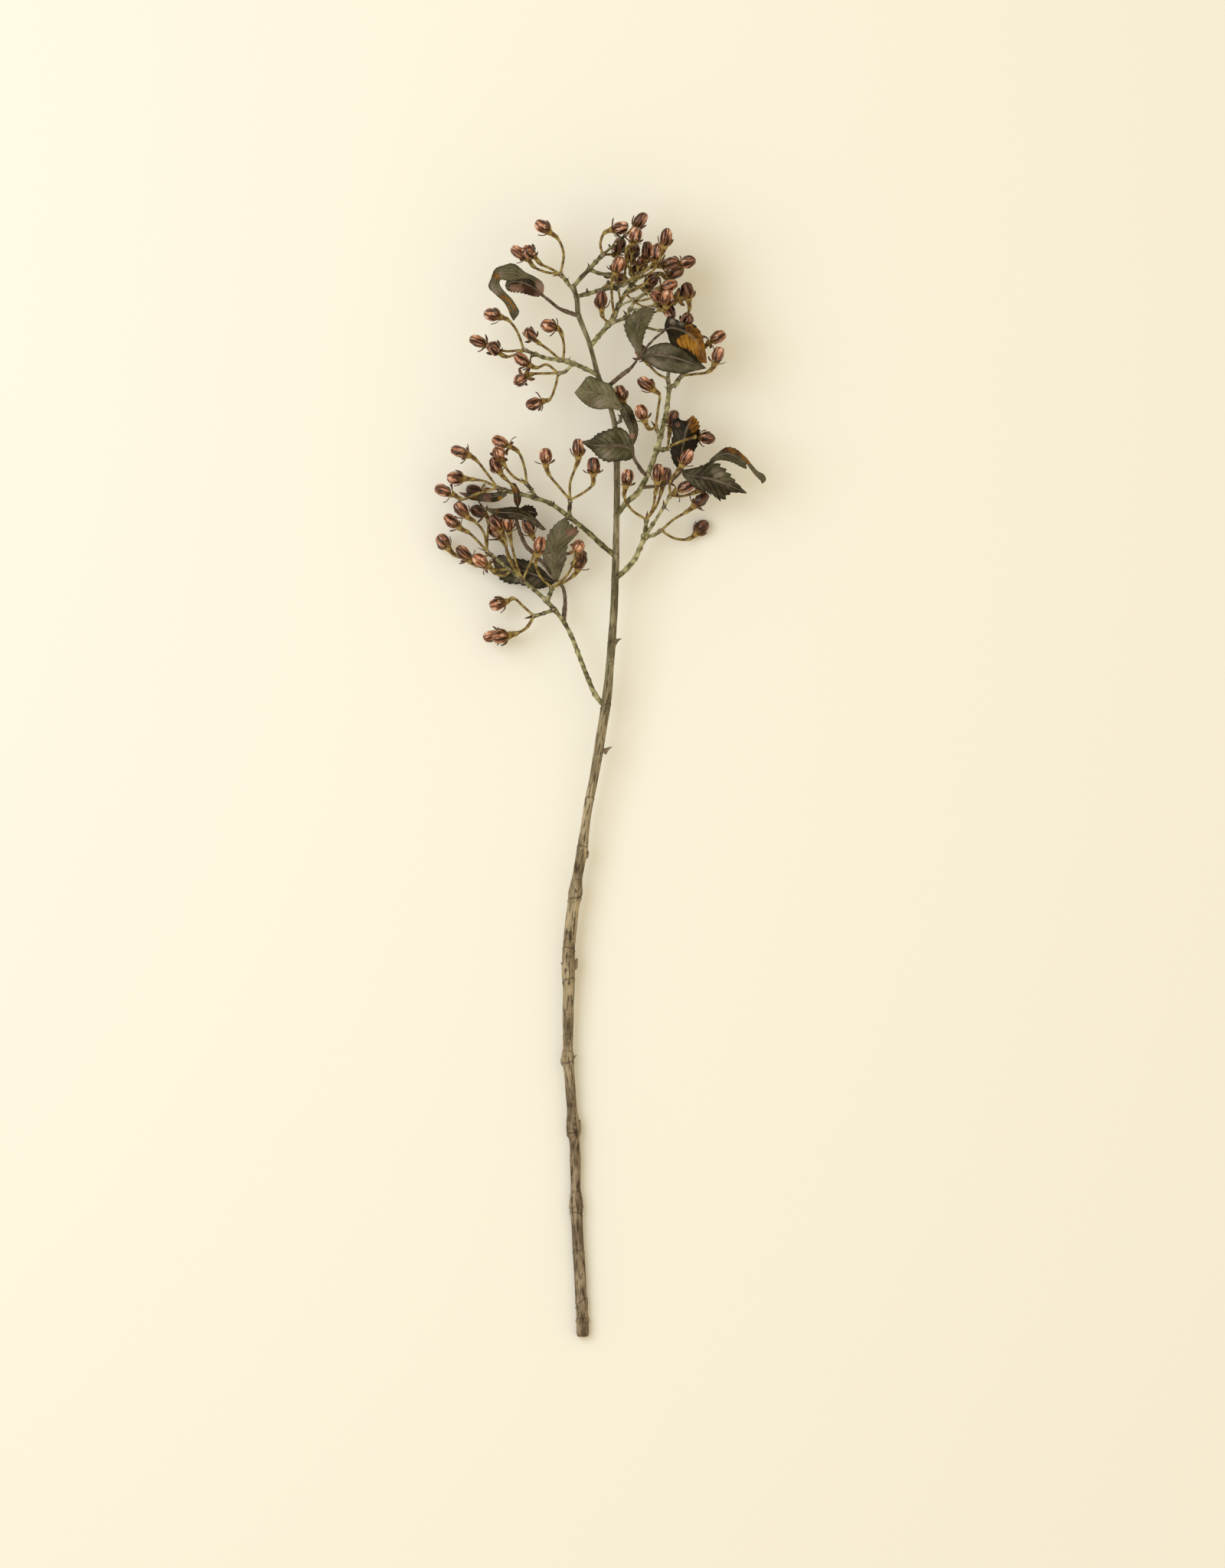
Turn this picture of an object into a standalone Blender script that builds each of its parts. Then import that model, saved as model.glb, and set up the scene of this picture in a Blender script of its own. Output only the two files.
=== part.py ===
"""Hypericum berry stem, cut and lying on its side.

A woody stem runs along Y, from its cut butt at -Y to its forked top at +Y. Branched sprays of
stalks, each with a capped berry at its end, and compound toothed leaves grow from it. The stem
lies on the butt's worn flat and on the lowest berries of one spray at each side.

Places are in millimetres as read by eye: x to the right, y up the stem, z above the surface.
Each grown piece is one solid: the stem, each spray with its berries, and each leaf.
"""
import math

import bmesh
import bpy
from mathutils import Matrix, Vector

# Driving dimensions, in millimetres
MM = 0.001
SHIFT = Vector((2.13, -0.38, 0.0))  # puts the middle of the whole stem over the origin
STEM_SPAN = (-350.0, 300.0)  # from the butt to the top fork
BUTT_HEIGHT = 3.55  # the stem's middle above the surface, at the butt
STEM_RISE = 34.5  # how much higher its middle is at the top fork
RISE_POWER = 1.7  # the rise is slow at first, so the butt lies flat
STEM_SIDES = 8
BERRY_LENGTH = 10.8
BERRY_WIDTH = 7.6
BERRY_SIDES = 10
BERRY_FULLNESS = 1.14  # makes up for the flats between its corners and rings
BERRY_FOOT = 0.15  # where its skin meets the sepals, above its base
SEPAL_REACH = 4.9  # from the berry's axis to a sepal's tip
SEPAL_RISE = 1.5  # how far above the berry's base a sepal's tip is
SEPAL_UNEVEN = (0.12, 1.5)  # share by which they differ in reach, and how far in rise
CALYX_WIDTH = 3.4
NOTCH_WIDTH = 2.9  # across the notches between the sepals
NOTCH_DROP = 0.7  # and how far they lie below the berry's base
CALYX_FOOT = 1.9  # how far below the berry's base the sepals end and the receptacle starts
RECEPTACLE_WIDTH = 3.0
STALK_WIDTH = 1.4
STALK_FLARE = 1.5  # how much thicker a stalk is where the receptacle ends
BUD_LIFT = 0.6  # how far a bud's tip is raised above the stem's middle
LEAF_THICKNESS = 0.7
TOOTH_DEPTH = 1.1
ROOT_SINK = 0.7  # how far from a twig's end a stalk's root stays
JOINT_GAP = 0.35  # between a spray's root and the stem that carries it
FLAT_TILT = 50.0  # degrees between neighbouring faces above which an edge stays sharp

# The stem's middle and its width, from the butt up: x, y, width
STEM = [
    (-12.7, -350.0, 6.6), (-12.7, -348.5, 7.7), (-12.8, -342.0, 7.8), (-12.8, -340.0, 8.6),
    (-13.0, -337.5, 7.7), (-13.3, -331.0, 7.6), (-13.4, -329.0, 8.0), (-13.7, -325.0, 7.3),
    (-14.3, -310.0, 7.2), (-15.2, -297.5, 7.3), (-16.1, -280.0, 6.9), (-16.5, -274.0, 7.4),
    (-16.7, -269.0, 8.6), (-16.8, -264.0, 8.0), (-17.0, -259.0, 6.5), (-17.2, -240.0, 6.8),
    (-17.9, -226.0, 7.0), (-18.2, -224.0, 8.4), (-18.4, -221.0, 7.2), (-18.8, -217.0, 8.0),
    (-19.2, -210.0, 6.5), (-20.3, -195.0, 6.5), (-21.5, -181.0, 6.9), (-22.0, -177.0, 8.2),
    (-21.9, -171.0, 6.6), (-21.7, -150.0, 6.7), (-21.4, -133.0, 7.2), (-21.6, -124.0, 8.4),
    (-21.5, -114.0, 8.2), (-21.1, -105.0, 7.7), (-19.7, -90.0, 7.7), (-18.2, -78.5, 7.6),
    (-17.3, -73.0, 8.7), (-16.3, -65.0, 6.8), (-14.6, -55.0, 6.8), (-12.8, -46.0, 7.2),
    (-11.6, -36.0, 5.9), (-8.4, -15.0, 5.7), (-5.3, 0.0, 5.7), (-2.6, 16.0, 6.0),
    (0.3, 35.0, 6.0), (2.2, 47.0, 5.8), (4.0, 65.0, 5.3), (5.4, 84.0, 5.0), (7.0, 106.0, 4.8),
    (7.8, 128.0, 4.6), (8.2, 146.0, 4.1), (8.5, 168.0, 3.9), (8.7, 190.0, 3.8), (8.7, 197.0, 4.0),
    (8.4, 208.0, 3.4), (7.1, 220.0, 3.3), (4.5, 230.0, 3.1), (0.3, 242.0, 3.2), (-2.8, 249.0, 3.2),
    (-5.7, 260.0, 3.0), (-9.2, 272.0, 3.0), (-12.3, 280.0, 3.1), (-15.3, 288.0, 3.2),
    (-16.2, 297.0, 3.0), (-17.6, 302.0, 3.1), (-19.5, 306.5, 4.4),
]

# Buds, thorns and the stub of a cut twig: root x, y, tip x, y, width at the root and at the tip
STEM_BUDS = [
    (-18.0, -272.0, -21.0, -267.0, 4.0, 1.0),
    (-20.5, -226.0, -22.6, -215.5, 3.2, 1.0),
    (-15.5, -224.0, -14.6, -214.0, 3.2, 1.0),
    (-24.0, -181.0, -26.2, -175.5, 3.4, 1.0),
    (-19.5, -177.5, -17.0, -173.5, 2.2, 0.6),
    (-22.0, -124.0, -26.6, -108.5, 4.2, 3.2),
    (-18.0, -121.0, -16.4, -113.5, 3.6, 1.0),
    (-17.0, -76.0, -20.8, -68.0, 3.4, 1.0),
    (-10.8, -51.5, -9.3, -46.5, 2.8, 1.0),
    (0.0, 14.5, 4.5, 19.5, 4.4, 0.7),
    (6.6, 83.0, 10.6, 87.0, 4.0, 0.7),
]


def berry(tip, base, height, stalk, arch=0.0, faces=1):
    """One berry: its tip and base as seen from above, the height of its middle, and its stalk.

    The stalk runs from the end of the swollen receptacle to its root on a twig. A berry that
    looks shorter than it is leans toward the eye (faces=1) or away from it (faces=-1).
    """
    return {"tip": tip, "base": base, "height": height, "stalk": stalk, "arch": arch, "faces": faces}


# Each spray: its limbs (points x, y, z, then the first and last width), its knobs (x, y, z,
# width), its spikes (root, tip, width) and its berries. A limb's first point is moved onto the
# stem or the limb that carries it.
CROWN_LEFT = {
    "limbs": [
        ([(-20.8, 305.4, 38.4), (-23.0, 309.0, 39.5), (-27.0, 313.3, 40.5)], 2.3, 2.4),
    ],
    "knobs": [],
    "spikes": [((-27.0, 313.0, 40.5), (-31.5, 311.5, 41.0), 1.4)],
    "berries": [
        berry((-42.2, 345.6), (-33.8, 339.4), 46.0, [(-28.5, 335.5), (-24.6, 326.0), (-26.5, 313.0)]),
        berry((-56.5, 329.5), (-48.0, 323.0), 40.0, [(-43.0, 317.5), (-36.0, 314.3), (-27.0, 313.0)]),
        berry((-48.5, 328.8), (-44.0, 325.0), 51.0, [(-38.5, 319.0), (-33.0, 316.5), (-27.0, 313.3)]),
    ],
}
UPPER_LEFT = {
    "limbs": [
        ([(-2.8, 250.0, 33.6), (-11.0, 254.0, 34.6), (-22.0, 258.5, 36.0), (-37.0, 261.0, 36.6),
          (-42.0, 263.0, 36.8), (-50.0, 266.0, 37.0)], 3.0, 2.0),
        ([(-19.0, 256.5, 35.5), (-24.0, 252.0, 37.0), (-28.5, 251.0, 38.0)], 2.0, 1.9),
    ],
    "knobs": [(-22.0, 258.5, 36.0, 3.8), (-42.0, 263.0, 36.8, 3.2)],
    "spikes": [((-42.0, 263.0, 36.8), (-45.5, 260.5, 38.0), 1.4),
               ((-22.0, 258.5, 36.0), (-20.5, 262.0, 37.0), 1.4)],
    "berries": [
        berry((-74.5, 288.8), (-64.3, 286.3), 36.0, [(-59.0, 284.3), (-53.5, 277.0), (-49.8, 266.3)]),
        berry((-82.5, 273.3), (-73.0, 269.0), 31.0, [(-68.0, 267.0), (-61.0, 265.0), (-50.0, 265.8)]),
        berry((-70.5, 269.3), (-66.0, 265.0), 42.0, [(-60.5, 261.5), (-54.0, 263.0), (-49.0, 265.6)]),
        berry((-54.7, 262.5), (-46.6, 256.8), 46.0, [(-41.0, 254.6), (-35.5, 256.5), (-28.5, 251.3)]),
        berry((-53.8, 245.0), (-49.2, 248.8), 42.0, [(-43.5, 250.7), (-36.0, 251.0), (-28.5, 251.0)]),
        berry((-48.2, 230.8), (-38.3, 233.5), 36.0, [(-33.5, 234.8), (-30.0, 242.0), (-28.3, 250.6)]),
        berry((-47.2, 277.6), (-43.8, 273.2), 50.0, [(-39.3, 269.5), (-33.0, 265.0), (-26.5, 260.0)]),
        berry((-38.8, 282.3), (-29.3, 279.3), 48.0, [(-25.5, 274.5), (-24.2, 266.0), (-25.0, 259.5)]),
    ],
}
CROWN_RIGHT = {
    "limbs": [
        ([(-18.0, 305.6, 38.4), (-13.0, 311.5, 40.0), (-8.0, 316.5, 41.5), (-4.5, 320.5, 42.5),
          (0.0, 325.0, 43.5)], 2.7, 2.3),
        ([(0.0, 325.0, 43.5), (8.0, 332.0, 43.0), (15.0, 338.0, 42.5)], 1.8, 1.5),
        ([(-8.0, 315.8, 41.5), (-3.0, 313.6, 41.8), (6.0, 312.2, 42.0)], 2.3, 2.1),
    ],
    "knobs": [(-4.5, 320.5, 42.5, 3.2)],
    "spikes": [((-8.0, 316.5, 41.5), (-9.5, 320.0, 42.5), 1.3)],
    "berries": [
        berry((16.0, 343.0), (6.3, 340.6), 50.0, [(1.0, 338.6), (-1.6, 331.5), (-0.2, 325.0)]),
        berry((26.3, 350.3), (20.3, 342.2), 43.0, [(17.3, 339.8), (14.0, 337.1)]),
        berry((11.5, 335.5), (9.0, 326.8), 34.0, [(5.5, 325.3), (0.2, 324.9)]),
        berry((14.3, 308.5), (6.6, 311.9), 36.5, [(5.0, 312.3), (3.5, 312.6)]),
    ],
}
CROWN_MIDDLE = {
    "limbs": [
        ([(-16.4, 299.0, 37.8), (-10.0, 300.6, 39.0), (-3.0, 302.5, 40.5), (5.0, 304.5, 42.0),
          (12.0, 306.0, 43.0), (18.0, 309.0, 44.5), (24.0, 313.0, 45.5), (29.0, 317.0, 46.0)], 2.8, 1.5),
        ([(0.0, 303.5, 41.3), (4.0, 308.8, 41.5)], 2.0, 1.6),
        ([(5.0, 304.5, 42.0), (10.5, 302.6, 42.6)], 2.0, 1.6),
    ],
    "knobs": [(-9.5, 300.7, 39.1, 3.5)],
    "spikes": [((-9.8, 301.5, 39.2), (-10.0, 304.5, 40.0), 1.5)],
    "berries": [
        berry((21.0, 332.0), (16.5, 323.5), 38.0, [(14.2, 318.0), (13.4, 306.7)]),
        berry((28.2, 332.8), (27.0, 322.0), 42.5, [(25.8, 317.5), (23.5, 312.7)]),
        berry((35.0, 332.3), (32.6, 322.3), 48.0, [(30.8, 319.0), (28.6, 316.7)]),
        berry((46.8, 320.6), (36.9, 318.4), 43.5, [(33.0, 317.6), (28.6, 316.7)]),
    ],
}
CROWN_LOW = {
    "limbs": [
        ([(-7.2, 268.8, 34.8), (-3.0, 274.0, 33.8), (3.0, 281.0, 33.0), (7.0, 287.0, 33.0),
          (10.0, 294.0, 33.6), (14.0, 301.0, 35.5), (18.0, 306.5, 38.0), (20.5, 310.0, 39.5)], 3.2, 2.2),
        ([(3.0, 281.5, 33.0), (8.0, 283.5, 33.0), (14.0, 286.0, 33.5), (17.0, 291.0, 34.8),
          (20.0, 296.0, 36.5), (27.0, 301.0, 39.0), (34.0, 304.0, 41.5)], 2.2, 1.6),
        ([(14.0, 286.0, 33.5), (24.0, 281.0, 33.5), (36.0, 278.0, 34.0), (46.0, 281.0, 35.0)], 1.8, 1.5),
        ([(17.0, 291.0, 34.8), (26.0, 291.5, 37.5), (33.0, 294.0, 40.5)], 1.6, 1.4),
        ([(10.0, 293.0, 33.5), (20.0, 297.5, 39.0), (28.0, 302.5, 43.0)], 1.4, 1.2),
    ],
    "knobs": [(3.0, 281.0, 33.0, 3.9)],
    "spikes": [((14.5, 288.0, 34.0), (12.5, 290.5, 35.0), 1.2),
               ((33.0, 294.0, 40.5), (30.0, 297.0, 41.5), 1.2)],
    "berries": [
        berry((22.0, 342.0), (18.5, 332.8), 57.0, [(14.6, 328.3), (15.0, 320.0), (20.3, 309.8)]),
        berry((40.3, 340.8), (38.4, 330.4), 59.0, [(36.3, 324.5), (30.5, 314.5), (20.7, 309.5)]),
        berry((27.5, 320.0), (19.5, 316.0), 35.0, [(17.5, 312.5), (20.0, 309.5)]),
        berry((33.5, 312.8), (28.0, 304.5), 36.0, [(24.5, 304.0), (18.0, 306.5)]),
        berry((49.8, 316.6), (41.0, 311.5), 35.0, [(36.5, 313.5), (30.0, 313.0), (20.7, 309.8)]),
        berry((57.6, 321.8), (48.6, 319.3), 42.0, [(44.2, 315.0), (40.5, 308.5), (34.0, 304.0)], -5.0),
        berry((45.6, 307.4), (37.0, 304.4), 47.0, [(35.0, 304.0), (32.0, 303.2)]),
        berry((40.6, 303.6), (39.4, 293.2), 53.0, [(36.5, 290.8), (33.0, 294.0)]),
        berry((31.2, 300.8), (37.6, 296.8), 45.0, [(36.5, 293.8), (32.5, 293.8)]),
        berry((51.8, 308.0), (53.3, 297.5), 43.0, [(54.0, 291.3), (51.0, 285.5), (45.5, 280.9)]),
        berry((49.6, 301.0), (46.6, 297.4), 40.0, [(42.8, 294.3), (38.0, 293.0), (33.0, 294.0)], 0.0, -1),
        berry((43.0, 285.5), (40.2, 293.5), 40.0, [(37.5, 296.5), (33.0, 294.2)]),
        berry((54.3, 288.0), (50.5, 281.0), 36.5, [(48.0, 280.5), (45.0, 280.7)]),
        berry((-1.0, 301.8), (-0.8, 292.0), 46.5, [(0.0, 286.2), (3.8, 282.3)]),
        berry((11.3, 323.8), (8.0, 314.2), 52.0, [(5.8, 309.0), (5.6, 299.0), (6.8, 287.2)], 4.5),
    ],
}
UPPER_RIGHT = {
    "limbs": [
        ([(8.3, 162.5, 26.6), (15.0, 171.0, 27.2), (21.0, 176.0, 27.6), (25.0, 182.0, 28.0),
          (31.0, 196.0, 29.5), (34.0, 205.0, 30.4), (38.5, 222.0, 31.8), (40.0, 230.0, 32.5),
          (41.5, 243.5, 33.4)], 3.6, 2.8),
        ([(41.5, 243.5, 33.4), (40.5, 247.5, 34.5), (41.0, 252.5, 35.8)], 2.2, 1.6),
        ([(41.5, 243.0, 33.4), (45.0, 243.8, 33.5), (47.0, 247.0, 33.5), (49.8, 250.4, 33.5)], 2.4, 2.2),
        ([(36.0, 211.5, 31.0), (34.0, 215.0, 33.0), (32.5, 218.0, 35.0)], 2.4, 2.0),
        ([(33.5, 203.5, 30.3), (37.5, 203.6, 30.0), (41.0, 204.5, 29.0)], 2.6, 2.2),
    ],
    "knobs": [(46.2, 245.5, 33.5, 3.6), (37.3, 203.6, 30.0, 3.4)],
    "spikes": [((32.5, 218.0, 35.0), (30.0, 221.5, 37.0), 1.3),
               ((41.0, 240.0, 33.2), (37.8, 243.0, 34.0), 1.3)],
    "berries": [
        berry((21.8, 232.0), (25.8, 221.8), 45.5, [(29.6, 216.2), (32.5, 217.6)]),
        berry((22.6, 247.8), (31.2, 241.0), 43.5, [(35.0, 238.3), (34.4, 229.0), (32.8, 218.3)]),
        berry((21.8, 268.5), (25.8, 260.8), 32.0, [(29.0, 256.3), (34.0, 251.0), (40.6, 247.2)]),
        berry((76.0, 276.4), (67.0, 270.6), 36.0, [(62.0, 266.0), (55.0, 257.5), (49.7, 250.3)]),
        berry((73.2, 267.6), (69.8, 257.4), 41.0, [(65.5, 252.0), (57.0, 250.6), (49.7, 250.4)]),
        berry((69.6, 210.0), (60.6, 211.4), 32.0, [(56.5, 211.0), (49.0, 208.6), (40.8, 204.4)]),
        berry((44.8, 227.5), (42.4, 218.0), 27.0, [(41.3, 212.0), (40.9, 204.5)]),
    ],
}
LOWER_RIGHT = {
    "limbs": [
        ([(7.6, 123.0, 23.7), (15.0, 129.5, 23.5), (20.0, 135.5, 23.0), (23.0, 142.0, 22.5),
          (26.0, 149.5, 22.0)], 3.4, 3.0),
        ([(26.0, 149.0, 22.0), (26.5, 154.0, 22.8), (27.2, 160.5, 25.0)], 2.6, 2.3),
        ([(26.0, 149.0, 22.0), (31.0, 157.0, 23.0), (38.0, 168.0, 25.0), (42.3, 175.5, 27.0)], 2.3, 2.0),
        ([(26.0, 149.0, 22.0), (32.0, 150.5, 20.0), (36.8, 153.6, 18.0)], 2.5, 2.1),
    ],
    "knobs": [(26.0, 149.5, 22.0, 4.4)],
    "spikes": [((27.2, 160.0, 25.0), (27.7, 165.5, 27.0), 1.5),
               ((38.0, 168.0, 25.0), (41.8, 165.5, 26.0), 1.4),
               ((38.0, 168.5, 25.0), (37.5, 172.0, 27.5), 1.3)],
    "berries": [
        berry((15.8, 191.8), (14.2, 181.0), 39.0, [(13.2, 174.6), (17.5, 166.5), (27.0, 160.3)]),
        berry((35.0, 194.4), (34.0, 183.4), 40.0, [(32.7, 176.0), (31.0, 167.0), (27.6, 160.6)]),
        berry((39.8, 193.0), (37.6, 182.6), 17.5, [(36.0, 176.0), (33.0, 168.0), (27.6, 160.2)]),
        berry((56.2, 182.2), (46.4, 178.0), 28.0, [(44.0, 176.4), (41.8, 174.8)]),
        berry((55.0, 203.4), (49.6, 194.3), 48.0, [(46.2, 190.2), (42.0, 183.5), (42.0, 175.2)]),
        berry((66.5, 185.0), (59.8, 178.8), 25.0, [(55.5, 176.3), (49.0, 174.6), (42.0, 175.2)]),
        berry((65.0, 176.0), (57.0, 168.6), 21.5, [(51.3, 164.4), (44.0, 160.0), (36.7, 153.7)]),
        berry((65.3, 159.4), (58.2, 151.6), 4.74, [(52.6, 147.8), (44.6, 148.4), (36.7, 153.4)]),
    ],
}
MIDDLE_LEFT = {
    "limbs": [
        ([(7.9, 137.0, 24.7), (-1.0, 144.5, 25.5), (-8.0, 151.0, 26.0), (-21.0, 161.5, 27.0),
          (-33.0, 170.0, 26.8), (-44.0, 174.0, 26.0), (-58.0, 177.5, 25.0), (-66.5, 180.0, 24.0)], 3.3, 2.2),
        ([(-21.0, 161.5, 27.0), (-20.8, 167.0, 29.0), (-20.5, 172.8, 31.5)], 2.5, 2.2),
        ([(-42.0, 173.3, 26.1), (-45.0, 179.0, 27.5), (-48.2, 182.8, 29.0)], 2.3, 2.0),
    ],
    "knobs": [(-21.0, 161.5, 27.0, 3.8), (-43.0, 174.5, 26.3, 3.4)],
    "spikes": [((-30.0, 168.0, 26.8), (-31.0, 171.8, 27.5), 1.4),
               ((-44.0, 177.0, 27.0), (-48.0, 176.5, 28.5), 1.4),
               ((-48.0, 182.8, 29.0), (-51.5, 185.8, 30.0), 1.3),
               ((-66.0, 180.0, 24.0), (-64.5, 175.0, 25.0), 1.5)],
    "berries": [
        berry((-36.2, 205.3), (-35.5, 194.2), 40.0, [(-33.6, 188.0), (-28.0, 181.0), (-20.7, 172.8)]),
        berry((-15.6, 209.9), (-15.4, 199.0), 45.0, [(-17.0, 192.6), (-20.4, 183.0), (-20.5, 172.8)]),
        berry((-6.0, 199.2), (-6.0, 188.3), 40.0, [(-6.4, 181.8), (-11.5, 177.2), (-20.3, 172.6)]),
        berry((-68.6, 210.7), (-59.0, 206.0), 38.0, [(-53.0, 202.3), (-48.6, 191.0), (-48.0, 182.8)]),
        berry((-66.2, 204.0), (-63.8, 199.6), 47.0, [(-61.0, 193.2), (-55.5, 186.5), (-48.4, 182.8)]),
        berry((-69.0, 199.0), (-64.5, 190.0), 36.0, [(-60.6, 185.2), (-55.0, 179.8), (-52.0, 176.0)]),
        berry((-94.4, 204.0), (-84.2, 200.2), 30.0, [(-79.0, 197.0), (-73.0, 189.5), (-66.7, 180.3)]),
        berry((-97.8, 186.4), (-87.0, 185.6), 25.0, [(-80.5, 185.0), (-74.5, 184.0), (-66.7, 180.2)]),
        berry((-104.7, 180.0), (-94.5, 176.0), 20.0, [(-88.0, 172.8), (-79.0, 176.0), (-66.7, 179.8)]),
        berry((-85.0, 179.6), (-76.0, 176.6), 6.6, [(-71.5, 174.0), (-66.0, 176.0), (-61.5, 178.4)]),
    ],
}
LOWER_LEFT = {
    "limbs": [
        ([(1.6, 43.0, 18.2), (-5.0, 51.0, 18.8), (-9.0, 60.0, 19.0), (-16.0, 78.0, 19.4),
          (-20.0, 88.0, 19.5), (-25.0, 97.0, 19.5), (-36.0, 110.0, 19.0), (-43.0, 116.3, 18.5),
          (-56.0, 127.0, 17.3), (-73.0, 140.5, 15.5)], 3.1, 2.1),
        ([(-31.0, 103.5, 19.2), (-37.0, 101.5, 19.0), (-43.7, 99.6, 18.5)], 2.3, 2.0),
        ([(-35.0, 109.0, 19.0), (-33.0, 113.5, 21.0), (-31.6, 118.2, 23.5)], 2.7, 2.5),
    ],
    "knobs": [(-50.0, 122.2, 18.0, 3.2)],
    "spikes": [((-43.7, 99.6, 18.5), (-49.0, 98.3, 19.5), 1.8),
               ((-73.0, 140.5, 15.5), (-78.5, 142.0, 17.5), 1.6),
               ((-16.5, 80.0, 19.4), (-18.0, 82.5, 20.4), 1.3)],
    "berries": [
        berry((-71.0, 105.7), (-61.3, 108.6), 15.0, [(-56.0, 110.8), (-50.0, 106.0), (-43.7, 99.6)]),
        berry((-74.0, 86.5), (-64.3, 88.2), 11.0, [(-56.0, 89.3), (-49.8, 91.0), (-43.6, 99.3)]),
        berry((-69.5, 86.0), (-59.4, 87.2), 21.0, [(-53.5, 89.0), (-47.0, 93.0), (-43.4, 99.5)]),
        berry((-38.4, 149.0), (-40.6, 138.4), 36.0, [(-42.0, 132.3), (-39.0, 124.5), (-31.8, 118.2)]),
        berry((-14.6, 145.4), (-15.9, 140.8), 37.0, [(-17.6, 134.5), (-23.0, 124.5), (-31.4, 118.2)]),
        berry((-12.3, 139.3), (-15.6, 129.4), 23.0, [(-19.0, 124.6), (-24.0, 121.0), (-31.4, 117.8)]),
        berry((-48.6, 159.8), (-44.6, 151.0), 21.5, [(-41.5, 145.8), (-43.5, 137.5), (-50.0, 122.4)]),
        berry((-59.7, 163.0), (-58.6, 153.2), 21.5, [(-57.5, 147.0), (-55.0, 136.0), (-50.1, 122.6)]),
        berry((-69.4, 162.8), (-64.4, 153.8), 21.5, [(-61.0, 147.5), (-59.5, 137.0), (-50.5, 122.8)]),
        berry((-70.4, 157.2), (-64.4, 149.2), 13.0, [(-61.5, 144.6), (-58.0, 136.0), (-50.8, 123.0)]),
        berry((-81.0, 137.4), (-72.3, 131.6), 24.0, [(-67.0, 126.6), (-62.0, 125.0), (-57.6, 128.2)]),
        berry((-90.6, 143.2), (-83.4, 134.8), 16.0, [(-78.5, 131.3), (-70.0, 129.3), (-58.4, 128.8)]),
        berry((-103.4, 151.0), (-96.7, 142.4), 12.0, [(-91.5, 137.4), (-80.0, 135.0), (-70.5, 138.4)], -4.0),
        berry((-98.4, 162.3), (-90.0, 155.4), 20.0, [(-84.0, 152.0), (-78.5, 147.0), (-73.0, 140.6)]),
        berry((-92.3, 170.4), (-85.3, 162.6), 26.0, [(-80.5, 159.3), (-74.5, 152.0), (-72.8, 140.8)]),
        berry((-81.8, 167.0), (-74.4, 163.6), 18.0, [(-71.5, 158.5), (-72.0, 150.0), (-72.6, 140.6)]),
    ],
}
LONE_STALK = {
    "limbs": [([(7.1, 220.0, 31.0), (10.3, 220.8, 31.3), (11.2, 225.0, 31.2)], 1.8, 1.4)],
    "knobs": [],
    "spikes": [((11.0, 223.5, 31.2), (9.0, 226.0, 32.5), 1.0)],
    "berries": [berry((9.0, 244.0), (12.4, 234.2), 30.0, [(14.2, 229.3), (11.2, 224.5)])],
}

# A leaflet's rows run from its base to its tip: midrib, left edge, right edge.
LEAF_TOP_LEFT = {
    "stalks": [([(-15.0, 287.0, 36.8), (-20.0, 288.6, 37.6), (-28.0, 292.0, 39.0), (-33.0, 296.0, 40.0),
                 (-40.0, 301.5, 42.0)], 2.8, 1.4)],
    "blades": [[
        ((-38.5, 300.6, 41.5), (-39.0, 303.0, 42.0), (-39.5, 299.0, 41.0)),
        ((-43.0, 303.5, 44.0), (-40.0, 309.5, 46.5), (-44.5, 299.5, 40.5)),
        ((-49.0, 306.5, 47.0), (-48.0, 314.8, 49.5), (-50.5, 300.0, 40.5)),
        ((-55.0, 308.5, 49.0), (-56.0, 319.8, 49.5), (-57.0, 301.0, 41.0)),
        ((-61.0, 309.0, 49.0), (-65.0, 318.5, 47.5), (-60.5, 302.8, 42.0)),
        ((-65.5, 305.5, 46.5), (-70.8, 309.5, 44.0), (-61.0, 300.6, 42.5)),
        ((-65.0, 299.5, 43.5), (-70.3, 301.3, 41.5), (-59.0, 298.0, 42.0)),
        ((-60.0, 293.5, 42.0), (-63.0, 292.6, 40.5), (-55.5, 293.0, 41.5)),
        ((-56.0, 284.5, 41.5), None, None),
    ]],
}
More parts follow.
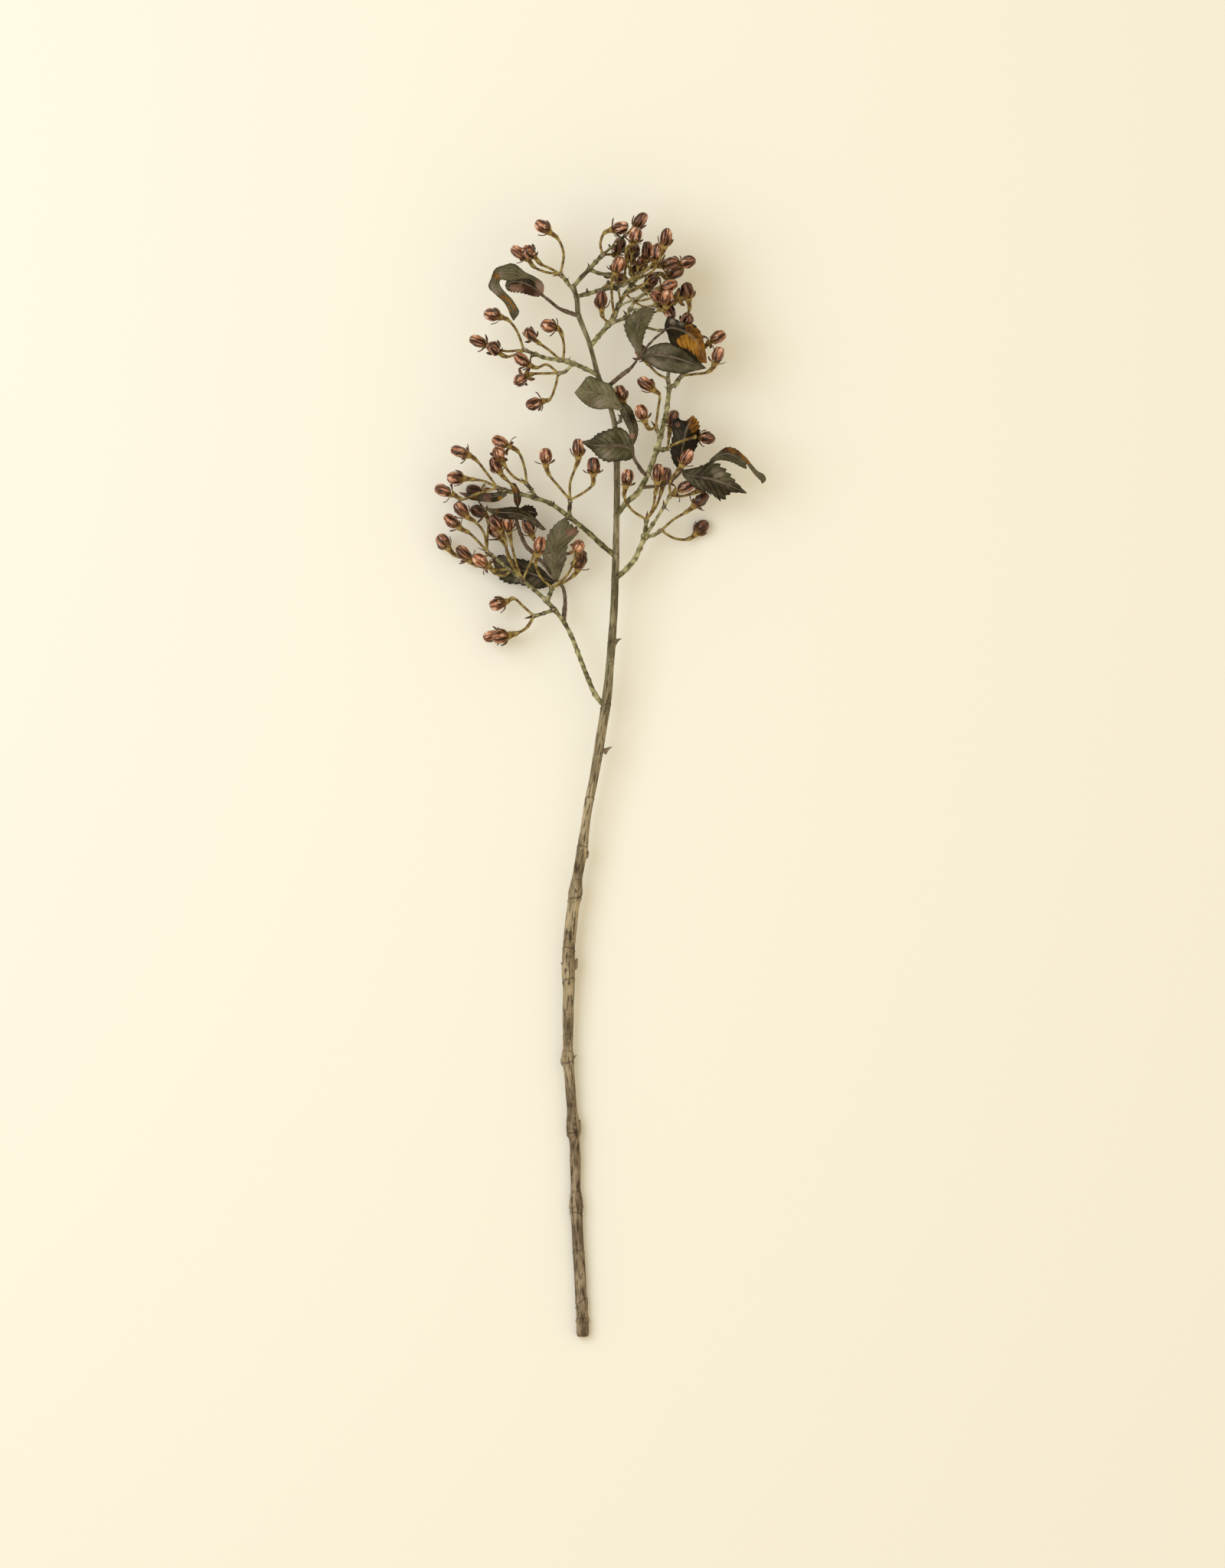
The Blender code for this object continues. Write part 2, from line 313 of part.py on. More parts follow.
LEAF_TOP_RIGHT = {
    "stalks": [([(0.6, 241.0, 33.0), (5.0, 244.5, 34.5), (12.0, 250.3, 36.5), (17.0, 254.0, 38.0),
                 (23.0, 262.0, 40.0), (27.0, 267.0, 42.5), (31.0, 271.5, 44.5),
                 (40.0, 279.0, 48.0)], 2.8, 1.4)],
    "blades": [
        [
            ((22.8, 261.0, 40.0), (21.8, 263.0, 40.0), (24.0, 262.5, 40.0)),
            ((21.8, 268.0, 42.0), (17.5, 269.0, 41.0), (24.6, 268.0, 41.0)),
            ((21.0, 274.5, 44.0), (14.0, 275.0, 42.0), (26.0, 274.0, 42.0)),
            ((21.8, 281.0, 45.0), (12.6, 281.5, 43.0), (28.0, 279.5, 42.5)),
            ((24.0, 286.0, 45.0), (16.5, 288.0, 43.0), (30.0, 283.5, 42.5)),
            ((27.8, 289.3, 43.5), (24.5, 291.4, 43.0), (31.5, 287.6, 42.0)),
            ((32.4, 291.8, 41.6), None, None),
        ],
        [
            ((23.0, 261.6, 40.0), (24.5, 263.5, 40.0), (24.5, 260.6, 40.0)),
            ((29.0, 262.5, 41.5), (30.0, 268.0, 40.0), (28.8, 257.0, 40.5)),
            ((35.5, 262.5, 43.0), (36.8, 270.2, 41.0), (35.3, 253.0, 41.5)),
            ((42.5, 261.5, 44.0), (44.8, 269.4, 42.5), (42.3, 251.4, 42.5)),
            ((50.0, 259.3, 44.5), (52.8, 264.6, 43.5), (50.0, 250.7, 43.5)),
            ((57.0, 256.8, 44.5), (59.3, 259.0, 44.0), (57.2, 252.4, 44.0)),
            ((64.6, 254.2, 43.5), None, None),
        ],
        [
            ((38.5, 278.0, 47.5), (38.5, 281.5, 48.5), (40.0, 277.0, 47.5)),
            ((43.0, 279.5, 51.0), (40.3, 286.6, 50.5), (42.0, 272.0, 49.0)),
            ((49.0, 278.0, 53.5), (47.5, 284.0, 53.5), (46.5, 269.6, 49.0)),
            ((54.5, 275.0, 54.0), (55.3, 282.4, 52.5), (51.0, 268.0, 49.5)),
            ((58.5, 270.5, 53.0), (61.0, 276.8, 50.5), (55.0, 265.0, 49.5)),
            ((61.5, 264.5, 51.0), (63.6, 267.0, 49.5), (59.2, 261.5, 49.5)),
            ((64.8, 257.3, 49.0), None, None),
        ],
    ],
}
LEAF_CENTRE = {
    "stalks": [([(27.3, 187.5, 28.6), (24.5, 190.0, 31.0), (22.0, 193.8, 34.0), (19.0, 199.0, 36.5),
                 (18.3, 207.0, 38.5)], 2.6, 1.8)],
    "blades": [
        [
            ((19.6, 202.0, 37.5), (19.8, 199.5, 37.0), (19.4, 204.6, 37.0)),
            ((15.5, 204.6, 39.0), (16.5, 196.6, 38.0), (16.8, 213.0, 38.2)),
            ((10.0, 206.0, 40.3), (10.0, 196.2, 39.0), (10.0, 217.8, 39.0)),
            ((4.0, 206.0, 41.0), (2.6, 195.6, 39.5), (2.6, 216.0, 39.5)),
            ((-1.5, 206.0, 41.0), (-3.0, 198.6, 39.5), (-4.0, 213.2, 39.5)),
            ((-6.5, 206.4, 39.5), (-7.0, 203.0, 38.5), (-7.3, 210.3, 38.5)),
            ((-14.2, 208.6, 37.5), None, None),
        ],
        [
            ((18.3, 205.8, 38.5), (17.4, 206.5, 38.0), (19.4, 207.0, 38.0)),
            ((18.8, 211.0, 40.5), (16.9, 211.8, 39.5), (21.2, 210.5, 38.0)),
            ((18.7, 216.5, 41.8), (15.8, 215.8, 40.0), (22.0, 217.0, 38.5)),
            ((16.8, 222.0, 42.2), (13.6, 220.0, 40.5), (20.5, 223.0, 38.8)),
            ((14.0, 227.0, 42.0), (11.5, 225.0, 40.6), (18.3, 228.5, 38.8)),
            ((11.8, 231.0, 41.6), (9.6, 229.5, 41.0), (14.2, 232.4, 39.4)),
            ((8.5, 233.5, 42.3), None, None),
        ],
        [
            ((12.0, 229.0, 42.6), (10.5, 227.8, 42.2), (11.5, 231.0, 42.2)),
            ((6.5, 233.0, 43.6), (4.0, 229.0, 42.6), (8.8, 236.5, 42.6)),
            ((1.5, 236.5, 44.6), (-2.4, 228.4, 43.4), (5.5, 243.4, 43.4)),
            ((-4.0, 238.5, 45.2), (-7.2, 229.4, 44.0), (-2.2, 247.0, 44.0)),
            ((-9.5, 239.3, 45.2), (-11.8, 232.3, 44.2), (-8.7, 249.4, 44.2)),
            ((-14.0, 239.0, 44.6), (-15.3, 235.8, 44.0), (-13.2, 244.6, 44.0)),
            ((-17.8, 239.0, 43.8), None, None),
        ],
    ],
}
LEAF_RIGHT = {
    "stalks": [
        ([(25.0, 180.0, 27.9), (30.0, 180.5, 26.5), (38.0, 182.0, 25.6), (44.0, 185.3, 27.5),
          (49.5, 190.5, 32.5)], 2.2, 1.7),
        ([(49.0, 190.0, 32.2), (57.0, 191.5, 31.6), (63.0, 193.2, 33.0), (67.8, 196.0, 35.2)], 1.6, 1.3),
    ],
    "blades": [
        [
            ((48.8, 190.0, 33.0), (47.0, 191.3, 33.0), (50.4, 191.6, 33.3)),
            ((48.5, 196.5, 36.0), (43.4, 195.8, 34.5), (53.2, 197.2, 35.2)),
            ((49.5, 203.5, 38.5), (41.5, 203.0, 36.0), (57.8, 203.0, 37.0)),
            ((50.8, 210.5, 40.0), (42.8, 211.5, 37.0), (60.3, 210.0, 38.0)),
            ((52.5, 217.0, 40.0), (44.4, 223.0, 37.0), (60.6, 216.0, 38.0)),
            ((54.5, 221.0, 39.0), (51.0, 221.3, 37.8), (59.5, 221.2, 38.0)),
            ((56.0, 225.0, 38.2), None, None),
        ],
        [
            ((49.3, 189.0, 32.8), (50.6, 190.7, 33.2), (49.8, 187.3, 33.0)),
            ((55.0, 187.5, 35.5), (54.6, 191.8, 35.0), (54.0, 181.4, 34.0)),
            ((61.5, 186.3, 37.5), (61.5, 194.5, 37.0), (60.5, 177.5, 35.0)),
            ((68.0, 185.0, 38.8), (68.8, 196.6, 38.8), (67.2, 175.0, 35.5)),
            ((74.5, 183.0, 38.5), (76.8, 191.0, 37.5), (73.0, 171.6, 35.0)),
            ((80.5, 180.5, 37.0), (82.6, 184.2, 36.5), (79.2, 176.2, 35.0)),
            ((90.0, 176.2, 33.5), None, None),
        ],
        [
            ((66.0, 195.2, 34.6), (67.0, 197.6, 35.0), (68.5, 194.8, 34.8)),
            ((71.5, 199.5, 37.5), (72.0, 202.6, 38.5), (71.6, 196.2, 35.8)),
            ((77.5, 201.0, 40.5), (78.0, 205.2, 41.5), (77.2, 196.0, 38.5)),
            ((83.0, 199.5, 42.0), (84.8, 203.4, 43.0), (83.2, 194.0, 40.0)),
            ((88.0, 195.5, 42.0), (90.4, 197.6, 43.0), (88.2, 191.5, 40.5)),
            ((93.0, 191.0, 41.0), (95.2, 190.4, 41.6), (92.4, 188.4, 40.0)),
            ((100.3, 183.0, 38.0), None, None),
        ],
    ],
}
LEAF_LEFT = {
    "stalks": [
        ([(-24.6, 96.3, 19.4), (-24.2, 101.0, 17.8), (-23.6, 110.0, 16.4), (-25.2, 118.0, 14.8),
          (-29.5, 122.5, 13.8)], 2.9, 2.0),
        ([(-29.5, 122.0, 13.8), (-36.0, 131.0, 14.4), (-42.5, 138.3, 15.4), (-47.5, 143.0, 17.0),
          (-51.0, 150.0, 20.0), (-54.0, 160.0, 27.0), (-54.5, 164.0, 29.8)], 2.2, 2.2),
    ],
    "blades": [
        [
            ((-29.2, 121.2, 14.0), (-30.8, 123.5, 14.0), (-27.6, 123.0, 14.0)),
            ((-29.5, 128.5, 16.5), (-34.0, 129.5, 16.3), (-25.0, 128.6, 15.5)),
            ((-30.0, 135.5, 18.5), (-38.2, 135.5, 18.0), (-22.2, 136.0, 17.5)),
            ((-29.5, 143.0, 19.5), (-37.2, 143.4, 18.4), (-21.6, 143.5, 18.0)),
            ((-28.0, 150.0, 19.5), (-34.6, 151.0, 18.5), (-15.0, 153.5, 18.5)),
            ((-26.0, 156.0, 19.0), (-29.8, 157.2, 18.5), (-20.0, 157.0, 18.5)),
            ((-23.4, 161.6, 18.2), None, None),
        ],
        [
            ((-29.6, 121.0, 13.6), (-32.0, 119.2, 13.2), (-31.8, 123.0, 13.4)),
            ((-37.0, 123.5, 13.2), (-37.5, 116.6, 12.2), (-36.7, 128.5, 12.4)),
            ((-43.5, 126.0, 12.8), (-43.0, 116.2, 11.6), (-43.2, 133.5, 11.8)),
            ((-50.5, 128.5, 12.4), (-51.2, 119.0, 11.0), (-51.0, 135.8, 11.4)),
            ((-57.5, 130.5, 11.8), (-59.3, 119.8, 10.0), (-57.7, 135.8, 10.8)),
            ((-63.0, 132.5, 11.0), (-64.6, 123.0, 9.5), (-62.4, 138.4, 10.4)),
            ((-69.0, 135.4, 10.2), None, None),
        ],
        [
            ((-35.6, 153.6, 24.5), (-37.8, 153.2, 24.8), (-37.0, 155.6, 25.0)),
            ((-42.0, 158.2, 27.5), (-43.2, 156.4, 26.0), (-41.8, 160.6, 26.4)),
            ((-48.5, 162.0, 29.5), (-49.2, 159.4, 27.8), (-47.6, 165.6, 27.8)),
            ((-55.0, 164.0, 30.5), (-55.5, 160.0, 28.8), (-55.0, 168.0, 28.8)),
            ((-62.0, 164.3, 30.5), (-62.0, 160.6, 28.8), (-62.2, 167.4, 29.0)),
            ((-68.5, 165.2, 30.0), (-69.0, 163.4, 29.0), (-68.5, 166.8, 29.0)),
            ((-74.8, 167.8, 29.6), None, None),
        ],
        [
            ((-54.0, 164.0, 30.2), (-52.0, 162.5, 29.6), (-52.0, 167.0, 29.2)),
            ((-48.0, 165.0, 26.6), (-47.6, 161.8, 25.8), (-48.0, 169.4, 25.0)),
            ((-44.0, 164.6, 24.4), (-43.2, 160.6, 23.4), (-43.6, 168.4, 23.4)),
            ((-40.6, 163.2, 22.6), None, None),
        ],
    ],
}
# Dried leaf scraps that cling to the middle left spray
SCRAPS = [
    [
        ((-56.5, 183.0, 27.0), (-58.0, 181.5, 26.5), (-54.5, 182.5, 27.0)),
        ((-54.0, 177.2, 28.0), (-57.4, 176.0, 26.0), (-50.5, 177.5, 26.5)),
        ((-53.2, 172.0, 26.5), (-56.6, 171.0, 25.0), (-49.6, 172.0, 25.0)),
        ((-53.0, 166.9, 24.4), None, None),
    ],
    [
        ((-60.0, 177.0, 24.6), (-60.0, 175.0, 24.0), (-61.0, 178.5, 24.4)),
        ((-67.0, 174.4, 21.0), (-66.0, 171.2, 19.5), (-67.5, 177.0, 21.0)),
        ((-75.0, 174.0, 18.5), (-74.5, 171.4, 17.4), (-75.5, 176.6, 18.6)),
        ((-83.0, 174.6, 17.0), (-83.0, 172.6, 16.0), (-83.4, 176.8, 17.0)),
        ((-90.0, 177.0, 16.0), None, None),
    ],
]

COLOURS = {
    "bark": (0.20, 0.165, 0.105, 1.0),
    "berry": (0.30, 0.085, 0.055, 1.0),
    "leaf": (0.075, 0.07, 0.04, 1.0),
}


def stem_height(y):
    """How high the stem's middle is above the surface, at a place along it."""
    along = (y - STEM_SPAN[0]) / (STEM_SPAN[1] - STEM_SPAN[0])
    return BUTT_HEIGHT + STEM_RISE * max(along, 0.0) ** RISE_POWER


def place(point):
    """A hand-read point, in millimetres, as a place of the model, in metres."""
    return (Vector(point) + SHIFT) * MM


def new_object(name, mesh):
    thing = bpy.data.objects.new(name, mesh)
    bpy.context.scene.collection.objects.link(thing)
    return thing


def finished_mesh(thing):
    """The object's mesh with its modifiers or bevel applied and its doubles merged."""
    bpy.context.view_layer.update()
    mesh = bpy.data.meshes.new_from_object(thing.evaluated_get(bpy.context.evaluated_depsgraph_get()))
    bm = bmesh.new()
    bm.from_mesh(mesh)
    bmesh.ops.remove_doubles(bm, verts=bm.verts, dist=1e-6)
    bmesh.ops.recalc_face_normals(bm, faces=bm.faces)
    bm.to_mesh(mesh)
    bm.free()
    return mesh


def limb(points, widths, sides):
    """A closed tube through the points, as thick at each one as its width says."""
    curve = bpy.data.curves.new("limb", "CURVE")
    curve.dimensions = "3D"
    curve.twist_mode = "Z_UP"
    curve.bevel_depth = MM / 2.0
    curve.bevel_resolution = sides // 2 - 2
    curve.use_fill_caps = True
    spline = curve.splines.new("POLY")
    spline.points.add(len(points) - 1)
    for dot, point, width in zip(spline.points, points, widths):
        dot.co = (*place(point), 1.0)
        dot.radius = width
    tube = new_object("limb", curve)
    mesh = finished_mesh(tube)
    bpy.data.objects.remove(tube)
    bpy.data.curves.remove(curve)
    return new_object("limb", mesh)


def shares(count):
    return [i / (count - 1) for i in range(count)]


def tapered(points, first, last, sides=6):
    return limb(points, [first + (last - first) * t for t in shares(len(points))], sides)


def knob(x, y, z, width):
    bm = bmesh.new()
    bmesh.ops.create_icosphere(bm, subdivisions=1, radius=width * MM / 2.0)
    bmesh.ops.translate(bm, verts=bm.verts, vec=place((x, y, z)))
    mesh = bpy.data.meshes.new("knob")
    bm.to_mesh(mesh)
    bm.free()
    return new_object("knob", mesh)


def spike(root, tip, root_width, tip_width=0.5, sides=4):
    """A short tapered bud, thorn or bract."""
    return limb([root, tip], [root_width, tip_width], sides)


def nearest_on(lines, x, y):
    """The point of the carriers' middle lines that is nearest, seen from above."""
    best = None
    for line in lines:
        for start, end in zip(line, line[1:]):
            run = Vector(end) - Vector(start)
            away = Vector((x - start[0], y - start[1]))
            most = 1.0 - ROOT_SINK / run.length
            share = min(max(away.dot(run.xy) / run.xy.length_squared, 0.0), most)
            spot = Vector(start) + run * share
            gap = (spot.xy - Vector((x, y))).length
            if best is None or gap < best[0]:
                best = (gap, spot)
    return best[1]


def stalk_route(row, base, carriers):
    """The stalk's points from the receptacle's end to the root, with their heights."""
    root = nearest_on(carriers, *row["stalk"][-1])
    flat = [Vector(p) for p in row["stalk"][:-1]] + [root.xy]
    steps = [base.xy.copy()] + flat
    lengths = [(b - a).length for a, b in zip(steps, steps[1:])]
    route = []
    for i, point in enumerate(flat):
        share = sum(lengths[: i + 1]) / sum(lengths)
        height = base.z + (root.z - base.z) * share + row["arch"] * math.sin(math.pi * share)
        route.append(Vector((point.x, point.y, height)))
    return route


def berry_ends(row):
    """The berry's base and its direction, from how long it looks from above."""
    seen = Vector(row["tip"]) - Vector(row["base"])
    lean = math.sqrt(max(1.0 - (seen.length / BERRY_LENGTH) ** 2, 0.0)) * row["faces"]
    flat = seen.normalized() * math.sqrt(1.0 - lean * lean)
    axis = Vector((flat.x, flat.y, lean))
    middle = (Vector(row["tip"]) + Vector(row["base"])) / 2.0
    base = Vector((middle.x, middle.y, row["height"])) - axis * (BERRY_LENGTH / 2.0)
    return base, axis


def new_verts(grown):
    return [v for v in grown["geom"] if isinstance(v, bmesh.types.BMVert)]


def rim(bm):
    return [e for e in bm.edges if e.is_boundary]


def by_turn(ring):
    """Points round the Z axis, in the order of their turn about it."""
    return sorted(ring, key=lambda v: math.atan2(v.co.y, v.co.x) % math.tau)


def berry_cap(bm):
    """A berry that points up Z from the origin, with its lowest ring left open."""
    bmesh.ops.create_uvsphere(bm, u_segments=BERRY_SIDES, v_segments=3, radius=1.0)
    lowest = min(bm.verts, key=lambda v: v.co.z)
    bmesh.ops.delete(bm, geom=[lowest], context="VERTS")
    across = BERRY_WIDTH / 2.0 * BERRY_FULLNESS
    bmesh.ops.scale(bm, verts=bm.verts, vec=(across, across, BERRY_LENGTH / 2.0))
    bmesh.ops.translate(bm, verts=bm.verts, vec=(0.0, 0.0, BERRY_LENGTH / 2.0))


def close_in(bm, width, height):
    """Grows the open ring to a ring of half as many corners, below it."""
    grown = bmesh.ops.extrude_edge_only(bm, edges=rim(bm))
    ring = by_turn(new_verts(grown))
    pairs = {}
    for i, vert in enumerate(ring):
        turn = math.tau * (i // 2) / (len(ring) // 2)
        vert.co = (width / 2.0 * math.cos(turn), width / 2.0 * math.sin(turn), height)
        if i % 2:
            pairs[vert] = ring[i - 1]
    bmesh.ops.weld_verts(bm, targetmap=pairs)


def add_sepals(bm, twist):
    """Five spread sepals, uneven as dried ones are, between the berry's foot and the receptacle."""
    upper = by_turn({v for e in rim(bm) for v in e.verts})
    count = len(upper)
    tips = []
    notches = []
    lower = []
    for i in range(count):
        turn = math.tau * i / count
        reach = SEPAL_REACH * (1.0 + SEPAL_UNEVEN[0] * math.sin(2.4 * i + twist))
        rise = SEPAL_RISE + SEPAL_UNEVEN[1] * math.sin(3.1 * i + 1.7 * twist)
        half = turn + math.pi / count
        tips.append(bm.verts.new((reach * math.cos(turn), reach * math.sin(turn), rise)))
        notch = NOTCH_WIDTH / 2.0
        notches.append(bm.verts.new((notch * math.cos(half), notch * math.sin(half), -NOTCH_DROP)))
        foot = RECEPTACLE_WIDTH / 2.0
        lower.append(bm.verts.new((foot * math.cos(turn), foot * math.sin(turn), -CALYX_FOOT)))
    for i in range(count):
        after = (i + 1) % count
        bm.faces.new((upper[i], tips[i], notches[i]))
        bm.faces.new((upper[i], notches[i - 1], tips[i]))
        bm.faces.new((upper[i], notches[i], upper[after]))
        bm.faces.new((lower[i], notches[i], tips[i]))
        bm.faces.new((lower[i], tips[i], notches[i - 1]))
        bm.faces.new((lower[i], lower[after], notches[i]))


def station(point, turn, width):
    return Matrix.LocRotScale(point, turn, Vector((width, width, width)) / 2.0)


def grow_stalk(bm, axis, base, route):
    """Extrudes the open ring along the stalk and closes its root."""
    turn = axis.to_track_quat("Z", "Y")
    foot = base - axis * CALYX_FOOT
    here = station(foot, turn, RECEPTACLE_WIDTH)
    points = [foot] + route
    heading = -axis
    for i, point in enumerate(route):
        ahead = points[i + 2] if i + 2 < len(points) else point
        onward = (point - points[i]).normalized() + (ahead - point).normalized()
        turn = heading.rotation_difference(onward) @ turn
        heading = onward.normalized()
        there = station(point, turn, STALK_WIDTH * (1.0 if i else STALK_FLARE))
        grown = bmesh.ops.extrude_edge_only(bm, edges=rim(bm))
        bmesh.ops.transform(bm, matrix=there @ here.inverted(), verts=new_verts(grown))
        here = there
    bmesh.ops.contextual_create(bm, geom=rim(bm))


def berry_on_stalk(row, carriers, twist):
    """A berry with its sepals, its receptacle and its stalk, as one closed shape."""
    base, axis = berry_ends(row)
    bm = bmesh.new()
    berry_cap(bm)
    close_in(bm, CALYX_WIDTH, BERRY_FOOT)
    add_sepals(bm, twist)
    about = Matrix.Rotation(twist, 4, "Z")
    there = Matrix.LocRotScale(base, axis.to_track_quat("Z", "Y"), None)
    bmesh.ops.transform(bm, matrix=there @ about, verts=bm.verts)
    grow_stalk(bm, axis, base, stalk_route(row, base, carriers))
    bmesh.ops.transform(bm, matrix=Matrix.Scale(MM, 4) @ Matrix.Translation(SHIFT), verts=bm.verts)
    bmesh.ops.recalc_face_normals(bm, faces=bm.faces)
    mesh = bpy.data.meshes.new("berry")
    bm.to_mesh(mesh)
    bm.free()
    return new_object("berry", mesh)


def material(name):
    paint = bpy.data.materials.get(name) or bpy.data.materials.new(name)
    paint.use_nodes = True
    shader = paint.node_tree.nodes["Principled BSDF"]
    shader.inputs["Base Color"].default_value = COLOURS[name]
    shader.inputs["Roughness"].default_value = 0.45 if name == "berry" else 0.7
    shader.inputs["Metallic"].default_value = 0.0
    return paint


def combine(target, others, operation):
    """Applies one Boolean of a collection of shapes to the target and removes the shapes.

    The exact solver leaves open edges where several thin stalks meet at one node.
    """
    group = bpy.data.collections.new("shapes")
    bpy.context.scene.collection.children.link(group)
    for other in others:
        bpy.context.scene.collection.objects.unlink(other)
        group.objects.link(other)
    cut = target.modifiers.new("combine", "BOOLEAN")
    cut.operand_type = "COLLECTION"
    cut.collection = group
    cut.operation = operation
    cut.solver = "MANIFOLD"
    mesh = finished_mesh(target)
    target.modifiers.clear()
    target.data = mesh
    for other in others:
        bpy.data.objects.remove(other)
    bpy.data.collections.remove(group)


def finish(thing, name, colour):
    thing.name = name
    thing.data.name = name
    thing.data.materials.clear()
    thing.data.materials.append(material(colour))
    thing.data.shade_smooth()
    thing.data.set_sharp_from_angle(angle=math.radians(FLAT_TILT))
    return thing


def clear_of(line, widths, sides):
    """The space that a carrier fills, with the joint's gap around it and past its end.

    What grows from the carrier has this space cut out of it.
    """
    onward = (Vector(line[-1]) - Vector(line[-2])).normalized() * JOINT_GAP
    longer = line[:-1] + [tuple(Vector(line[-1]) + onward)]
    return limb(longer, [w + 2.0 * JOINT_GAP for w in widths], sides)


def stem_line():
    return [(x, y, stem_height(y)) for x, y, _ in STEM]


def stem_widths():
    return [w for _, _, w in STEM]


def worn_flat(thing):
    """Takes off what would be below the surface, which leaves a small flat to lie on."""
    bm = bmesh.new()
    bm.from_mesh(thing.data)
    everything = bm.verts[:] + bm.edges[:] + bm.faces[:]
    bmesh.ops.bisect_plane(bm, geom=everything, plane_co=(0, 0, 0), plane_no=(0, 0, -1), clear_outer=True)
    bmesh.ops.holes_fill(bm, edges=rim(bm), sides=0)
    bmesh.ops.recalc_face_normals(bm, faces=bm.faces)
    bm.to_mesh(thing.data)
    bm.free()


def make_stem():
    stem = limb(stem_line(), stem_widths(), STEM_SIDES)
    buds = []
    for root_x, root_y, tip_x, tip_y, wide, narrow in STEM_BUDS:
        root = (root_x, root_y, stem_height(root_y))
        tip = (tip_x, tip_y, stem_height(tip_y) + BUD_LIFT)
        buds.append(spike(root, tip, wide, narrow))
    combine(stem, buds, "UNION")
    worn_flat(stem)
    return finish(stem, "main_stem", "bark")


def make_spray(name, plan, extra=()):
    """One spray: its limbs, knobs, spikes, berries and any scraps, joined in one solid."""
    lines = [points for points, _, _ in plan["limbs"]]
    limbs = []
    for i, (points, first, last) in enumerate(plan["limbs"]):
        if i:
            points = [tuple(nearest_on(lines[:i], *points[0][:2]))] + points[1:]
        limbs.append(tapered(points, first, last))
    shapes = limbs[1:] + [knob(*row) for row in plan["knobs"]]
    shapes += [spike(*row) for row in plan["spikes"]]
    shapes += [berry_on_stalk(row, lines, 2.4 * i) for i, row in enumerate(plan["berries"])]
    shapes += list(extra)
    spray = limbs[0]
    combine(spray, shapes, "UNION")
    combine(spray, [clear_of(stem_line(), stem_widths(), STEM_SIDES)], "DIFFERENCE")
    return finish(spray, name, "berry")


def toothed_edge(rows, side):
    """A blade's edge from base to tip: a tooth at each row, and a notch just past it."""
    edge = []
    for i, row in enumerate(rows[:-1]):
        here = Vector(row[side])
        edge.append([here])
        if i + 2 < len(rows) and i:
            ahead = Vector(rows[i + 1][side])
            middle = (Vector(row[0]) + Vector(rows[i + 1][0])) / 2.0
            notch = here.lerp(ahead, 0.3)
            edge[-1].append(notch + (middle - notch).normalized() * TOOTH_DEPTH)
    return edge


def blade(rows):
    """A toothed leaflet of even thickness, from its rows of midrib and edge points."""
    bm = bmesh.new()
    ribs = [bm.verts.new(place(row[0])) for row in rows]
    sides = []
    for side in (1, 2):
        edge = toothed_edge(rows, side)
        sides.append([[bm.verts.new(place(p)) for p in group] for group in edge])
    for side, edge in enumerate(sides):
        for i, group in enumerate(edge):
            ahead = edge[i + 1][0] if i + 1 < len(edge) else None
            corners = [ribs[i]] + group + ([ahead] if ahead else []) + [ribs[i + 1]]
            bm.faces.new(corners if side else corners[::-1])
    bmesh.ops.triangulate(bm, faces=bm.faces, quad_method="BEAUTY", ngon_method="BEAUTY")
    bmesh.ops.recalc_face_normals(bm, faces=bm.faces)
    mesh = bpy.data.meshes.new("blade")
    bm.to_mesh(mesh)
    bm.free()
    sheet = new_object("blade", mesh)
    thick = sheet.modifiers.new("thickness", "SOLIDIFY")
    thick.thickness = LEAF_THICKNESS * MM
    thick.offset = 0.0
    sheet.data = finished_mesh(sheet)
    sheet.modifiers.clear()
    return sheet


def make_leaf(name, plan, carrier, widths, sides):
    """A compound leaf: its stalk, and its leaflets joined to it, clear of what carries it."""
    stalks = [tapered(points, first, last) for points, first, last in plan["stalks"]]
    combine(stalks[0], stalks[1:] + [blade(rows) for rows in plan["blades"]], "UNION")
    combine(stalks[0], [clear_of(carrier, widths, sides)], "DIFFERENCE")
    return finish(stalks[0], name, "leaf")


def spray_carrier(plan):
    """The middle line and the widths of a spray's branch."""
    points, first, last = plan["limbs"][0]
    return points, [first + (last - first) * t for t in shares(len(points))], 6


def make_all():
    make_stem()
    make_spray("crown_left_spray", CROWN_LEFT)
    make_spray("upper_left_spray", UPPER_LEFT)
    make_spray("crown_right_spray", CROWN_RIGHT)
    make_spray("crown_middle_spray", CROWN_MIDDLE)
    make_spray("crown_low_spray", CROWN_LOW)
    make_spray("upper_right_spray", UPPER_RIGHT)
    make_spray("lower_right_spray", LOWER_RIGHT)
    make_spray("middle_left_spray", MIDDLE_LEFT, [blade(rows) for rows in SCRAPS])
    make_spray("lower_left_spray", LOWER_LEFT)
    make_spray("lone_berry", LONE_STALK)
    on_stem = (stem_line(), stem_widths(), STEM_SIDES)
    make_leaf("leaf_top_left", LEAF_TOP_LEFT, *on_stem)
    make_leaf("leaf_top_right", LEAF_TOP_RIGHT, *on_stem)
    make_leaf("leaf_centre", LEAF_CENTRE, *spray_carrier(UPPER_RIGHT))
    make_leaf("leaf_right", LEAF_RIGHT, *spray_carrier(UPPER_RIGHT))
    make_leaf("leaf_left", LEAF_LEFT, *spray_carrier(LOWER_LEFT))


for old in list(bpy.data.objects):
    bpy.data.objects.remove(old)
make_all()
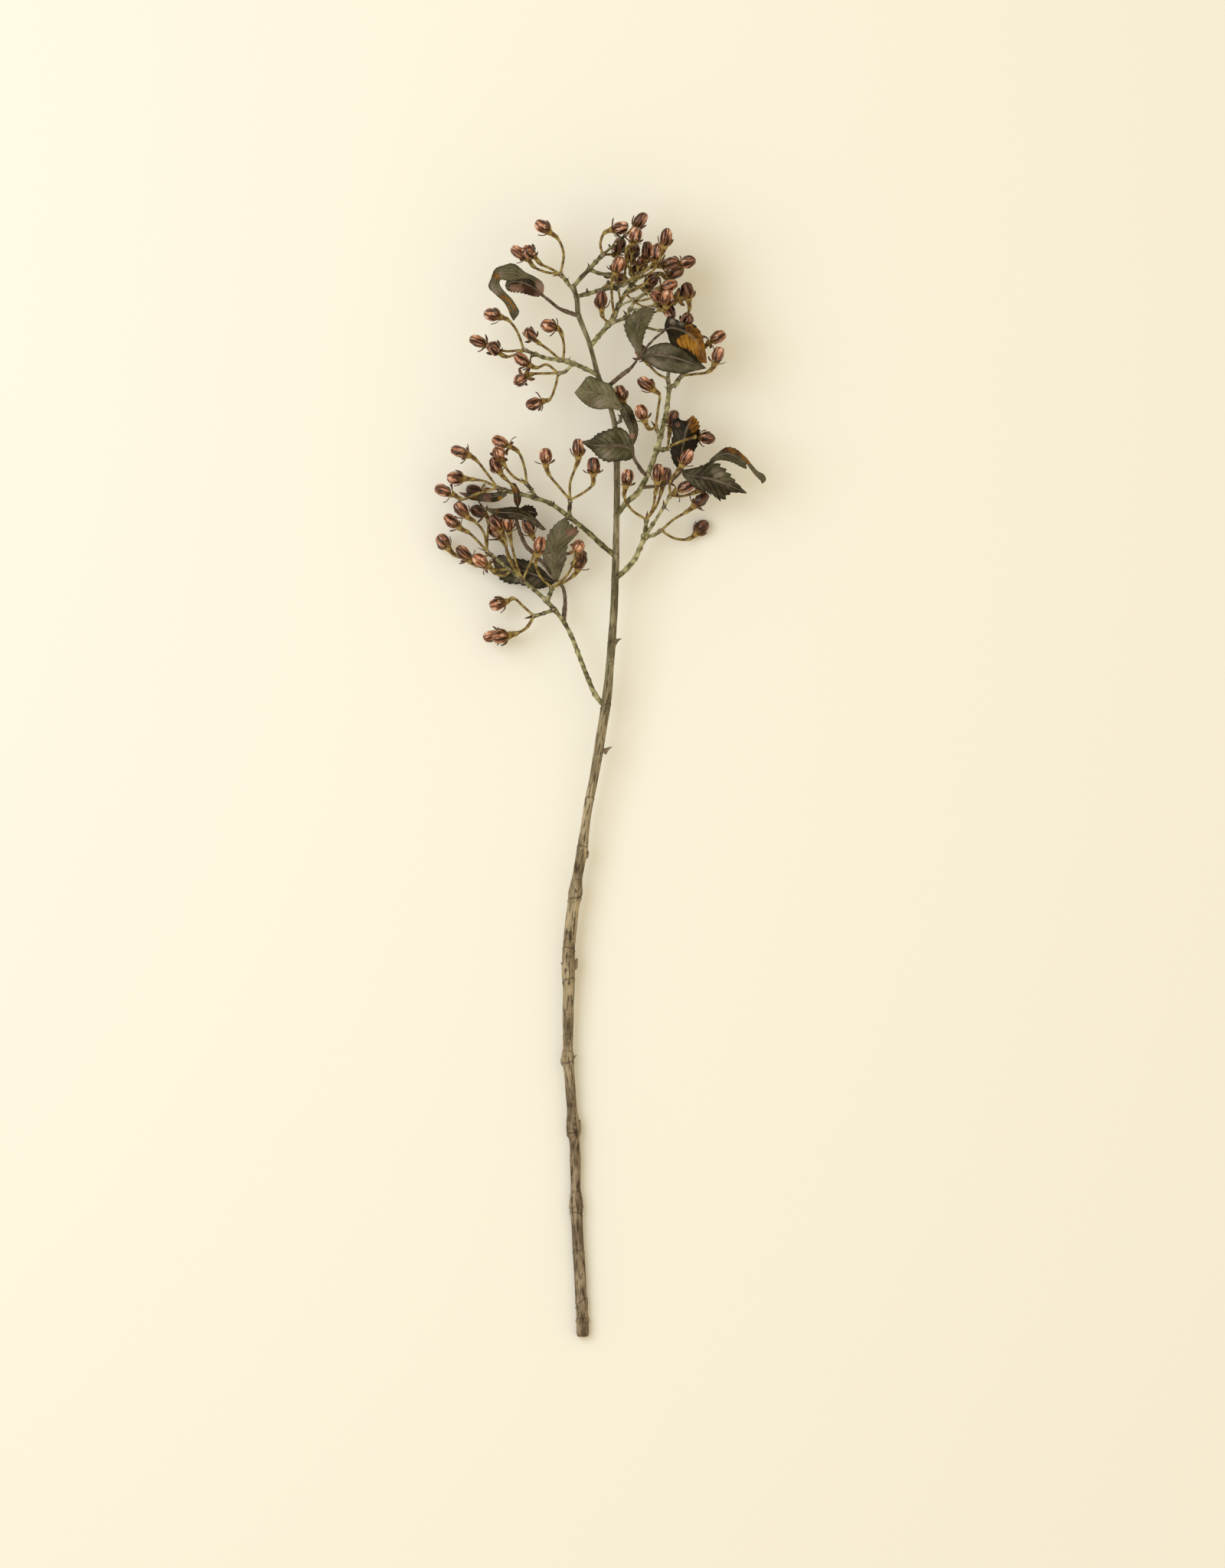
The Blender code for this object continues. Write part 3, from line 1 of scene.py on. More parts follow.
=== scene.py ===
# %% [markdown]
# # A hypericum berry stem
# A cut branch lies on a pale table: a woody stem, branched sprays of stalks with a red-brown
# berry at each end, and a few dried, toothed leaves. The plain solids of the branch are loaded
# first, and every step then models one kind of piece over them: bark, buds, twigs, berries,
# sepals, leaves. Places are in millimetres, x to the right, y up the stem, z above the table.

# %% The plain model and its box
import math

import bmesh
import bpy
from mathutils import Matrix, Vector, noise
from mathutils.geometry import interpolate_bezier


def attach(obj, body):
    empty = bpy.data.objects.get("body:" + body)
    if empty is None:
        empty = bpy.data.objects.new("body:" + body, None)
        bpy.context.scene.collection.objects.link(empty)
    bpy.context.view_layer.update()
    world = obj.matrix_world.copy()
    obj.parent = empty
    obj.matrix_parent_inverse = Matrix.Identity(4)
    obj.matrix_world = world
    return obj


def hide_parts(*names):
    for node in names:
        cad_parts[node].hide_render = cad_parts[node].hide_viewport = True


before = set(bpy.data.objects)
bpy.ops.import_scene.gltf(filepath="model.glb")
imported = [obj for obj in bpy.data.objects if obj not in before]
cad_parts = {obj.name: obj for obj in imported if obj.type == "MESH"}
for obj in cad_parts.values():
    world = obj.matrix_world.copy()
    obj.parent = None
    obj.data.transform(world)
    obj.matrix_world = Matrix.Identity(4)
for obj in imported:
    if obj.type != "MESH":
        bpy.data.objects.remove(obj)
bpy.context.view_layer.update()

# %% [markdown]
# ## The camera
# The picture was taken from straight above. A long lens from far away keeps what is raised from
# the table in its place, as on a product page. The picture's long side covers the whole stem,
# so the lens follows from its width on the table and the distance.

# %% The camera looks straight down
MM = 0.001
SHIFT = Vector((2.13, -0.38, 0.0))  # puts the middle of the whole stem over the origin
PICTURE_MIDDLE = Vector((5.96, -5.0, 0.0))
PICTURE_LENGTH = 979.3  # the long side of the picture, on the table
CAMERA_HEIGHT = 25000.0
SENSOR = 36.0
FARTHEST_SEEN = 100.0  # in metres


def place(point):
    """A listed point, in millimetres, as a place of the model, in metres."""
    return (Vector(point) + SHIFT) * MM


bpy.ops.object.camera_add(location=place(PICTURE_MIDDLE + Vector((0.0, 0.0, CAMERA_HEIGHT))))
camera = bpy.context.object
camera.data.sensor_width = SENSOR
camera.data.lens = SENSOR * CAMERA_HEIGHT / PICTURE_LENGTH
camera.data.clip_end = FARTHEST_SEEN
bpy.context.scene.camera = camera
bpy.context.scene.view_settings.view_transform = "Standard"  # keeps the pale table pale
print("lens:", round(camera.data.lens, 1), "mm")

# %% [markdown]
# ## The table and the light
# A big soft light at the left gives the shadows that fall to the right: tight beside the lower
# stem, which touches the table, and wide and faint under the raised head. A pale world fills
# the shadows, so that the dark leaves still show their folds.

# %% Colours and the table
TABLE_COLOUR = (0.97, 0.96, 0.922)
TABLE_SIZE = 60.0  # in metres, so that no view shows its end
TABLE_ROUGHNESS = 0.9


def eye(red, green, blue):
    """A colour as the eye reads it on a screen, as the linear value that a shader takes."""
    return tuple(((c + 0.055) / 1.055) ** 2.4 for c in (red, green, blue)) + (1.0,)


def deselect():
    bpy.ops.object.select_all(action="DESELECT")


deselect()
bpy.ops.mesh.primitive_plane_add(size=TABLE_SIZE)
table = bpy.context.object
table.name = "table"
table_paint = bpy.data.materials.new("table_paint")
table_paint.use_nodes = True
table_shader = table_paint.node_tree.nodes["Principled BSDF"]
table_shader.inputs["Base Color"].default_value = eye(*TABLE_COLOUR)
table_shader.inputs["Roughness"].default_value = TABLE_ROUGHNESS
table.data.materials.append(table_paint)
print("table:", table.name)

# %% Lights
KEY_LIGHT = {"place": (-1.35, 0.5, 1.95), "size": 1.9, "power": 30.5, "colour": (0.73, 0.82, 1.0)}
FILL_LIGHT = {"place": (1.2, -0.8, 2.2), "size": 2.5, "power": 4.0, "colour": (1.0, 1.0, 1.0)}
SKY_COLOUR = (1.0, 0.87, 0.6, 1.0)
SKY_STRENGTH = 0.76


def soft_light(name, plan):
    """A square light that faces the middle of the table and isn't seen itself."""
    facing = -Vector(plan["place"])
    bpy.ops.object.light_add(type="AREA", location=plan["place"])
    lamp = bpy.context.object
    lamp.name = name
    lamp.rotation_euler = facing.to_track_quat("-Z", "Y").to_euler()
    lamp.data.size = plan["size"]
    lamp.data.energy = plan["power"]
    lamp.data.color = plan["colour"]
    lamp.visible_camera = False
    return lamp


key_light = soft_light("key_light", KEY_LIGHT)
fill_light = soft_light("fill_light", FILL_LIGHT)
sky = bpy.data.worlds.new("sky")
bpy.context.scene.world = sky
sky.use_nodes = True
background = sky.node_tree.nodes["Background"]
background.inputs["Color"].default_value = SKY_COLOUR
background.inputs["Strength"].default_value = SKY_STRENGTH
print("lights:", key_light.name, fill_light.name)

# %% [markdown]
# ## The plan of the stem
# The stem is read from above as a list of places with its width there. It swells at every
# joint, where a leaf or a side twig once grew. How high it lies follows a power of the way
# along: its butt lies flat and its forked top is raised by the sprays that it rests on.

# %% The stem's places, widths and height
STEM_SPAN = (-350.0, 300.0)  # from the butt to the top fork
BUTT_HEIGHT = 3.55  # the stem's middle above the table, at the butt
STEM_RISE = 34.5  # how much higher its middle is at the top fork
RISE_POWER = 1.7


def stem_height(y):
    """How high the stem's middle is above the table, at a place along it."""
    along = (y - STEM_SPAN[0]) / (STEM_SPAN[1] - STEM_SPAN[0])
    return BUTT_HEIGHT + STEM_RISE * max(along, 0.0) ** RISE_POWER


# The stem's middle and its width, from the butt up: x, y, width
STEM = [
    (-12.7, -350, 6.6), (-12.7, -348.5, 7.7), (-12.8, -342, 7.8), (-12.8, -340, 8.6),
    (-13, -337.5, 7.7), (-13.3, -331, 7.6), (-13.4, -329, 8), (-13.7, -325, 7.3),
    (-14.3, -310, 7.2), (-15.2, -297.5, 7.3), (-16.1, -280, 6.9), (-16.5, -274, 7.4),
    (-16.7, -269, 8.6), (-16.8, -264, 8), (-17, -259, 6.5), (-17.2, -240, 6.8),
    (-17.9, -226, 7), (-18.2, -224, 8.4), (-18.4, -221, 7.2), (-18.8, -217, 8),
    (-19.2, -210, 6.5), (-20.3, -195, 6.5), (-21.5, -181, 6.9), (-22, -177, 8.2),
    (-21.9, -171, 6.6), (-21.7, -150, 6.7), (-21.4, -133, 7.2), (-21.6, -124, 8.4),
    (-21.5, -114, 8.2), (-21.1, -105, 7.7), (-19.7, -90, 7.7), (-18.2, -78.5, 7.6),
    (-17.3, -73, 8.7), (-16.3, -65, 6.8), (-14.6, -55, 6.8), (-12.8, -46, 7.2),
    (-11.6, -36, 5.9), (-8.4, -15, 5.7), (-5.3, 0, 5.7), (-2.6, 16, 6),
    (0.3, 35, 6), (2.2, 47, 5.8), (4, 65, 5.3), (5.4, 84, 5), (7, 106, 4.8),
    (7.8, 128, 4.6), (8.2, 146, 4.1), (8.5, 168, 3.9), (8.7, 190, 3.8), (8.7, 197, 4),
    (8.4, 208, 3.4), (7.1, 220, 3.3), (4.5, 230, 3.1), (0.3, 242, 3.2), (-2.8, 249, 3.2),
    (-5.7, 260, 3), (-9.2, 272, 3), (-12.3, 280, 3.1), (-15.3, 288, 3.2),
    (-16.2, 297, 3), (-17.6, 302, 3.1), (-19.5, 306.5, 4.4),
]

# Buds, thorns and the stub of a cut twig: root x, y, tip x, y, width at the root and at the tip
STEM_BUDS = [
    (-18, -272, -21, -267, 4, 1),
    (-20.5, -226, -22.6, -215.5, 3.2, 1),
    (-15.5, -224, -14.6, -214, 3.2, 1),
    (-24, -181, -26.2, -175.5, 3.4, 1),
    (-19.5, -177.5, -17, -173.5, 2.2, 0.6),
    (-22, -124, -26.6, -108.5, 4.2, 3.2),
    (-18, -121, -16.4, -113.5, 3.6, 1),
    (-17, -76, -20.8, -68, 3.4, 1),
    (-10.8, -51.5, -9.3, -46.5, 2.8, 1),
    (0, 14.5, 4.5, 19.5, 4.4, 0.7),
    (6.6, 83, 10.6, 87, 4, 0.7),
]

# Rings of old joints: where on the stem, how far they lean, how far they stand out
STEM_RINGS = [
    (-340, 0, 0.25), (-329.3, 0.7, 0.5), (-297.5, 0, 0.18), (-274, -0.2, 0.3),
    (-270, 0.3, 0.25), (-261, 0.1, 0.2), (-224, 0.1, 0.4), (-222, -0.2, 0.15),
    (-180, 0.2, 0.3), (-173, -0.15, 0.3), (-162.5, 0, 0.2), (-150, 0, 0.12),
    (-128, 0.3, 0.3), (-108.5, -0.2, 0.3), (-103, 0, 0.2), (-77.5, 0.1, 0.4),
    (-66, 0, 0.15), (-45, -0.3, 0.3), (-14.5, 0, 0.3), (12.5, 0.2, 0.15), (43.5, 0.4, 0.25),
    (70, 0.1, 0.2), (82.5, -0.2, 0.15), (123.5, 0.3, 0.2), (137.5, -0.3, 0.2), (163, 0.2, 0.2),
    (196, 0, 0.2), (220.5, 0.2, 0.15), (241, 0.2, 0.2), (250.5, -0.2, 0.2),
    (269.5, 0.3, 0.2), (287.5, 0, 0.2), (299.5, 0.2, 0.3),
]

# Dark scars and a knot hole on the stem, as seen from above: x, y, radius
STEM_SCARS = [
    (-19.3, -270, 1), (-13.5, -313.5, 0.8), (-17.5, -217.5, 1.1), (-23.5, -175, 0.9),
    (-22, -179.5, 0.8), (-23, -121, 1), (-23, -127, 0.8), (-16.5, -72, 1),
    (-9.6, -48, 0.8), (-15.9, -267, 0.7), (-20.5, -113, 0.8),
]
print("stem places:", len(STEM), "buds:", len(STEM_BUDS), "rings:", len(STEM_RINGS))

# %% [markdown]
# ## Tubes that grow
# The stem, the twigs and the stalks are all round and long. With the curve tool each one is a
# path through a few places with a round bevel, and every point of it has its own thickness.
# That is quick to shape, and it turns and tapers as grown wood does. The path is first
# read from a smooth curve, since straight runs between the places would look like bent wire.

# %% Smooth routes
def through(points, counts):
    """Points of a smooth curve through the given ones, with so many steps in each gap."""
    points = [Vector(point) for point in points]
    runs = [(b - a).normalized() for a, b in zip(points, points[1:])]
    turns = [(a + b).normalized() for a, b in zip(runs, runs[1:])]
    ways = [runs[0]] + turns + [runs[-1]]
    route = [points[0]]
    for i, (a, b) in enumerate(zip(points, points[1:])):
        reach = (b - a).length / 3.0
        handles = (a + ways[i] * reach, b - ways[i + 1] * reach)
        route += interpolate_bezier(a, *handles, b, counts[i] + 1)[1:]
    return route


def smooth(points, step):
    """The smooth curve through the points with a point about every step."""
    points = [Vector(point) for point in points]
    gaps = [(b - a).length for a, b in zip(points, points[1:])]
    return through(points, [max(round(gap / step), 1) for gap in gaps])


def distances(route):
    """How far along the route each of its points is."""
    far = [0.0]
    for a, b in zip(route, route[1:]):
        far.append(far[-1] + (b - a).length)
    return far


def profile(stops, where):
    """A value that eases from one stop to the next; a stop is a place and its value."""
    for (low, first), (high, last) in zip(stops, stops[1:]):
        if where <= high:
            share = min(max((where - low) / max(high - low, 1e-6), 0.0), 1.0)
            share = share * share * (3.0 - 2.0 * share)
            return first + (last - first) * share
    return stops[-1][1]


STEM_STEP = 0.6  # how far apart the points of the stem's route are
print("a route of", len(smooth(STEM, STEM_STEP)), "points runs up the stem")

# %% Drawing tubes and closing their seams
SAME_PLACE = 1e-6  # points nearer than this are merged


def in_edit_mode():
    bpy.ops.object.mode_set(mode="EDIT")
    bpy.ops.mesh.select_mode(type="VERT")
    bpy.ops.mesh.select_all(action="SELECT")


def in_object_mode():
    bpy.ops.object.mode_set(mode="OBJECT")


def only(piece):
    """Makes the piece the one that is selected and active."""
    deselect()
    piece.select_set(True)
    bpy.context.view_layer.objects.active = piece


def tidy_mesh(piece):
    """Merges what lies in one place and turns all faces outwards."""
    only(piece)
    in_edit_mode()
    bpy.ops.mesh.remove_doubles(threshold=SAME_PLACE)
    bpy.ops.mesh.normals_make_consistent(inside=False)
    in_object_mode()


def draw_tubes(name, tubes, sides):
    """Draws closed round tubes, each along its route with its widths, and makes them a mesh."""
    deselect()
    bpy.ops.curve.primitive_nurbs_path_add()
    piece = bpy.context.object
    piece.name = name
    curve = piece.data
    curve.splines.clear()
    for route, widths in tubes:
        spline = curve.splines.new("POLY")
        spline.points.add(len(route) - 1)
        for dot, point, width in zip(spline.points, route, widths):
            dot.co = (*place(point), 1.0)
            dot.radius = width
    curve.twist_mode = "Z_UP"
    curve.bevel_depth = MM / 2.0
    curve.bevel_resolution = sides // 2 - 2
    curve.use_fill_caps = True
    bpy.ops.object.convert(target="MESH")
    tidy_mesh(piece)
    return piece


def join(name, pieces):
    """Joins the pieces into one mesh, with its place in the mesh."""
    deselect()
    for piece in pieces:
        piece.select_set(True)
    bpy.context.view_layer.objects.active = pieces[0]
    if len(pieces) > 1:
        bpy.ops.object.join()
    joined = bpy.context.object
    bpy.ops.object.transform_apply(location=True, rotation=True, scale=True)
    joined.name = name
    joined.data.name = name
    return joined


def mark(piece, name, values):
    """Keeps a value from 0 to 1 at every point of the mesh, for a material to read."""
    layer = piece.data.attributes.get(name) or piece.data.attributes.new(name, "FLOAT", "POINT")
    layer.data.foreach_set("value", values)


def flat_marks(piece, **values):
    """Keeps each named value, the same at every point of the mesh."""
    for name, value in values.items():
        mark(piece, name, [value] * len(piece.data.vertices))


def stand_in(piece, node):
    """Hangs the piece under the root and hides the plain solid that it takes the place of."""
    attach(piece, "root")
    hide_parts(node)
    print(piece.name, "has", len(piece.data.polygons), "faces")


def dress(piece, node, paint):
    """Gives the piece its paint and puts it in the place of its plain solid."""
    piece.data.materials.clear()
    piece.data.materials.append(paint)
    stand_in(piece, node)


print("tubes are ready to draw")

# %% [markdown]
# ## Paints
# Every material starts from the shader's own colour input, fed by a few noises and by values
# that the mesh carries: how near a joint or a seam is, how dry a leaf is. Patterns are read
# from the object's own coordinates or its UV map, so they stay on it from any side. The
# colours are named as the eye reads them and turned to the linear values that a shader takes.

# %% Helpers for node trees
def new_paint(name, roughness, gloss=0.25):
    paint = bpy.data.materials.new(name)
    paint.use_nodes = True
    shader = paint.node_tree.nodes["Principled BSDF"]
    shader.inputs["Roughness"].default_value = roughness
    shader.inputs["Specular IOR Level"].default_value = gloss
    return paint, paint.node_tree, shader


def read(tree, name):
    """The value that the mesh carries under this name."""
    node = tree.nodes.new("ShaderNodeAttribute")
    node.attribute_name = name
    return node.outputs["Fac"]


def speckle(tree, scale, stretch=(1.0, 1.0, 1.0), detail=4.0, source="Object"):
    """Noise over the object's coordinates, in cells to a metre, or over its UV map."""
    coordinates = tree.nodes.new("ShaderNodeTexCoord")
    mapping = tree.nodes.new("ShaderNodeMapping")
    mapping.inputs["Scale"].default_value = stretch
    node = tree.nodes.new("ShaderNodeTexNoise")
    node.inputs["Scale"].default_value = scale
    node.inputs["Detail"].default_value = detail
    tree.links.new(coordinates.outputs[source], mapping.inputs["Vector"])
    tree.links.new(mapping.outputs["Vector"], node.inputs["Vector"])
    return node.outputs["Fac"]


def streaks_on(tree, u_cells, v_cells, detail):
    """Noise that follows the piece's UV map, with so many cells along each of its two ways."""
    return speckle(tree, 1.0, (u_cells, v_cells, 1.0), detail, "UV")


def ramp(tree, factor, stops):
    """Colours along a factor; a stop is a place from 0 to 1 and a colour for the eye."""
    node = tree.nodes.new("ShaderNodeValToRGB")
    row = node.color_ramp.elements
    for i, (where, colour) in enumerate(stops):
        stop = row[i] if i < 2 else row.new(where)
        stop.position = where
        stop.color = eye(*colour)
    tree.links.new(factor, node.inputs["Fac"])
    return node.outputs["Color"]


def window(tree, factor, low, high, most=1.0):
    """A factor that rises from 0 to its most as the given one goes from low to high."""
    node = tree.nodes.new("ShaderNodeMapRange")
    node.inputs["From Min"].default_value = low
    node.inputs["From Max"].default_value = high
    node.inputs["To Max"].default_value = most
    tree.links.new(factor, node.inputs["Value"])
    return node.outputs["Result"]


def combine(tree, operation, first, second):
    """Two factors, multiplied or added."""
    node = tree.nodes.new("ShaderNodeMath")
    node.operation = operation
    tree.links.new(first, node.inputs[0])
    tree.links.new(second, node.inputs[1])
    return node.outputs["Value"]


def blend(tree, factor, under, over):
    """The under colour, with the over colour laid on it as strongly as the factor says."""
    node = tree.nodes.new("ShaderNodeMix")
    node.data_type = "RGBA"
    tree.links.new(factor, node.inputs["Factor"])
    for socket, colour in (("A", under), ("B", over)):
        inlet = next(s for s in node.inputs if s.name == socket and s.type == "RGBA")
        if isinstance(colour, tuple):
            inlet.default_value = eye(*colour)
        else:
            tree.links.new(colour, inlet)
    return next(s for s in node.outputs if s.type == "RGBA")


def roughen(tree, shader, height, depth):
    """Lets the shader see small bumps, as deep as told in metres."""
    node = tree.nodes.new("ShaderNodeBump")
    node.inputs["Strength"].default_value = 1.0
    node.inputs["Distance"].default_value = depth
    tree.links.new(height, node.inputs["Height"])
    tree.links.new(node.outputs["Normal"], shader.inputs["Normal"])


def set_colour(tree, shader, colour):
    tree.links.new(colour, shader.inputs["Base Color"])


print("node helpers are ready")

# %% [markdown]
# ## Bark paint
# The stem is brown-grey near its cut end, paler in its middle and more olive near its head.
# Fine darker lines run lengthwise in the bark, pale specks are scattered over it, and its
# joints are dark. The lines follow the tube's own UV map, which runs along and around it. How
# far up the stem a point lies mixes the three greys, so no picture is needed.

# %% Bark
BARK_LOWER = [(0.36, (0.36, 0.305, 0.225)), (0.5, (0.49, 0.425, 0.335)), (0.62, (0.62, 0.55, 0.45))]
BARK_PALE = [(0.36, (0.50, 0.44, 0.33)), (0.62, (0.76, 0.69, 0.56))]
BARK_UPPER = [(0.36, (0.34, 0.31, 0.21)), (0.5, (0.455, 0.42, 0.31)), (0.62, (0.58, 0.54, 0.42))]
BARK_LINE = (0.20, 0.155, 0.095)
BARK_SPECK = (0.74, 0.68, 0.56)
BARK_JOINT = (0.13, 0.09, 0.055)


def bark_paint():
    paint, tree, shader = new_paint("bark_paint", roughness=0.72)
    patches = speckle(tree, 160.0, stretch=(1.0, 0.25, 1.0))
    lower = ramp(tree, patches, BARK_LOWER)
    upper = ramp(tree, patches, BARK_UPPER)
    colour = blend(tree, read(tree, "upper"), lower, upper)
    pale = window(tree, read(tree, "pale"), 0.0, 1.0, most=0.6)
    colour = blend(tree, pale, colour, ramp(tree, patches, BARK_PALE))
    grain = streaks_on(tree, 80.0, 15.0, detail=6.0)
    colour = blend(tree, window(tree, grain, 0.5, 0.62, most=0.85), colour, BARK_LINE)
    specks = speckle(tree, 900.0, stretch=(1.0, 0.5, 1.0), detail=2.0)
    colour = blend(tree, window(tree, specks, 0.66, 0.72, most=0.7), colour, BARK_SPECK)
    colour = blend(tree, window(tree, read(tree, "joint"), 0.15, 1.0, most=0.85), colour, BARK_JOINT)
    set_colour(tree, shader, colour)
    roughen(tree, shader, grain, depth=0.0004)
    return paint


BARK_PAINT = bark_paint()
print(BARK_PAINT.name)

# %% [markdown]
# ## Twig paint
# One paint serves branches, stalks and bracts. The branches are grey-olive with pale, worn
# joints, and darker in some sprays: partly their own bark, partly painted shade among the berries
# and leaves. The thin stalks are ochre with streaks of a red-brown flush, partly their own colour
# and partly painted shade of their shaded sides, and the small pointed bracts are dark brown.
# The mesh says where each of them is.

# %% Twigs
BRANCH = [(0.36, (0.33, 0.31, 0.19)), (0.5, (0.54, 0.515, 0.355)), (0.64, (0.75, 0.72, 0.54))]
BRANCH_DARK_AND_SHADED = [(0.36, (0.16, 0.13, 0.065)), (0.5, (0.36, 0.33, 0.19)), (0.64, (0.56, 0.53, 0.34))]
STALK = [(0.4, (0.33, 0.20, 0.115)), (0.47, (0.47, 0.385, 0.195)), (0.62, (0.68, 0.605, 0.35))]
KNUCKLE = [(0.42, (0.30, 0.20, 0.13)), (0.56, (0.69, 0.63, 0.51))]
KNUCKLE_RING = (0.17, 0.11, 0.07)
BRACT = [(0.36, (0.17, 0.105, 0.06)), (0.64, (0.42, 0.27, 0.13))]


def twig_paint():
    paint, tree, shader = new_paint("twig_paint", roughness=0.6)
    patches = speckle(tree, 260.0)
    branch = ramp(tree, patches, BRANCH)
    # Partly painted shade: a spray's dark value darkens its branches.
    branch = blend(tree, read(tree, "dark"), branch, ramp(tree, patches, BRANCH_DARK_AND_SHADED))
    # Stalk streaks: partly their own red-brown flush, partly painted shade of their shaded sides.
    stalk = ramp(tree, streaks_on(tree, 6.0, 2.4, detail=3.0), STALK)
    knuckle = ramp(tree, speckle(tree, 700.0), KNUCKLE)
    bract = ramp(tree, patches, BRACT)
    colour = blend(tree, read(tree, "stalk"), branch, stalk)
    uneven = window(tree, speckle(tree, 500.0), 0.3, 0.7, most=0.3)
    near = combine(tree, "ADD", read(tree, "joint"), uneven)
    colour = blend(tree, window(tree, near, 0.3, 0.5, most=0.6), colour, KNUCKLE_RING)
    colour = blend(tree, window(tree, near, 0.5, 0.7, most=0.9), colour, knuckle)
    colour = blend(tree, read(tree, "bract"), colour, bract)
    set_colour(tree, shader, colour)
    roughen(tree, shader, speckle(tree, 900.0, detail=5.0), depth=0.00025)
    return paint


TWIG_PAINT = twig_paint()
print(TWIG_PAINT.name)

# %% [markdown]
# ## Berry paint
# A berry has a thin satin skin: pink-brown along the middle of each lobe and nearly black-red
# in the seams between them, partly its own colour and partly painted shade in the seams and a
# painted highlight on the ridges. Streaks of dark and pale skin run from base to tip, so their
# noise follows the berry's UV map, and small pale patches on the ridges are painted highlights.
# Its foot has turned yellowish in patches. Berries differ, so each carries a tone, from dark and
# ripe to pale orange-pink; without a tone of their own, low berries get darker as painted shade.

# %% Berries
# Seam to ridge: the skin's own red-brown, with painted shade in the seams and a painted highlight on the
# ridges.
BERRY_SKIN_SEAM_SHADE_RIDGE_LIGHT = [
    (0.0, (0.02, 0.007, 0.005)), (0.34, (0.10, 0.036, 0.022)), (0.62, (0.285, 0.146, 0.098)),
    (0.95, (0.80, 0.545, 0.41)),
]
BERRY_DARK = (0.13, 0.055, 0.035)
BERRY_PALE = (0.74, 0.48, 0.32)
BERRY_PAINTED_HIGHLIGHT = (0.97, 0.84, 0.74)
BERRY_GLOSS_TINT = (1.0, 0.74, 0.58, 1.0)
BERRY_YELLOW = (0.60, 0.47, 0.24)
BERRY_COAT = 0.12
BERRY_COAT_ROUGHNESS = 0.16


def berry_paint():
    paint, tree, shader = new_paint("berry_paint", roughness=0.3, gloss=0.45)
    shader.inputs["Specular Tint"].default_value = BERRY_GLOSS_TINT
    streaks = window(tree, streaks_on(tree, 18.0, 2.2, detail=3.0), 0.38, 0.62, most=0.6)
    lobe = combine(tree, "ADD", window(tree, read(tree, "lobe"), 0.08, 0.65, most=0.4), streaks)
    tone = read(tree, "tone")
    # This ramp gives the seams painted shade and the ridges a painted highlight.
    colour = ramp(tree, lobe, BERRY_SKIN_SEAM_SHADE_RIDGE_LIGHT)
    colour = blend(tree, window(tree, tone, 0.45, 0.0, most=0.7), colour, BERRY_DARK)
    pale = window(tree, tone, 0.55, 1.0, most=0.75)
    pale = combine(tree, "MULTIPLY", pale, window(tree, lobe, 0.3, 0.85))
    colour = blend(tree, pale, colour, BERRY_PALE)
    patches = speckle(tree, 210.0, detail=3.0)
    colour = blend(tree, window(tree, patches, 0.42, 0.32, most=0.5), colour, BERRY_DARK)
    # Painted highlight: pale patches along the lobe ridges stand in for the berry's gloss.
    painted_highlight = window(tree, streaks_on(tree, 11.0, 3.4, detail=2.0), 0.53, 0.61, most=0.95)
    painted_highlight = combine(tree, "MULTIPLY", painted_highlight, window(tree, lobe, 0.6, 0.95))
    painted_highlight = combine(tree, "MULTIPLY", painted_highlight, window(tree, tone, 0.1, 0.5))
    colour = blend(tree, painted_highlight, colour, BERRY_PAINTED_HIGHLIGHT)
    foot = combine(tree, "MULTIPLY", read(tree, "foot"), window(tree, patches, 0.42, 0.56, most=0.85))
    colour = blend(tree, foot, colour, BERRY_YELLOW)
    set_colour(tree, shader, colour)
    shader.inputs["Coat Weight"].default_value = BERRY_COAT
    shader.inputs["Coat Roughness"].default_value = BERRY_COAT_ROUGHNESS
    roughen(tree, shader, speckle(tree, 1500.0), depth=0.0001)
    return paint


BERRY_PAINT = berry_paint()
print(BERRY_PAINT.name)

# %% [markdown]
# ## Sepal paint
# Under each berry five dried sepals curl away from it. They are ochre where they leave the
# stalk and dark grey-brown at their tips.

# %% Sepals
SEPAL = [
    (0.0, (0.60, 0.50, 0.27)), (0.45, (0.54, 0.41, 0.23)), (0.8, (0.42, 0.28, 0.17)),
    (1.0, (0.25, 0.16, 0.10)),
]
SEPAL_SHADE = (0.30, 0.17, 0.10)


def sepal_paint():
    paint, tree, shader = new_paint("sepal_paint", roughness=0.62)
    colour = ramp(tree, read(tree, "tip"), SEPAL)
    colour = blend(tree, window(tree, speckle(tree, 420.0), 0.5, 0.7, most=0.6), colour, SEPAL_SHADE)
    set_colour(tree, shader, colour)
    roughen(tree, shader, speckle(tree, 1400.0), depth=0.00015)
    return paint


SEPAL_PAINT = sepal_paint()
print(SEPAL_PAINT.name)

# %% [markdown]
# ## Leaf paints
# The leaves have dried unevenly. Their upper sides are dark olive, lighter on the bulges between
# the veins as a painted highlight, with a painted pale grey sheen on the bulges and darker vein
# lines, partly their own colour and partly painted shade in the pressed-in valleys. A few ends
# have turned ochre and orange, and folded parts show a red-brown inside. Each leaflet's mesh
# carries the sheen, the ochre and the folds as soft spots, and noise breaks up their edges. The
# undersides get a paint of their own, duller and browner, with paler veins.

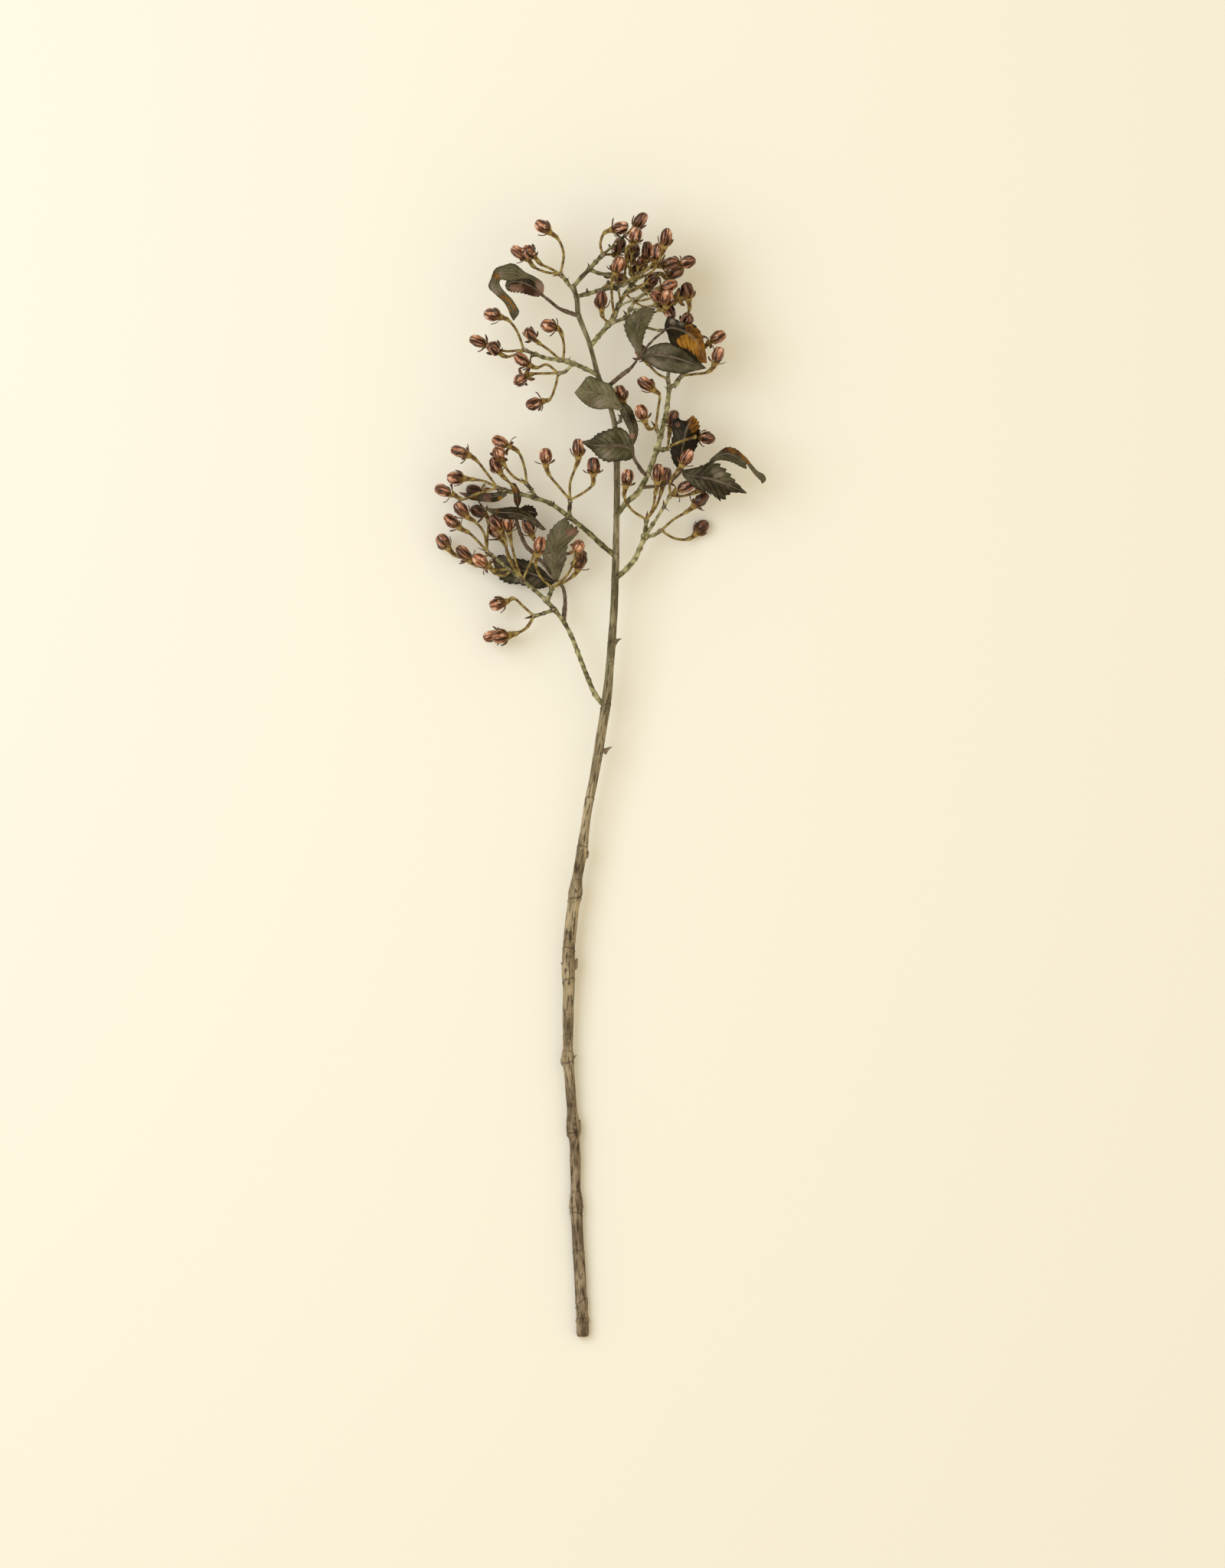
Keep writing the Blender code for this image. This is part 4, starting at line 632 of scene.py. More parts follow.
# %% Leaves
LEAF_OLIVE = [
    (0.0, (0.055, 0.035, 0.012)), (0.3, (0.155, 0.125, 0.06)), (0.65, (0.36, 0.345, 0.235)),
    (1.0, (0.51, 0.485, 0.375)),
]
LEAF_PAINTED_SHEEN = [(0.38, (0.35, 0.315, 0.25)), (0.62, (0.53, 0.48, 0.425))]
LEAF_DRY = [(0.36, (0.25, 0.14, 0.04)), (0.5, (0.46, 0.30, 0.09)), (0.64, (0.64, 0.45, 0.155))]
LEAF_STREAK = (0.17, 0.10, 0.035)  # dark veins of a dried, ochre part
LEAF_FOLD = [(0.38, (0.24, 0.14, 0.09)), (0.62, (0.54, 0.415, 0.34))]
LEAF_VEIN_AND_SHADE = (0.13, 0.105, 0.05)
LEAF_RIB = (0.53, 0.47, 0.41)
LEAF_EDGE = (0.10, 0.075, 0.04)
LEAF_BACK = [(0.36, (0.25, 0.19, 0.12)), (0.64, (0.42, 0.35, 0.27))]
LEAF_STALK = [(0.36, (0.22, 0.16, 0.115)), (0.64, (0.45, 0.375, 0.30))]


def broken(tree, name, noise_factor):
    """A soft spot that the mesh carries, its edge broken up by a noise, fuller between veins."""
    spot = combine(tree, "ADD", read(tree, name), noise_factor)
    spot = combine(tree, "ADD", spot, window(tree, read(tree, "bulge"), 0.0, 1.0, most=0.4))
    inside = window(tree, read(tree, name), 0.03, 0.3)
    return combine(tree, "MULTIPLY", window(tree, spot, 1.0, 1.25), inside)


def leaf_top_paint():
    paint, tree, shader = new_paint("leaf_paint", roughness=0.55, gloss=0.14)
    patches = speckle(tree, 110.0, detail=3.0)
    fine = speckle(tree, 420.0, detail=3.0)
    bulge = read(tree, "bulge")
    tone = window(tree, read(tree, "tone"), 0.0, 1.0, most=0.6)
    shade = combine(tree, "ADD", tone, window(tree, patches, 0.34, 0.66, most=0.25))
    # Painted highlight: the bulges between the veins are lighter.
    shade = combine(tree, "ADD", shade, window(tree, bulge, 0.0, 0.9, most=0.15))
    colour = ramp(tree, shade, LEAF_OLIVE)
    # Painted sheen: a pale grey sheen in patches on the bulges.
    painted_bulge_sheen = window(tree, bulge, 0.2, 0.9, most=0.4)
    painted_bulge_sheen = combine(tree, "MULTIPLY", painted_bulge_sheen, window(tree, patches, 0.44, 0.6))
    painted_bulge_sheen = combine(tree, "MULTIPLY", painted_bulge_sheen, window(tree, read(tree, "tone"), 0.05, 0.4))
    colour = blend(tree, painted_bulge_sheen, colour, ramp(tree, fine, LEAF_PAINTED_SHEEN))
    # The sheen spots are painted sheen, shown on the bulges.
    sheen = combine(tree, "MULTIPLY", read(tree, "sheen"), window(tree, bulge, 0.1, 0.7, most=0.9))
    colour = blend(tree, broken(tree, "fold", patches), colour, ramp(tree, patches, LEAF_FOLD))
    colour = blend(tree, sheen, colour, ramp(tree, patches, LEAF_PAINTED_SHEEN))
    dry = broken(tree, "dry", patches)
    colour = blend(tree, dry, colour, ramp(tree, patches, LEAF_DRY))
    streak = combine(tree, "ADD", read(tree, "vein"), window(tree, fine, 0.35, 0.65, most=0.6))
    streak = combine(tree, "MULTIPLY", dry, window(tree, streak, 0.75, 1.1, most=0.8))
    colour = blend(tree, streak, colour, LEAF_STREAK)
    # Darker vein lines: partly their own colour, partly painted shade in the pressed-in valleys.
    colour = blend(tree, window(tree, read(tree, "vein"), 0.3, 1.0, most=0.45), colour, LEAF_VEIN_AND_SHADE)
    colour = blend(tree, window(tree, read(tree, "rib"), 0.25, 1.0, most=0.75), colour, LEAF_RIB)
    colour = blend(tree, window(tree, read(tree, "edge"), 0.85, 1.0, most=0.5), colour, LEAF_EDGE)
    set_colour(tree, shader, colour)
    roughen(tree, shader, fine, depth=0.00006)
    return paint


def leaf_back_paint():
    paint, tree, shader = new_paint("leaf_back_paint", roughness=0.65)
    fine = speckle(tree, 520.0)
    colour = ramp(tree, fine, LEAF_BACK)
    colour = blend(tree, window(tree, read(tree, "vein"), 0.3, 1.0, most=0.4), colour, LEAF_RIB)
    colour = blend(tree, broken(tree, "dry", fine), colour, ramp(tree, fine, LEAF_DRY))
    set_colour(tree, shader, colour)
    roughen(tree, shader, fine, depth=0.0003)
    return paint


def leaf_stalk_paint():
    paint, tree, shader = new_paint("leaf_stalk_paint", roughness=0.55)
    grain = speckle(tree, 300.0)
    colour = ramp(tree, grain, LEAF_STALK)
    set_colour(tree, shader, colour)
    roughen(tree, shader, grain, depth=0.0003)
    return paint


LEAF_PAINT = leaf_top_paint()
LEAF_BACK_PAINT = leaf_back_paint()
LEAF_STALK_PAINT = leaf_stalk_paint()
print(LEAF_PAINT.name, LEAF_BACK_PAINT.name, LEAF_STALK_PAINT.name)

# %% [markdown]
# ## The stem's bark
# The stem is one tube with a point about every 0.6 millimetres, as thick as the plan says.
# Then each point of its skin is pushed in or out along its own radius: a raised ring with a
# groove above it at every joint, small pits at the scars, and lengthwise ridges from a noise
# that is stretched along the stem and closes around it. A sculptor would do the same with a
# crease brush, but the joints need to sit at their own places.

# %% The stem
STEM_SIDES = 26
RING_REACH = 4.0  # a ring isn't felt farther away than this
RING_WIDTH = 0.75
GROOVE_PLACE = 1.3  # how far above its ring a groove lies
GROOVE_WIDTH = 0.5
GROOVE_DEPTH = 0.8  # a share of how far its ring stands out
SCAR_DEPTH = 0.5
RIDGES = [(1.6, 0.05, 0.30), (4.5, 0.10, 0.13)]  # how many around, how often along, how deep
UPPER_STOPS = [(-120.0, 0.0), (40.0, 1.0)]  # where the bark turns olive
# where it is paler
PALE_STOPS = [(-250.0, 0.0), (-110.0, 1.0), (10.0, 1.0), (80.0, 0.1), (190.0, 0.3), (280.0, 0.0)]


def stem_skin():
    """The stem's route and widths at every step."""
    rows = smooth(STEM, STEM_STEP)
    route = [Vector((row.x, row.y, stem_height(row.y))) for row in rows]
    return route, [row.z for row in rows]


STEM_ROUTE, STEM_WIDTHS = stem_skin()


def stem_middle(y):
    """The stem's middle at a place along it."""
    steps = (y - STEM_ROUTE[0].y) / (STEM_ROUTE[-1].y - STEM_ROUTE[0].y) * (len(STEM_ROUTE) - 1)
    index = min(max(int(steps), 0), len(STEM_ROUTE) - 1)
    while index and STEM_ROUTE[index].y > y:
        index -= 1
    while index < len(STEM_ROUTE) - 1 and STEM_ROUTE[index + 1].y < y:
        index += 1
    return STEM_ROUTE[index]


def ring_at(away):
    """How dark and how raised the stem is near its rings, at a place away from its middle."""
    dark = 0.0
    raised = 0.0
    for y, lean, swell in STEM_RINGS:
        gap = away.y - y - lean * away.x
        if abs(gap) < RING_REACH:
            collar = math.exp(-((gap / RING_WIDTH) ** 2))
            groove = math.exp(-(((gap - GROOVE_PLACE) / GROOVE_WIDTH) ** 2))
            raised += swell * (collar - GROOVE_DEPTH * groove)
            dark = max(dark, groove * min(1.0, 0.35 + swell * 1.6))
    return dark, raised


def carve_stem(piece):
    """Pushes the skin in and out, and marks the dark joints, the pale and the olive part."""
    joints = []
    uppers = []
    pales = []
    for vert in piece.data.vertices:
        point = vert.co / MM - SHIFT
        middle = stem_middle(point.y)
        away = point - middle
        turn = math.atan2(away.z, away.x)
        around = Vector((math.cos(turn), math.sin(turn), 0.0))
        dark, push = ring_at(Vector((away.x, point.y, away.z)))
        for count, often, deep in RIDGES:
            spot = around * count + Vector((0.0, 0.0, point.y * often))
            push += deep * noise.noise(spot)
        for x, y, radius in STEM_SCARS:
            gap = math.hypot(point.x - x, point.y - y)
            if away.z > 0.0 and gap < 3.0 * radius:
                hole = math.exp(-((gap / radius) ** 2))
                push -= SCAR_DEPTH * hole
                dark = max(dark, hole)
        straight = Vector((away.x, 0.0, away.z))
        if straight.length > 0.4:
            vert.co += straight.normalized() * push * MM
        vert.co.z = max(vert.co.z, 0.0)
        joints.append(dark)
        uppers.append(profile(UPPER_STOPS, point.y))
        pales.append(profile(PALE_STOPS, point.y))
    mark(piece, "joint", joints)
    mark(piece, "upper", uppers)
    mark(piece, "pale", pales)


stem = draw_tubes("stem_bark", [(STEM_ROUTE, STEM_WIDTHS)], STEM_SIDES)
carve_stem(stem)
print("stem:", len(stem.data.vertices), "points")

# %% [markdown]
# ## The plan of the sprays
# Nine sprays and one lone berry grow from the stem. Each has limbs, which fork like twigs,
# and berries on thin stalks. A berry is read from above by its tip and its base. As all
# berries are about equally long, one that looks short must lean toward the eye or away from
# it.

# %% The sprays' places
def berry(tip, base, height, stalk, arch=0.0, faces=1, tone=None):
    """One berry: its tip and base as seen from above, the height of its middle, and its stalk.

    The stalk runs from the end of the swollen receptacle to its root on a twig. A berry that
    looks shorter than it is leans toward the eye (faces=1) or away from it (faces=-1). Its
    tone runs from 0, dark, to 1, pale.
    """
    return {"tip": tip, "base": base, "height": height, "stalk": stalk, "arch": arch,
            "faces": faces, "tone": tone}


# Each spray: its limbs (points x, y, z, then the first and last width), its knobs (x, y, z,
# width), its spikes (root, tip, width) and its berries. A limb's first point is moved onto the
# stem or the limb that carries it. The dense crown also has a web of bare thin stalks, and
# stalks that end in a small withered berry. A spray's "dark", from 0 to 1, darkens its limbs,
# partly as their own darker bark and partly as painted shade among the berries and leaves.
CROWN_LEFT = {
    "dark": 0.3,
    "limbs": [
        ([(-20.8, 305.4, 38.4), (-23, 309, 39.5), (-27, 313.3, 40.5)], 2.3, 2.4),
    ],
    "knobs": [],
    "spikes": [((-27, 313, 40.5), (-31.5, 311.5, 41), 1.4)],
    "berries": [
        berry((-42.2, 345.6), (-33.8, 339.4), 46, [(-28.5, 335.5), (-24.6, 326), (-26.5, 313)]),
        berry((-56.5, 329.5), (-48, 323), 40, [(-43, 317.5), (-36, 314.3), (-27, 313)],
              tone=0.95),
        berry((-48.5, 328.8), (-44, 325), 51, [(-38.5, 319), (-33, 316.5), (-27, 313.3)]),
    ],
}
UPPER_LEFT = {
    "limbs": [
        ([(-2.8, 250, 33.6), (-11, 254, 34.6), (-22, 258.5, 36), (-37, 261, 36.6),
          (-42, 263, 36.8), (-50, 266, 37)], 3, 2),
        ([(-19, 256.5, 35.5), (-24, 252, 37), (-28.5, 251, 38)], 2, 1.9),
    ],
    "knobs": [(-22, 258.5, 36, 3.8), (-42, 263, 36.8, 3.2)],
    "spikes": [((-42, 263, 36.8), (-45.5, 260.5, 38), 1.4),
               ((-22, 258.5, 36), (-20.5, 262, 37), 1.4)],
    "berries": [
        berry((-74.5, 288.8), (-64.3, 286.3), 36, [(-59, 284.3), (-53.5, 277), (-49.8, 266.3)]),
        berry((-82.5, 273.3), (-73, 269), 31, [(-68, 267), (-61, 265), (-50, 265.8)]),
        berry((-70.5, 269.3), (-66, 265), 42, [(-60.5, 261.5), (-54, 263), (-49, 265.6)]),
        berry((-54.7, 262.5), (-46.6, 256.8), 46, [(-41, 254.6), (-35.5, 256.5), (-28.5, 251.3)]),
        berry((-53.8, 245), (-49.2, 248.8), 42, [(-43.5, 250.7), (-36, 251), (-28.5, 251)]),
        berry((-48.2, 230.8), (-38.3, 233.5), 36, [(-33.5, 234.8), (-30, 242), (-28.3, 250.6)]),
        berry((-47.2, 277.6), (-43.8, 273.2), 50, [(-39.3, 269.5), (-33, 265), (-26.5, 260)]),
        berry((-38.8, 282.3), (-29.3, 279.3), 48, [(-25.5, 274.5), (-24.2, 266), (-25, 259.5)]),
    ],
}
CROWN_RIGHT = {
    "dark": 0.75,
    "limbs": [
        ([(-18, 305.6, 38.4), (-13, 311.5, 40), (-8, 316.5, 41.5), (-4.5, 320.5, 42.5),
          (0, 325, 43.5)], 2.7, 2.3),
        ([(0, 325, 43.5), (8, 332, 43), (15, 338, 42.5)], 1.8, 1.5),
        ([(-8, 315.8, 41.5), (-3, 313.6, 41.8), (6, 312.2, 42)], 2.3, 2.1),
    ],
    "knobs": [(-4.5, 320.5, 42.5, 3.2)],
    "spikes": [((-8, 316.5, 41.5), (-9.5, 320, 42.5), 1.3)],
    "berries": [
        berry((16, 343), (6.3, 340.6), 50, [(1, 338.6), (-1.6, 331.5), (-0.2, 325)]),
        berry((26.3, 350.3), (20.3, 342.2), 43, [(17.3, 339.8), (14, 337.1)]),
        berry((11.5, 335.5), (9, 326.8), 34, [(5.5, 325.3), (0.2, 324.9)], tone=0.1),
        berry((14.3, 308.5), (6.6, 311.9), 36.5, [(5, 312.3), (3.5, 312.6)], tone=0.1),
    ],
}
CROWN_MIDDLE = {
    "dark": 0.75,
    "limbs": [
        ([(-16.4, 299, 37.8), (-10, 300.6, 39), (-3, 302.5, 40.5), (5, 304.5, 42),
          (12, 306, 43), (18, 309, 44.5), (24, 313, 45.5), (29, 317, 46)], 2.8, 1.5),
        ([(0, 303.5, 41.3), (4, 308.8, 41.5)], 2, 1.6),
        ([(5, 304.5, 42), (10.5, 302.6, 42.6)], 2, 1.6),
    ],
    "knobs": [(-9.5, 300.7, 39.1, 3.5)],
    "spikes": [((-9.8, 301.5, 39.2), (-10, 304.5, 40), 1.5)],
    "berries": [
        berry((21, 332), (16.5, 323.5), 38, [(14.2, 318), (13.4, 306.7)], tone=0.1),
        berry((28.2, 332.8), (27, 322), 42.5, [(25.8, 317.5), (23.5, 312.7)]),
        berry((35, 332.3), (32.6, 322.3), 48, [(30.8, 319), (28.6, 316.7)]),
        berry((46.8, 320.6), (36.9, 318.4), 43.5, [(33, 317.6), (28.6, 316.7)]),
    ],
    "web": [
        [(-4, 302.2, 40.4), (6, 306.4, 43.5), (17, 309.9, 45.5), (25, 314.3, 46.5),
         (31, 319.4, 46.5)],
    ],
}
CROWN_LOW = {
    "limbs": [
        ([(-7.2, 268.8, 34.8), (-3, 274, 33.8), (3, 281, 33), (7, 287, 33),
          (10, 294, 33.6), (14, 301, 35.5), (18, 306.5, 38), (20.5, 310, 39.5)], 3.2, 2.2),
        ([(3, 281.5, 33), (8, 283.5, 33), (14, 286, 33.5), (17, 291, 34.8),
          (20, 296, 36.5), (27, 301, 39), (34, 304, 41.5)], 2.2, 1.6),
        ([(14, 286, 33.5), (24, 281, 33.5), (36, 278, 34), (46, 281, 35)], 1.8, 1.5),
        ([(17, 291, 34.8), (26, 291.5, 37.5), (33, 294, 40.5)], 1.6, 1.4),
        ([(10, 293, 33.5), (20, 297.5, 39), (28, 302.5, 43)], 1.4, 1.2),
    ],
    "knobs": [(3, 281, 33, 3.9)],
    "spikes": [((14.5, 288, 34), (12.5, 290.5, 35), 1.2),
               ((33, 294, 40.5), (30, 297, 41.5), 1.2)],
    "berries": [
        berry((22, 342), (18.5, 332.8), 57, [(14.6, 328.3), (15, 320), (20.3, 309.8)]),
        berry((40.3, 340.8), (38.4, 330.4), 59, [(36.3, 324.5), (30.5, 314.5), (20.7, 309.5)]),
        berry((27.5, 320), (19.5, 316), 35, [(17.5, 312.5), (20, 309.5)], tone=0.05),
        berry((33.5, 312.8), (28, 304.5), 36, [(24.5, 304), (18, 306.5)], tone=0.2),
        berry((49.8, 316.6), (41, 311.5), 35, [(36.5, 313.5), (30, 313), (20.7, 309.8)]),
        berry((57.6, 321.8), (48.6, 319.3), 42, [(44.2, 315), (40.5, 308.5), (34, 304)], -5),
        berry((45.6, 307.4), (37, 304.4), 47, [(35, 304), (32, 303.2)], tone=0.85),
        berry((40.6, 303.6), (39.4, 293.2), 53, [(36.5, 290.8), (33, 294)], tone=0.8),
        berry((31.2, 300.8), (37.6, 296.8), 45, [(36.5, 293.8), (32.5, 293.8)], tone=0.75),
        berry((51.8, 308), (53.3, 297.5), 43, [(54, 291.3), (51, 285.5), (45.5, 280.9)]),
        berry((49.6, 301), (46.6, 297.4), 40, [(42.8, 294.3), (38, 293), (33, 294)], 0, -1),
        berry((43, 285.5), (40.2, 293.5), 40, [(37.5, 296.5), (33, 294.2)]),
        berry((54.3, 288), (50.5, 281), 36.5, [(48, 280.5), (45, 280.7)]),
        berry((-1, 301.8), (-0.8, 292), 46.5, [(0, 286.2), (3.8, 282.3)]),
        berry((11.3, 323.8), (8, 314.2), 52, [(5.8, 309), (5.6, 299), (6.8, 287.2)], 4.5),
    ],
    "web": [
        [(14, 301, 35.5), (18.9, 296.5, 38), (25.7, 292.6, 38.2), (32, 293.6, 40)],
        [(20, 296, 36.5), (26.5, 297, 41.5), (32.5, 299.5, 43), (34, 304, 41.5)],
        [(18, 306.5, 38), (25, 303.8, 42.5), (31, 298, 43.5), (33, 294, 40.5)],
        [(10, 294, 33.6), (13.5, 299.5, 38.5), (21, 303.5, 41.5), (28.5, 308, 42.5),
         (36.2, 313.2, 36.3)],
    ],
    "withered": [
        [(11, 295.8, 34), (9.5, 304, 39.5), (8.5, 314, 44)],
        [(18, 306.5, 38), (20.5, 311, 42), (22, 317, 45.5)],
        [(20.3, 309.6, 39.3), (17.5, 317, 43), (18, 325, 46)],
        [(14, 301, 35.5), (20.5, 304.5, 40), (27, 307.5, 43)],
        [(26, 291.5, 37.5), (30.5, 288.8, 39), (35, 290.5, 41)],
    ],
}
UPPER_RIGHT = {
    "limbs": [
        ([(8.3, 162.5, 26.6), (15, 171, 27.2), (21, 176, 27.6), (25, 182, 28),
          (31, 196, 29.5), (34, 205, 30.4), (38.5, 222, 31.8), (40, 230, 32.5),
          (41.5, 243.5, 33.4)], 3.6, 2.8),
        ([(41.5, 243.5, 33.4), (40.5, 247.5, 34.5), (41, 252.5, 35.8)], 2.2, 1.6),
        ([(41.5, 243, 33.4), (45, 243.8, 33.5), (47, 247, 33.5), (49.8, 250.4, 33.5)], 2.4, 2.2),
        ([(36, 211.5, 31), (34, 215, 33), (32.5, 218, 35)], 2.4, 2),
        ([(33.5, 203.5, 30.3), (37.5, 203.6, 30), (41, 204.5, 29)], 2.6, 2.2),
    ],
    "knobs": [(46.2, 245.5, 33.5, 3.6), (37.3, 203.6, 30, 3.4)],
    "spikes": [((32.5, 218, 35), (30, 221.5, 37), 1.3),
               ((41, 240, 33.2), (37.8, 243, 34), 1.3)],
    "berries": [
        berry((21.8, 232), (25.8, 221.8), 45.5, [(29.6, 216.2), (32.5, 217.6)], tone=0.95),
        berry((22.6, 247.8), (31.2, 241), 43.5, [(35, 238.3), (34.4, 229), (32.8, 218.3)]),
        berry((21.8, 268.5), (25.8, 260.8), 32, [(29, 256.3), (34, 251), (40.6, 247.2)]),
        berry((76, 276.4), (67, 270.6), 36, [(62, 266), (55, 257.5), (49.7, 250.3)]),
        berry((73.2, 267.6), (69.8, 257.4), 41, [(65.5, 252), (57, 250.6), (49.7, 250.4)]),
        berry((69.6, 210), (60.6, 211.4), 35, [(56.5, 211), (49, 208.6), (40.8, 204.4)], 19),
        berry((44.8, 227.5), (42.4, 218), 27, [(41.3, 212), (40.9, 204.5)]),
    ],
}
LOWER_RIGHT = {
    "limbs": [
        ([(7.6, 123, 23.7), (15, 129.5, 23.5), (20, 135.5, 23), (23, 142, 22.5),
          (26, 149.5, 22)], 3.4, 3),
        ([(26, 149, 22), (26.5, 154, 22.8), (27.2, 160.5, 25)], 2.6, 2.3),
        ([(26, 149, 22), (31, 157, 23), (38, 168, 25), (42.3, 175.5, 27)], 2.3, 2),
        ([(26, 149, 22), (32, 150.5, 20), (36.8, 153.6, 18)], 2.5, 2.1),
    ],
    "knobs": [(26, 149.5, 22, 4.4)],
    "spikes": [((27.2, 160, 25), (27.7, 165.5, 27), 1.5),
               ((38, 168, 25), (41.8, 165.5, 26), 1.4),
               ((38, 168.5, 25), (37.5, 172, 27.5), 1.3)],
    "berries": [
        berry((15.8, 191.8), (14.2, 181), 39, [(13.2, 174.6), (17.5, 166.5), (27, 160.3)]),
        berry((35, 194.4), (34, 183.4), 40, [(32.7, 176), (31, 167), (27.6, 160.6)]),
        berry((39.8, 193), (37.6, 182.6), 17.5, [(36, 176), (33, 168), (27.6, 160.2)]),
        berry((56.2, 182.2), (46.4, 178), 28, [(44, 176.4), (41.8, 174.8)]),
        berry((55, 203.4), (49.6, 194.3), 48, [(46.2, 190.2), (42, 183.5), (42, 175.2)], tone=0.75),
        berry((66.5, 185), (59.8, 178.8), 25, [(55.5, 176.3), (49, 174.6), (42, 175.2)]),
        berry((65, 176), (57, 168.6), 21.5, [(51.3, 164.4), (44, 160), (36.7, 153.7)]),
        berry((65.3, 159.4), (58.2, 151.6), 4.74, [(52.6, 147.8), (44.6, 148.4), (36.7, 153.4)]),
    ],
}
MIDDLE_LEFT = {
    "dark": 0.9,
    "limbs": [
        ([(7.9, 137, 24.7), (-1, 144.5, 25.5), (-8, 151, 26), (-21, 161.5, 27),
          (-33, 170, 26.8), (-44, 174, 26), (-58, 177.5, 25), (-66.5, 180, 24)], 3.3, 2.2),
        ([(-21, 161.5, 27), (-20.8, 167, 29), (-20.5, 172.8, 31.5)], 2.5, 2.2),
        ([(-42, 173.3, 26.1), (-45, 179, 27.5), (-48.2, 182.8, 29)], 2.3, 2),
    ],
    "knobs": [(-21, 161.5, 27, 3.8), (-43, 174.5, 26.3, 3.4)],
    "spikes": [((-30, 168, 26.8), (-31, 171.8, 27.5), 1.4),
               ((-44, 177, 27), (-48, 176.5, 28.5), 1.4),
               ((-48, 182.8, 29), (-51.5, 185.8, 30), 1.3),
               ((-66, 180, 24), (-64.5, 175, 25), 1.5)],
    "berries": [
        berry((-36.2, 205.3), (-35.5, 194.2), 40, [(-33.6, 188), (-28, 181), (-20.7, 172.8)]),
        berry((-15.6, 209.9), (-15.4, 199), 45, [(-17, 192.6), (-20.4, 183), (-20.5, 172.8)]),
        berry((-6, 199.2), (-6, 188.3), 40, [(-6.4, 181.8), (-11.5, 177.2), (-20.3, 172.6)]),
        berry((-68.6, 210.7), (-59, 206), 38, [(-53, 202.3), (-48.6, 191), (-48, 182.8)]),
        berry((-66.2, 204), (-63.8, 199.6), 47, [(-61, 193.2), (-55.5, 186.5), (-48.4, 182.8)]),
        berry((-69, 199), (-64.5, 190), 36, [(-60.6, 185.2), (-55, 179.8), (-52, 176)]),
        berry((-94.4, 204), (-84.2, 200.2), 30, [(-79, 197), (-73, 189.5), (-66.7, 180.3)]),
        berry((-97.8, 186.4), (-87, 185.6), 25, [(-80.5, 185), (-74.5, 184), (-66.7, 180.2)]),
        berry((-104.7, 180), (-94.5, 176), 20, [(-88, 172.8), (-79, 176), (-66.7, 179.8)],
              tone=0.7),
        berry((-85, 179.6), (-76, 176.6), 6.6, [(-71.5, 174), (-66, 176), (-61.5, 178.4)]),
    ],
}
LOWER_LEFT = {
    "dark": 0.35,
    "limbs": [
        ([(1.6, 43, 18.2), (-5, 51, 18.8), (-9, 60, 19), (-16, 78, 19.4),
          (-20, 88, 19.5), (-25, 97, 19.5), (-36, 110, 19), (-43, 116.3, 18.5),
          (-56, 127, 17.3), (-73, 140.5, 15.5)], 3.1, 2.1),
        ([(-31, 103.5, 19.2), (-37, 101.5, 19), (-43.7, 99.6, 18.5)], 2.3, 2),
        ([(-35, 109, 19), (-33, 113.5, 21), (-31.6, 118.2, 23.5)], 2.7, 2.5),
    ],
    "knobs": [(-50, 122.2, 18, 3.2)],
    "spikes": [((-43.7, 99.6, 18.5), (-49, 98.3, 19.5), 1.8),
               ((-73, 140.5, 15.5), (-78.5, 142, 17.5), 1.6),
               ((-16.5, 80, 19.4), (-18, 82.5, 20.4), 1.3)],
    "berries": [
        berry((-71, 105.7), (-61.3, 108.6), 15, [(-56, 110.8), (-50, 106), (-43.7, 99.6)],
              tone=0.7),
        berry((-74, 86.5), (-64.3, 88.2), 11, [(-56, 89.3), (-49.8, 91), (-43.6, 99.3)], tone=0.8),
        berry((-69.5, 86), (-59.4, 87.2), 21, [(-53.5, 89), (-47, 93), (-43.4, 99.5)], tone=0.85),
        berry((-38.4, 149), (-40.6, 138.4), 36, [(-42, 132.3), (-39, 124.5), (-31.8, 118.2)]),
        berry((-14.6, 145.4), (-15.9, 140.8), 37, [(-17.6, 134.5), (-23, 124.5), (-31.4, 118.2)]),
        berry((-12.3, 139.3), (-15.6, 129.4), 23, [(-19, 124.6), (-24, 121), (-31.4, 117.8)],
              tone=0.2),
        berry((-48.6, 159.8), (-44.6, 151), 21.5, [(-41.5, 145.8), (-43.5, 137.5), (-50, 122.4)]),
        berry((-59.7, 163), (-58.6, 153.2), 21.5, [(-57.5, 147), (-55, 136), (-50.1, 122.6)]),
        berry((-69.4, 162.8), (-64.4, 153.8), 21.5, [(-61, 147.5), (-59.5, 137), (-50.5, 122.8)]),
        berry((-70.4, 157.2), (-64.4, 149.2), 13, [(-61.5, 144.6), (-58, 136), (-50.8, 123)]),
        berry((-81, 137.4), (-72.3, 131.6), 24, [(-67, 126.6), (-62, 125), (-57.6, 128.2)],
              tone=1.0),
        berry((-90.6, 143.2), (-83.4, 134.8), 16, [(-78.5, 131.3), (-70, 129.3), (-58.4, 128.8)],
              tone=0.3),
        berry((-103.4, 151), (-96.7, 142.4), 12, [(-91.5, 137.4), (-80, 135), (-70.5, 138.4)], -4,
              tone=0.8),
        berry((-98.4, 162.3), (-90, 155.4), 20, [(-84, 152), (-78.5, 147), (-73, 140.6)]),
        berry((-92.3, 170.4), (-85.3, 162.6), 26, [(-80.5, 159.3), (-74.5, 152), (-72.8, 140.8)]),
        berry((-81.8, 167), (-74.4, 163.6), 18, [(-71.5, 158.5), (-72, 150), (-72.6, 140.6)]),
    ],
}
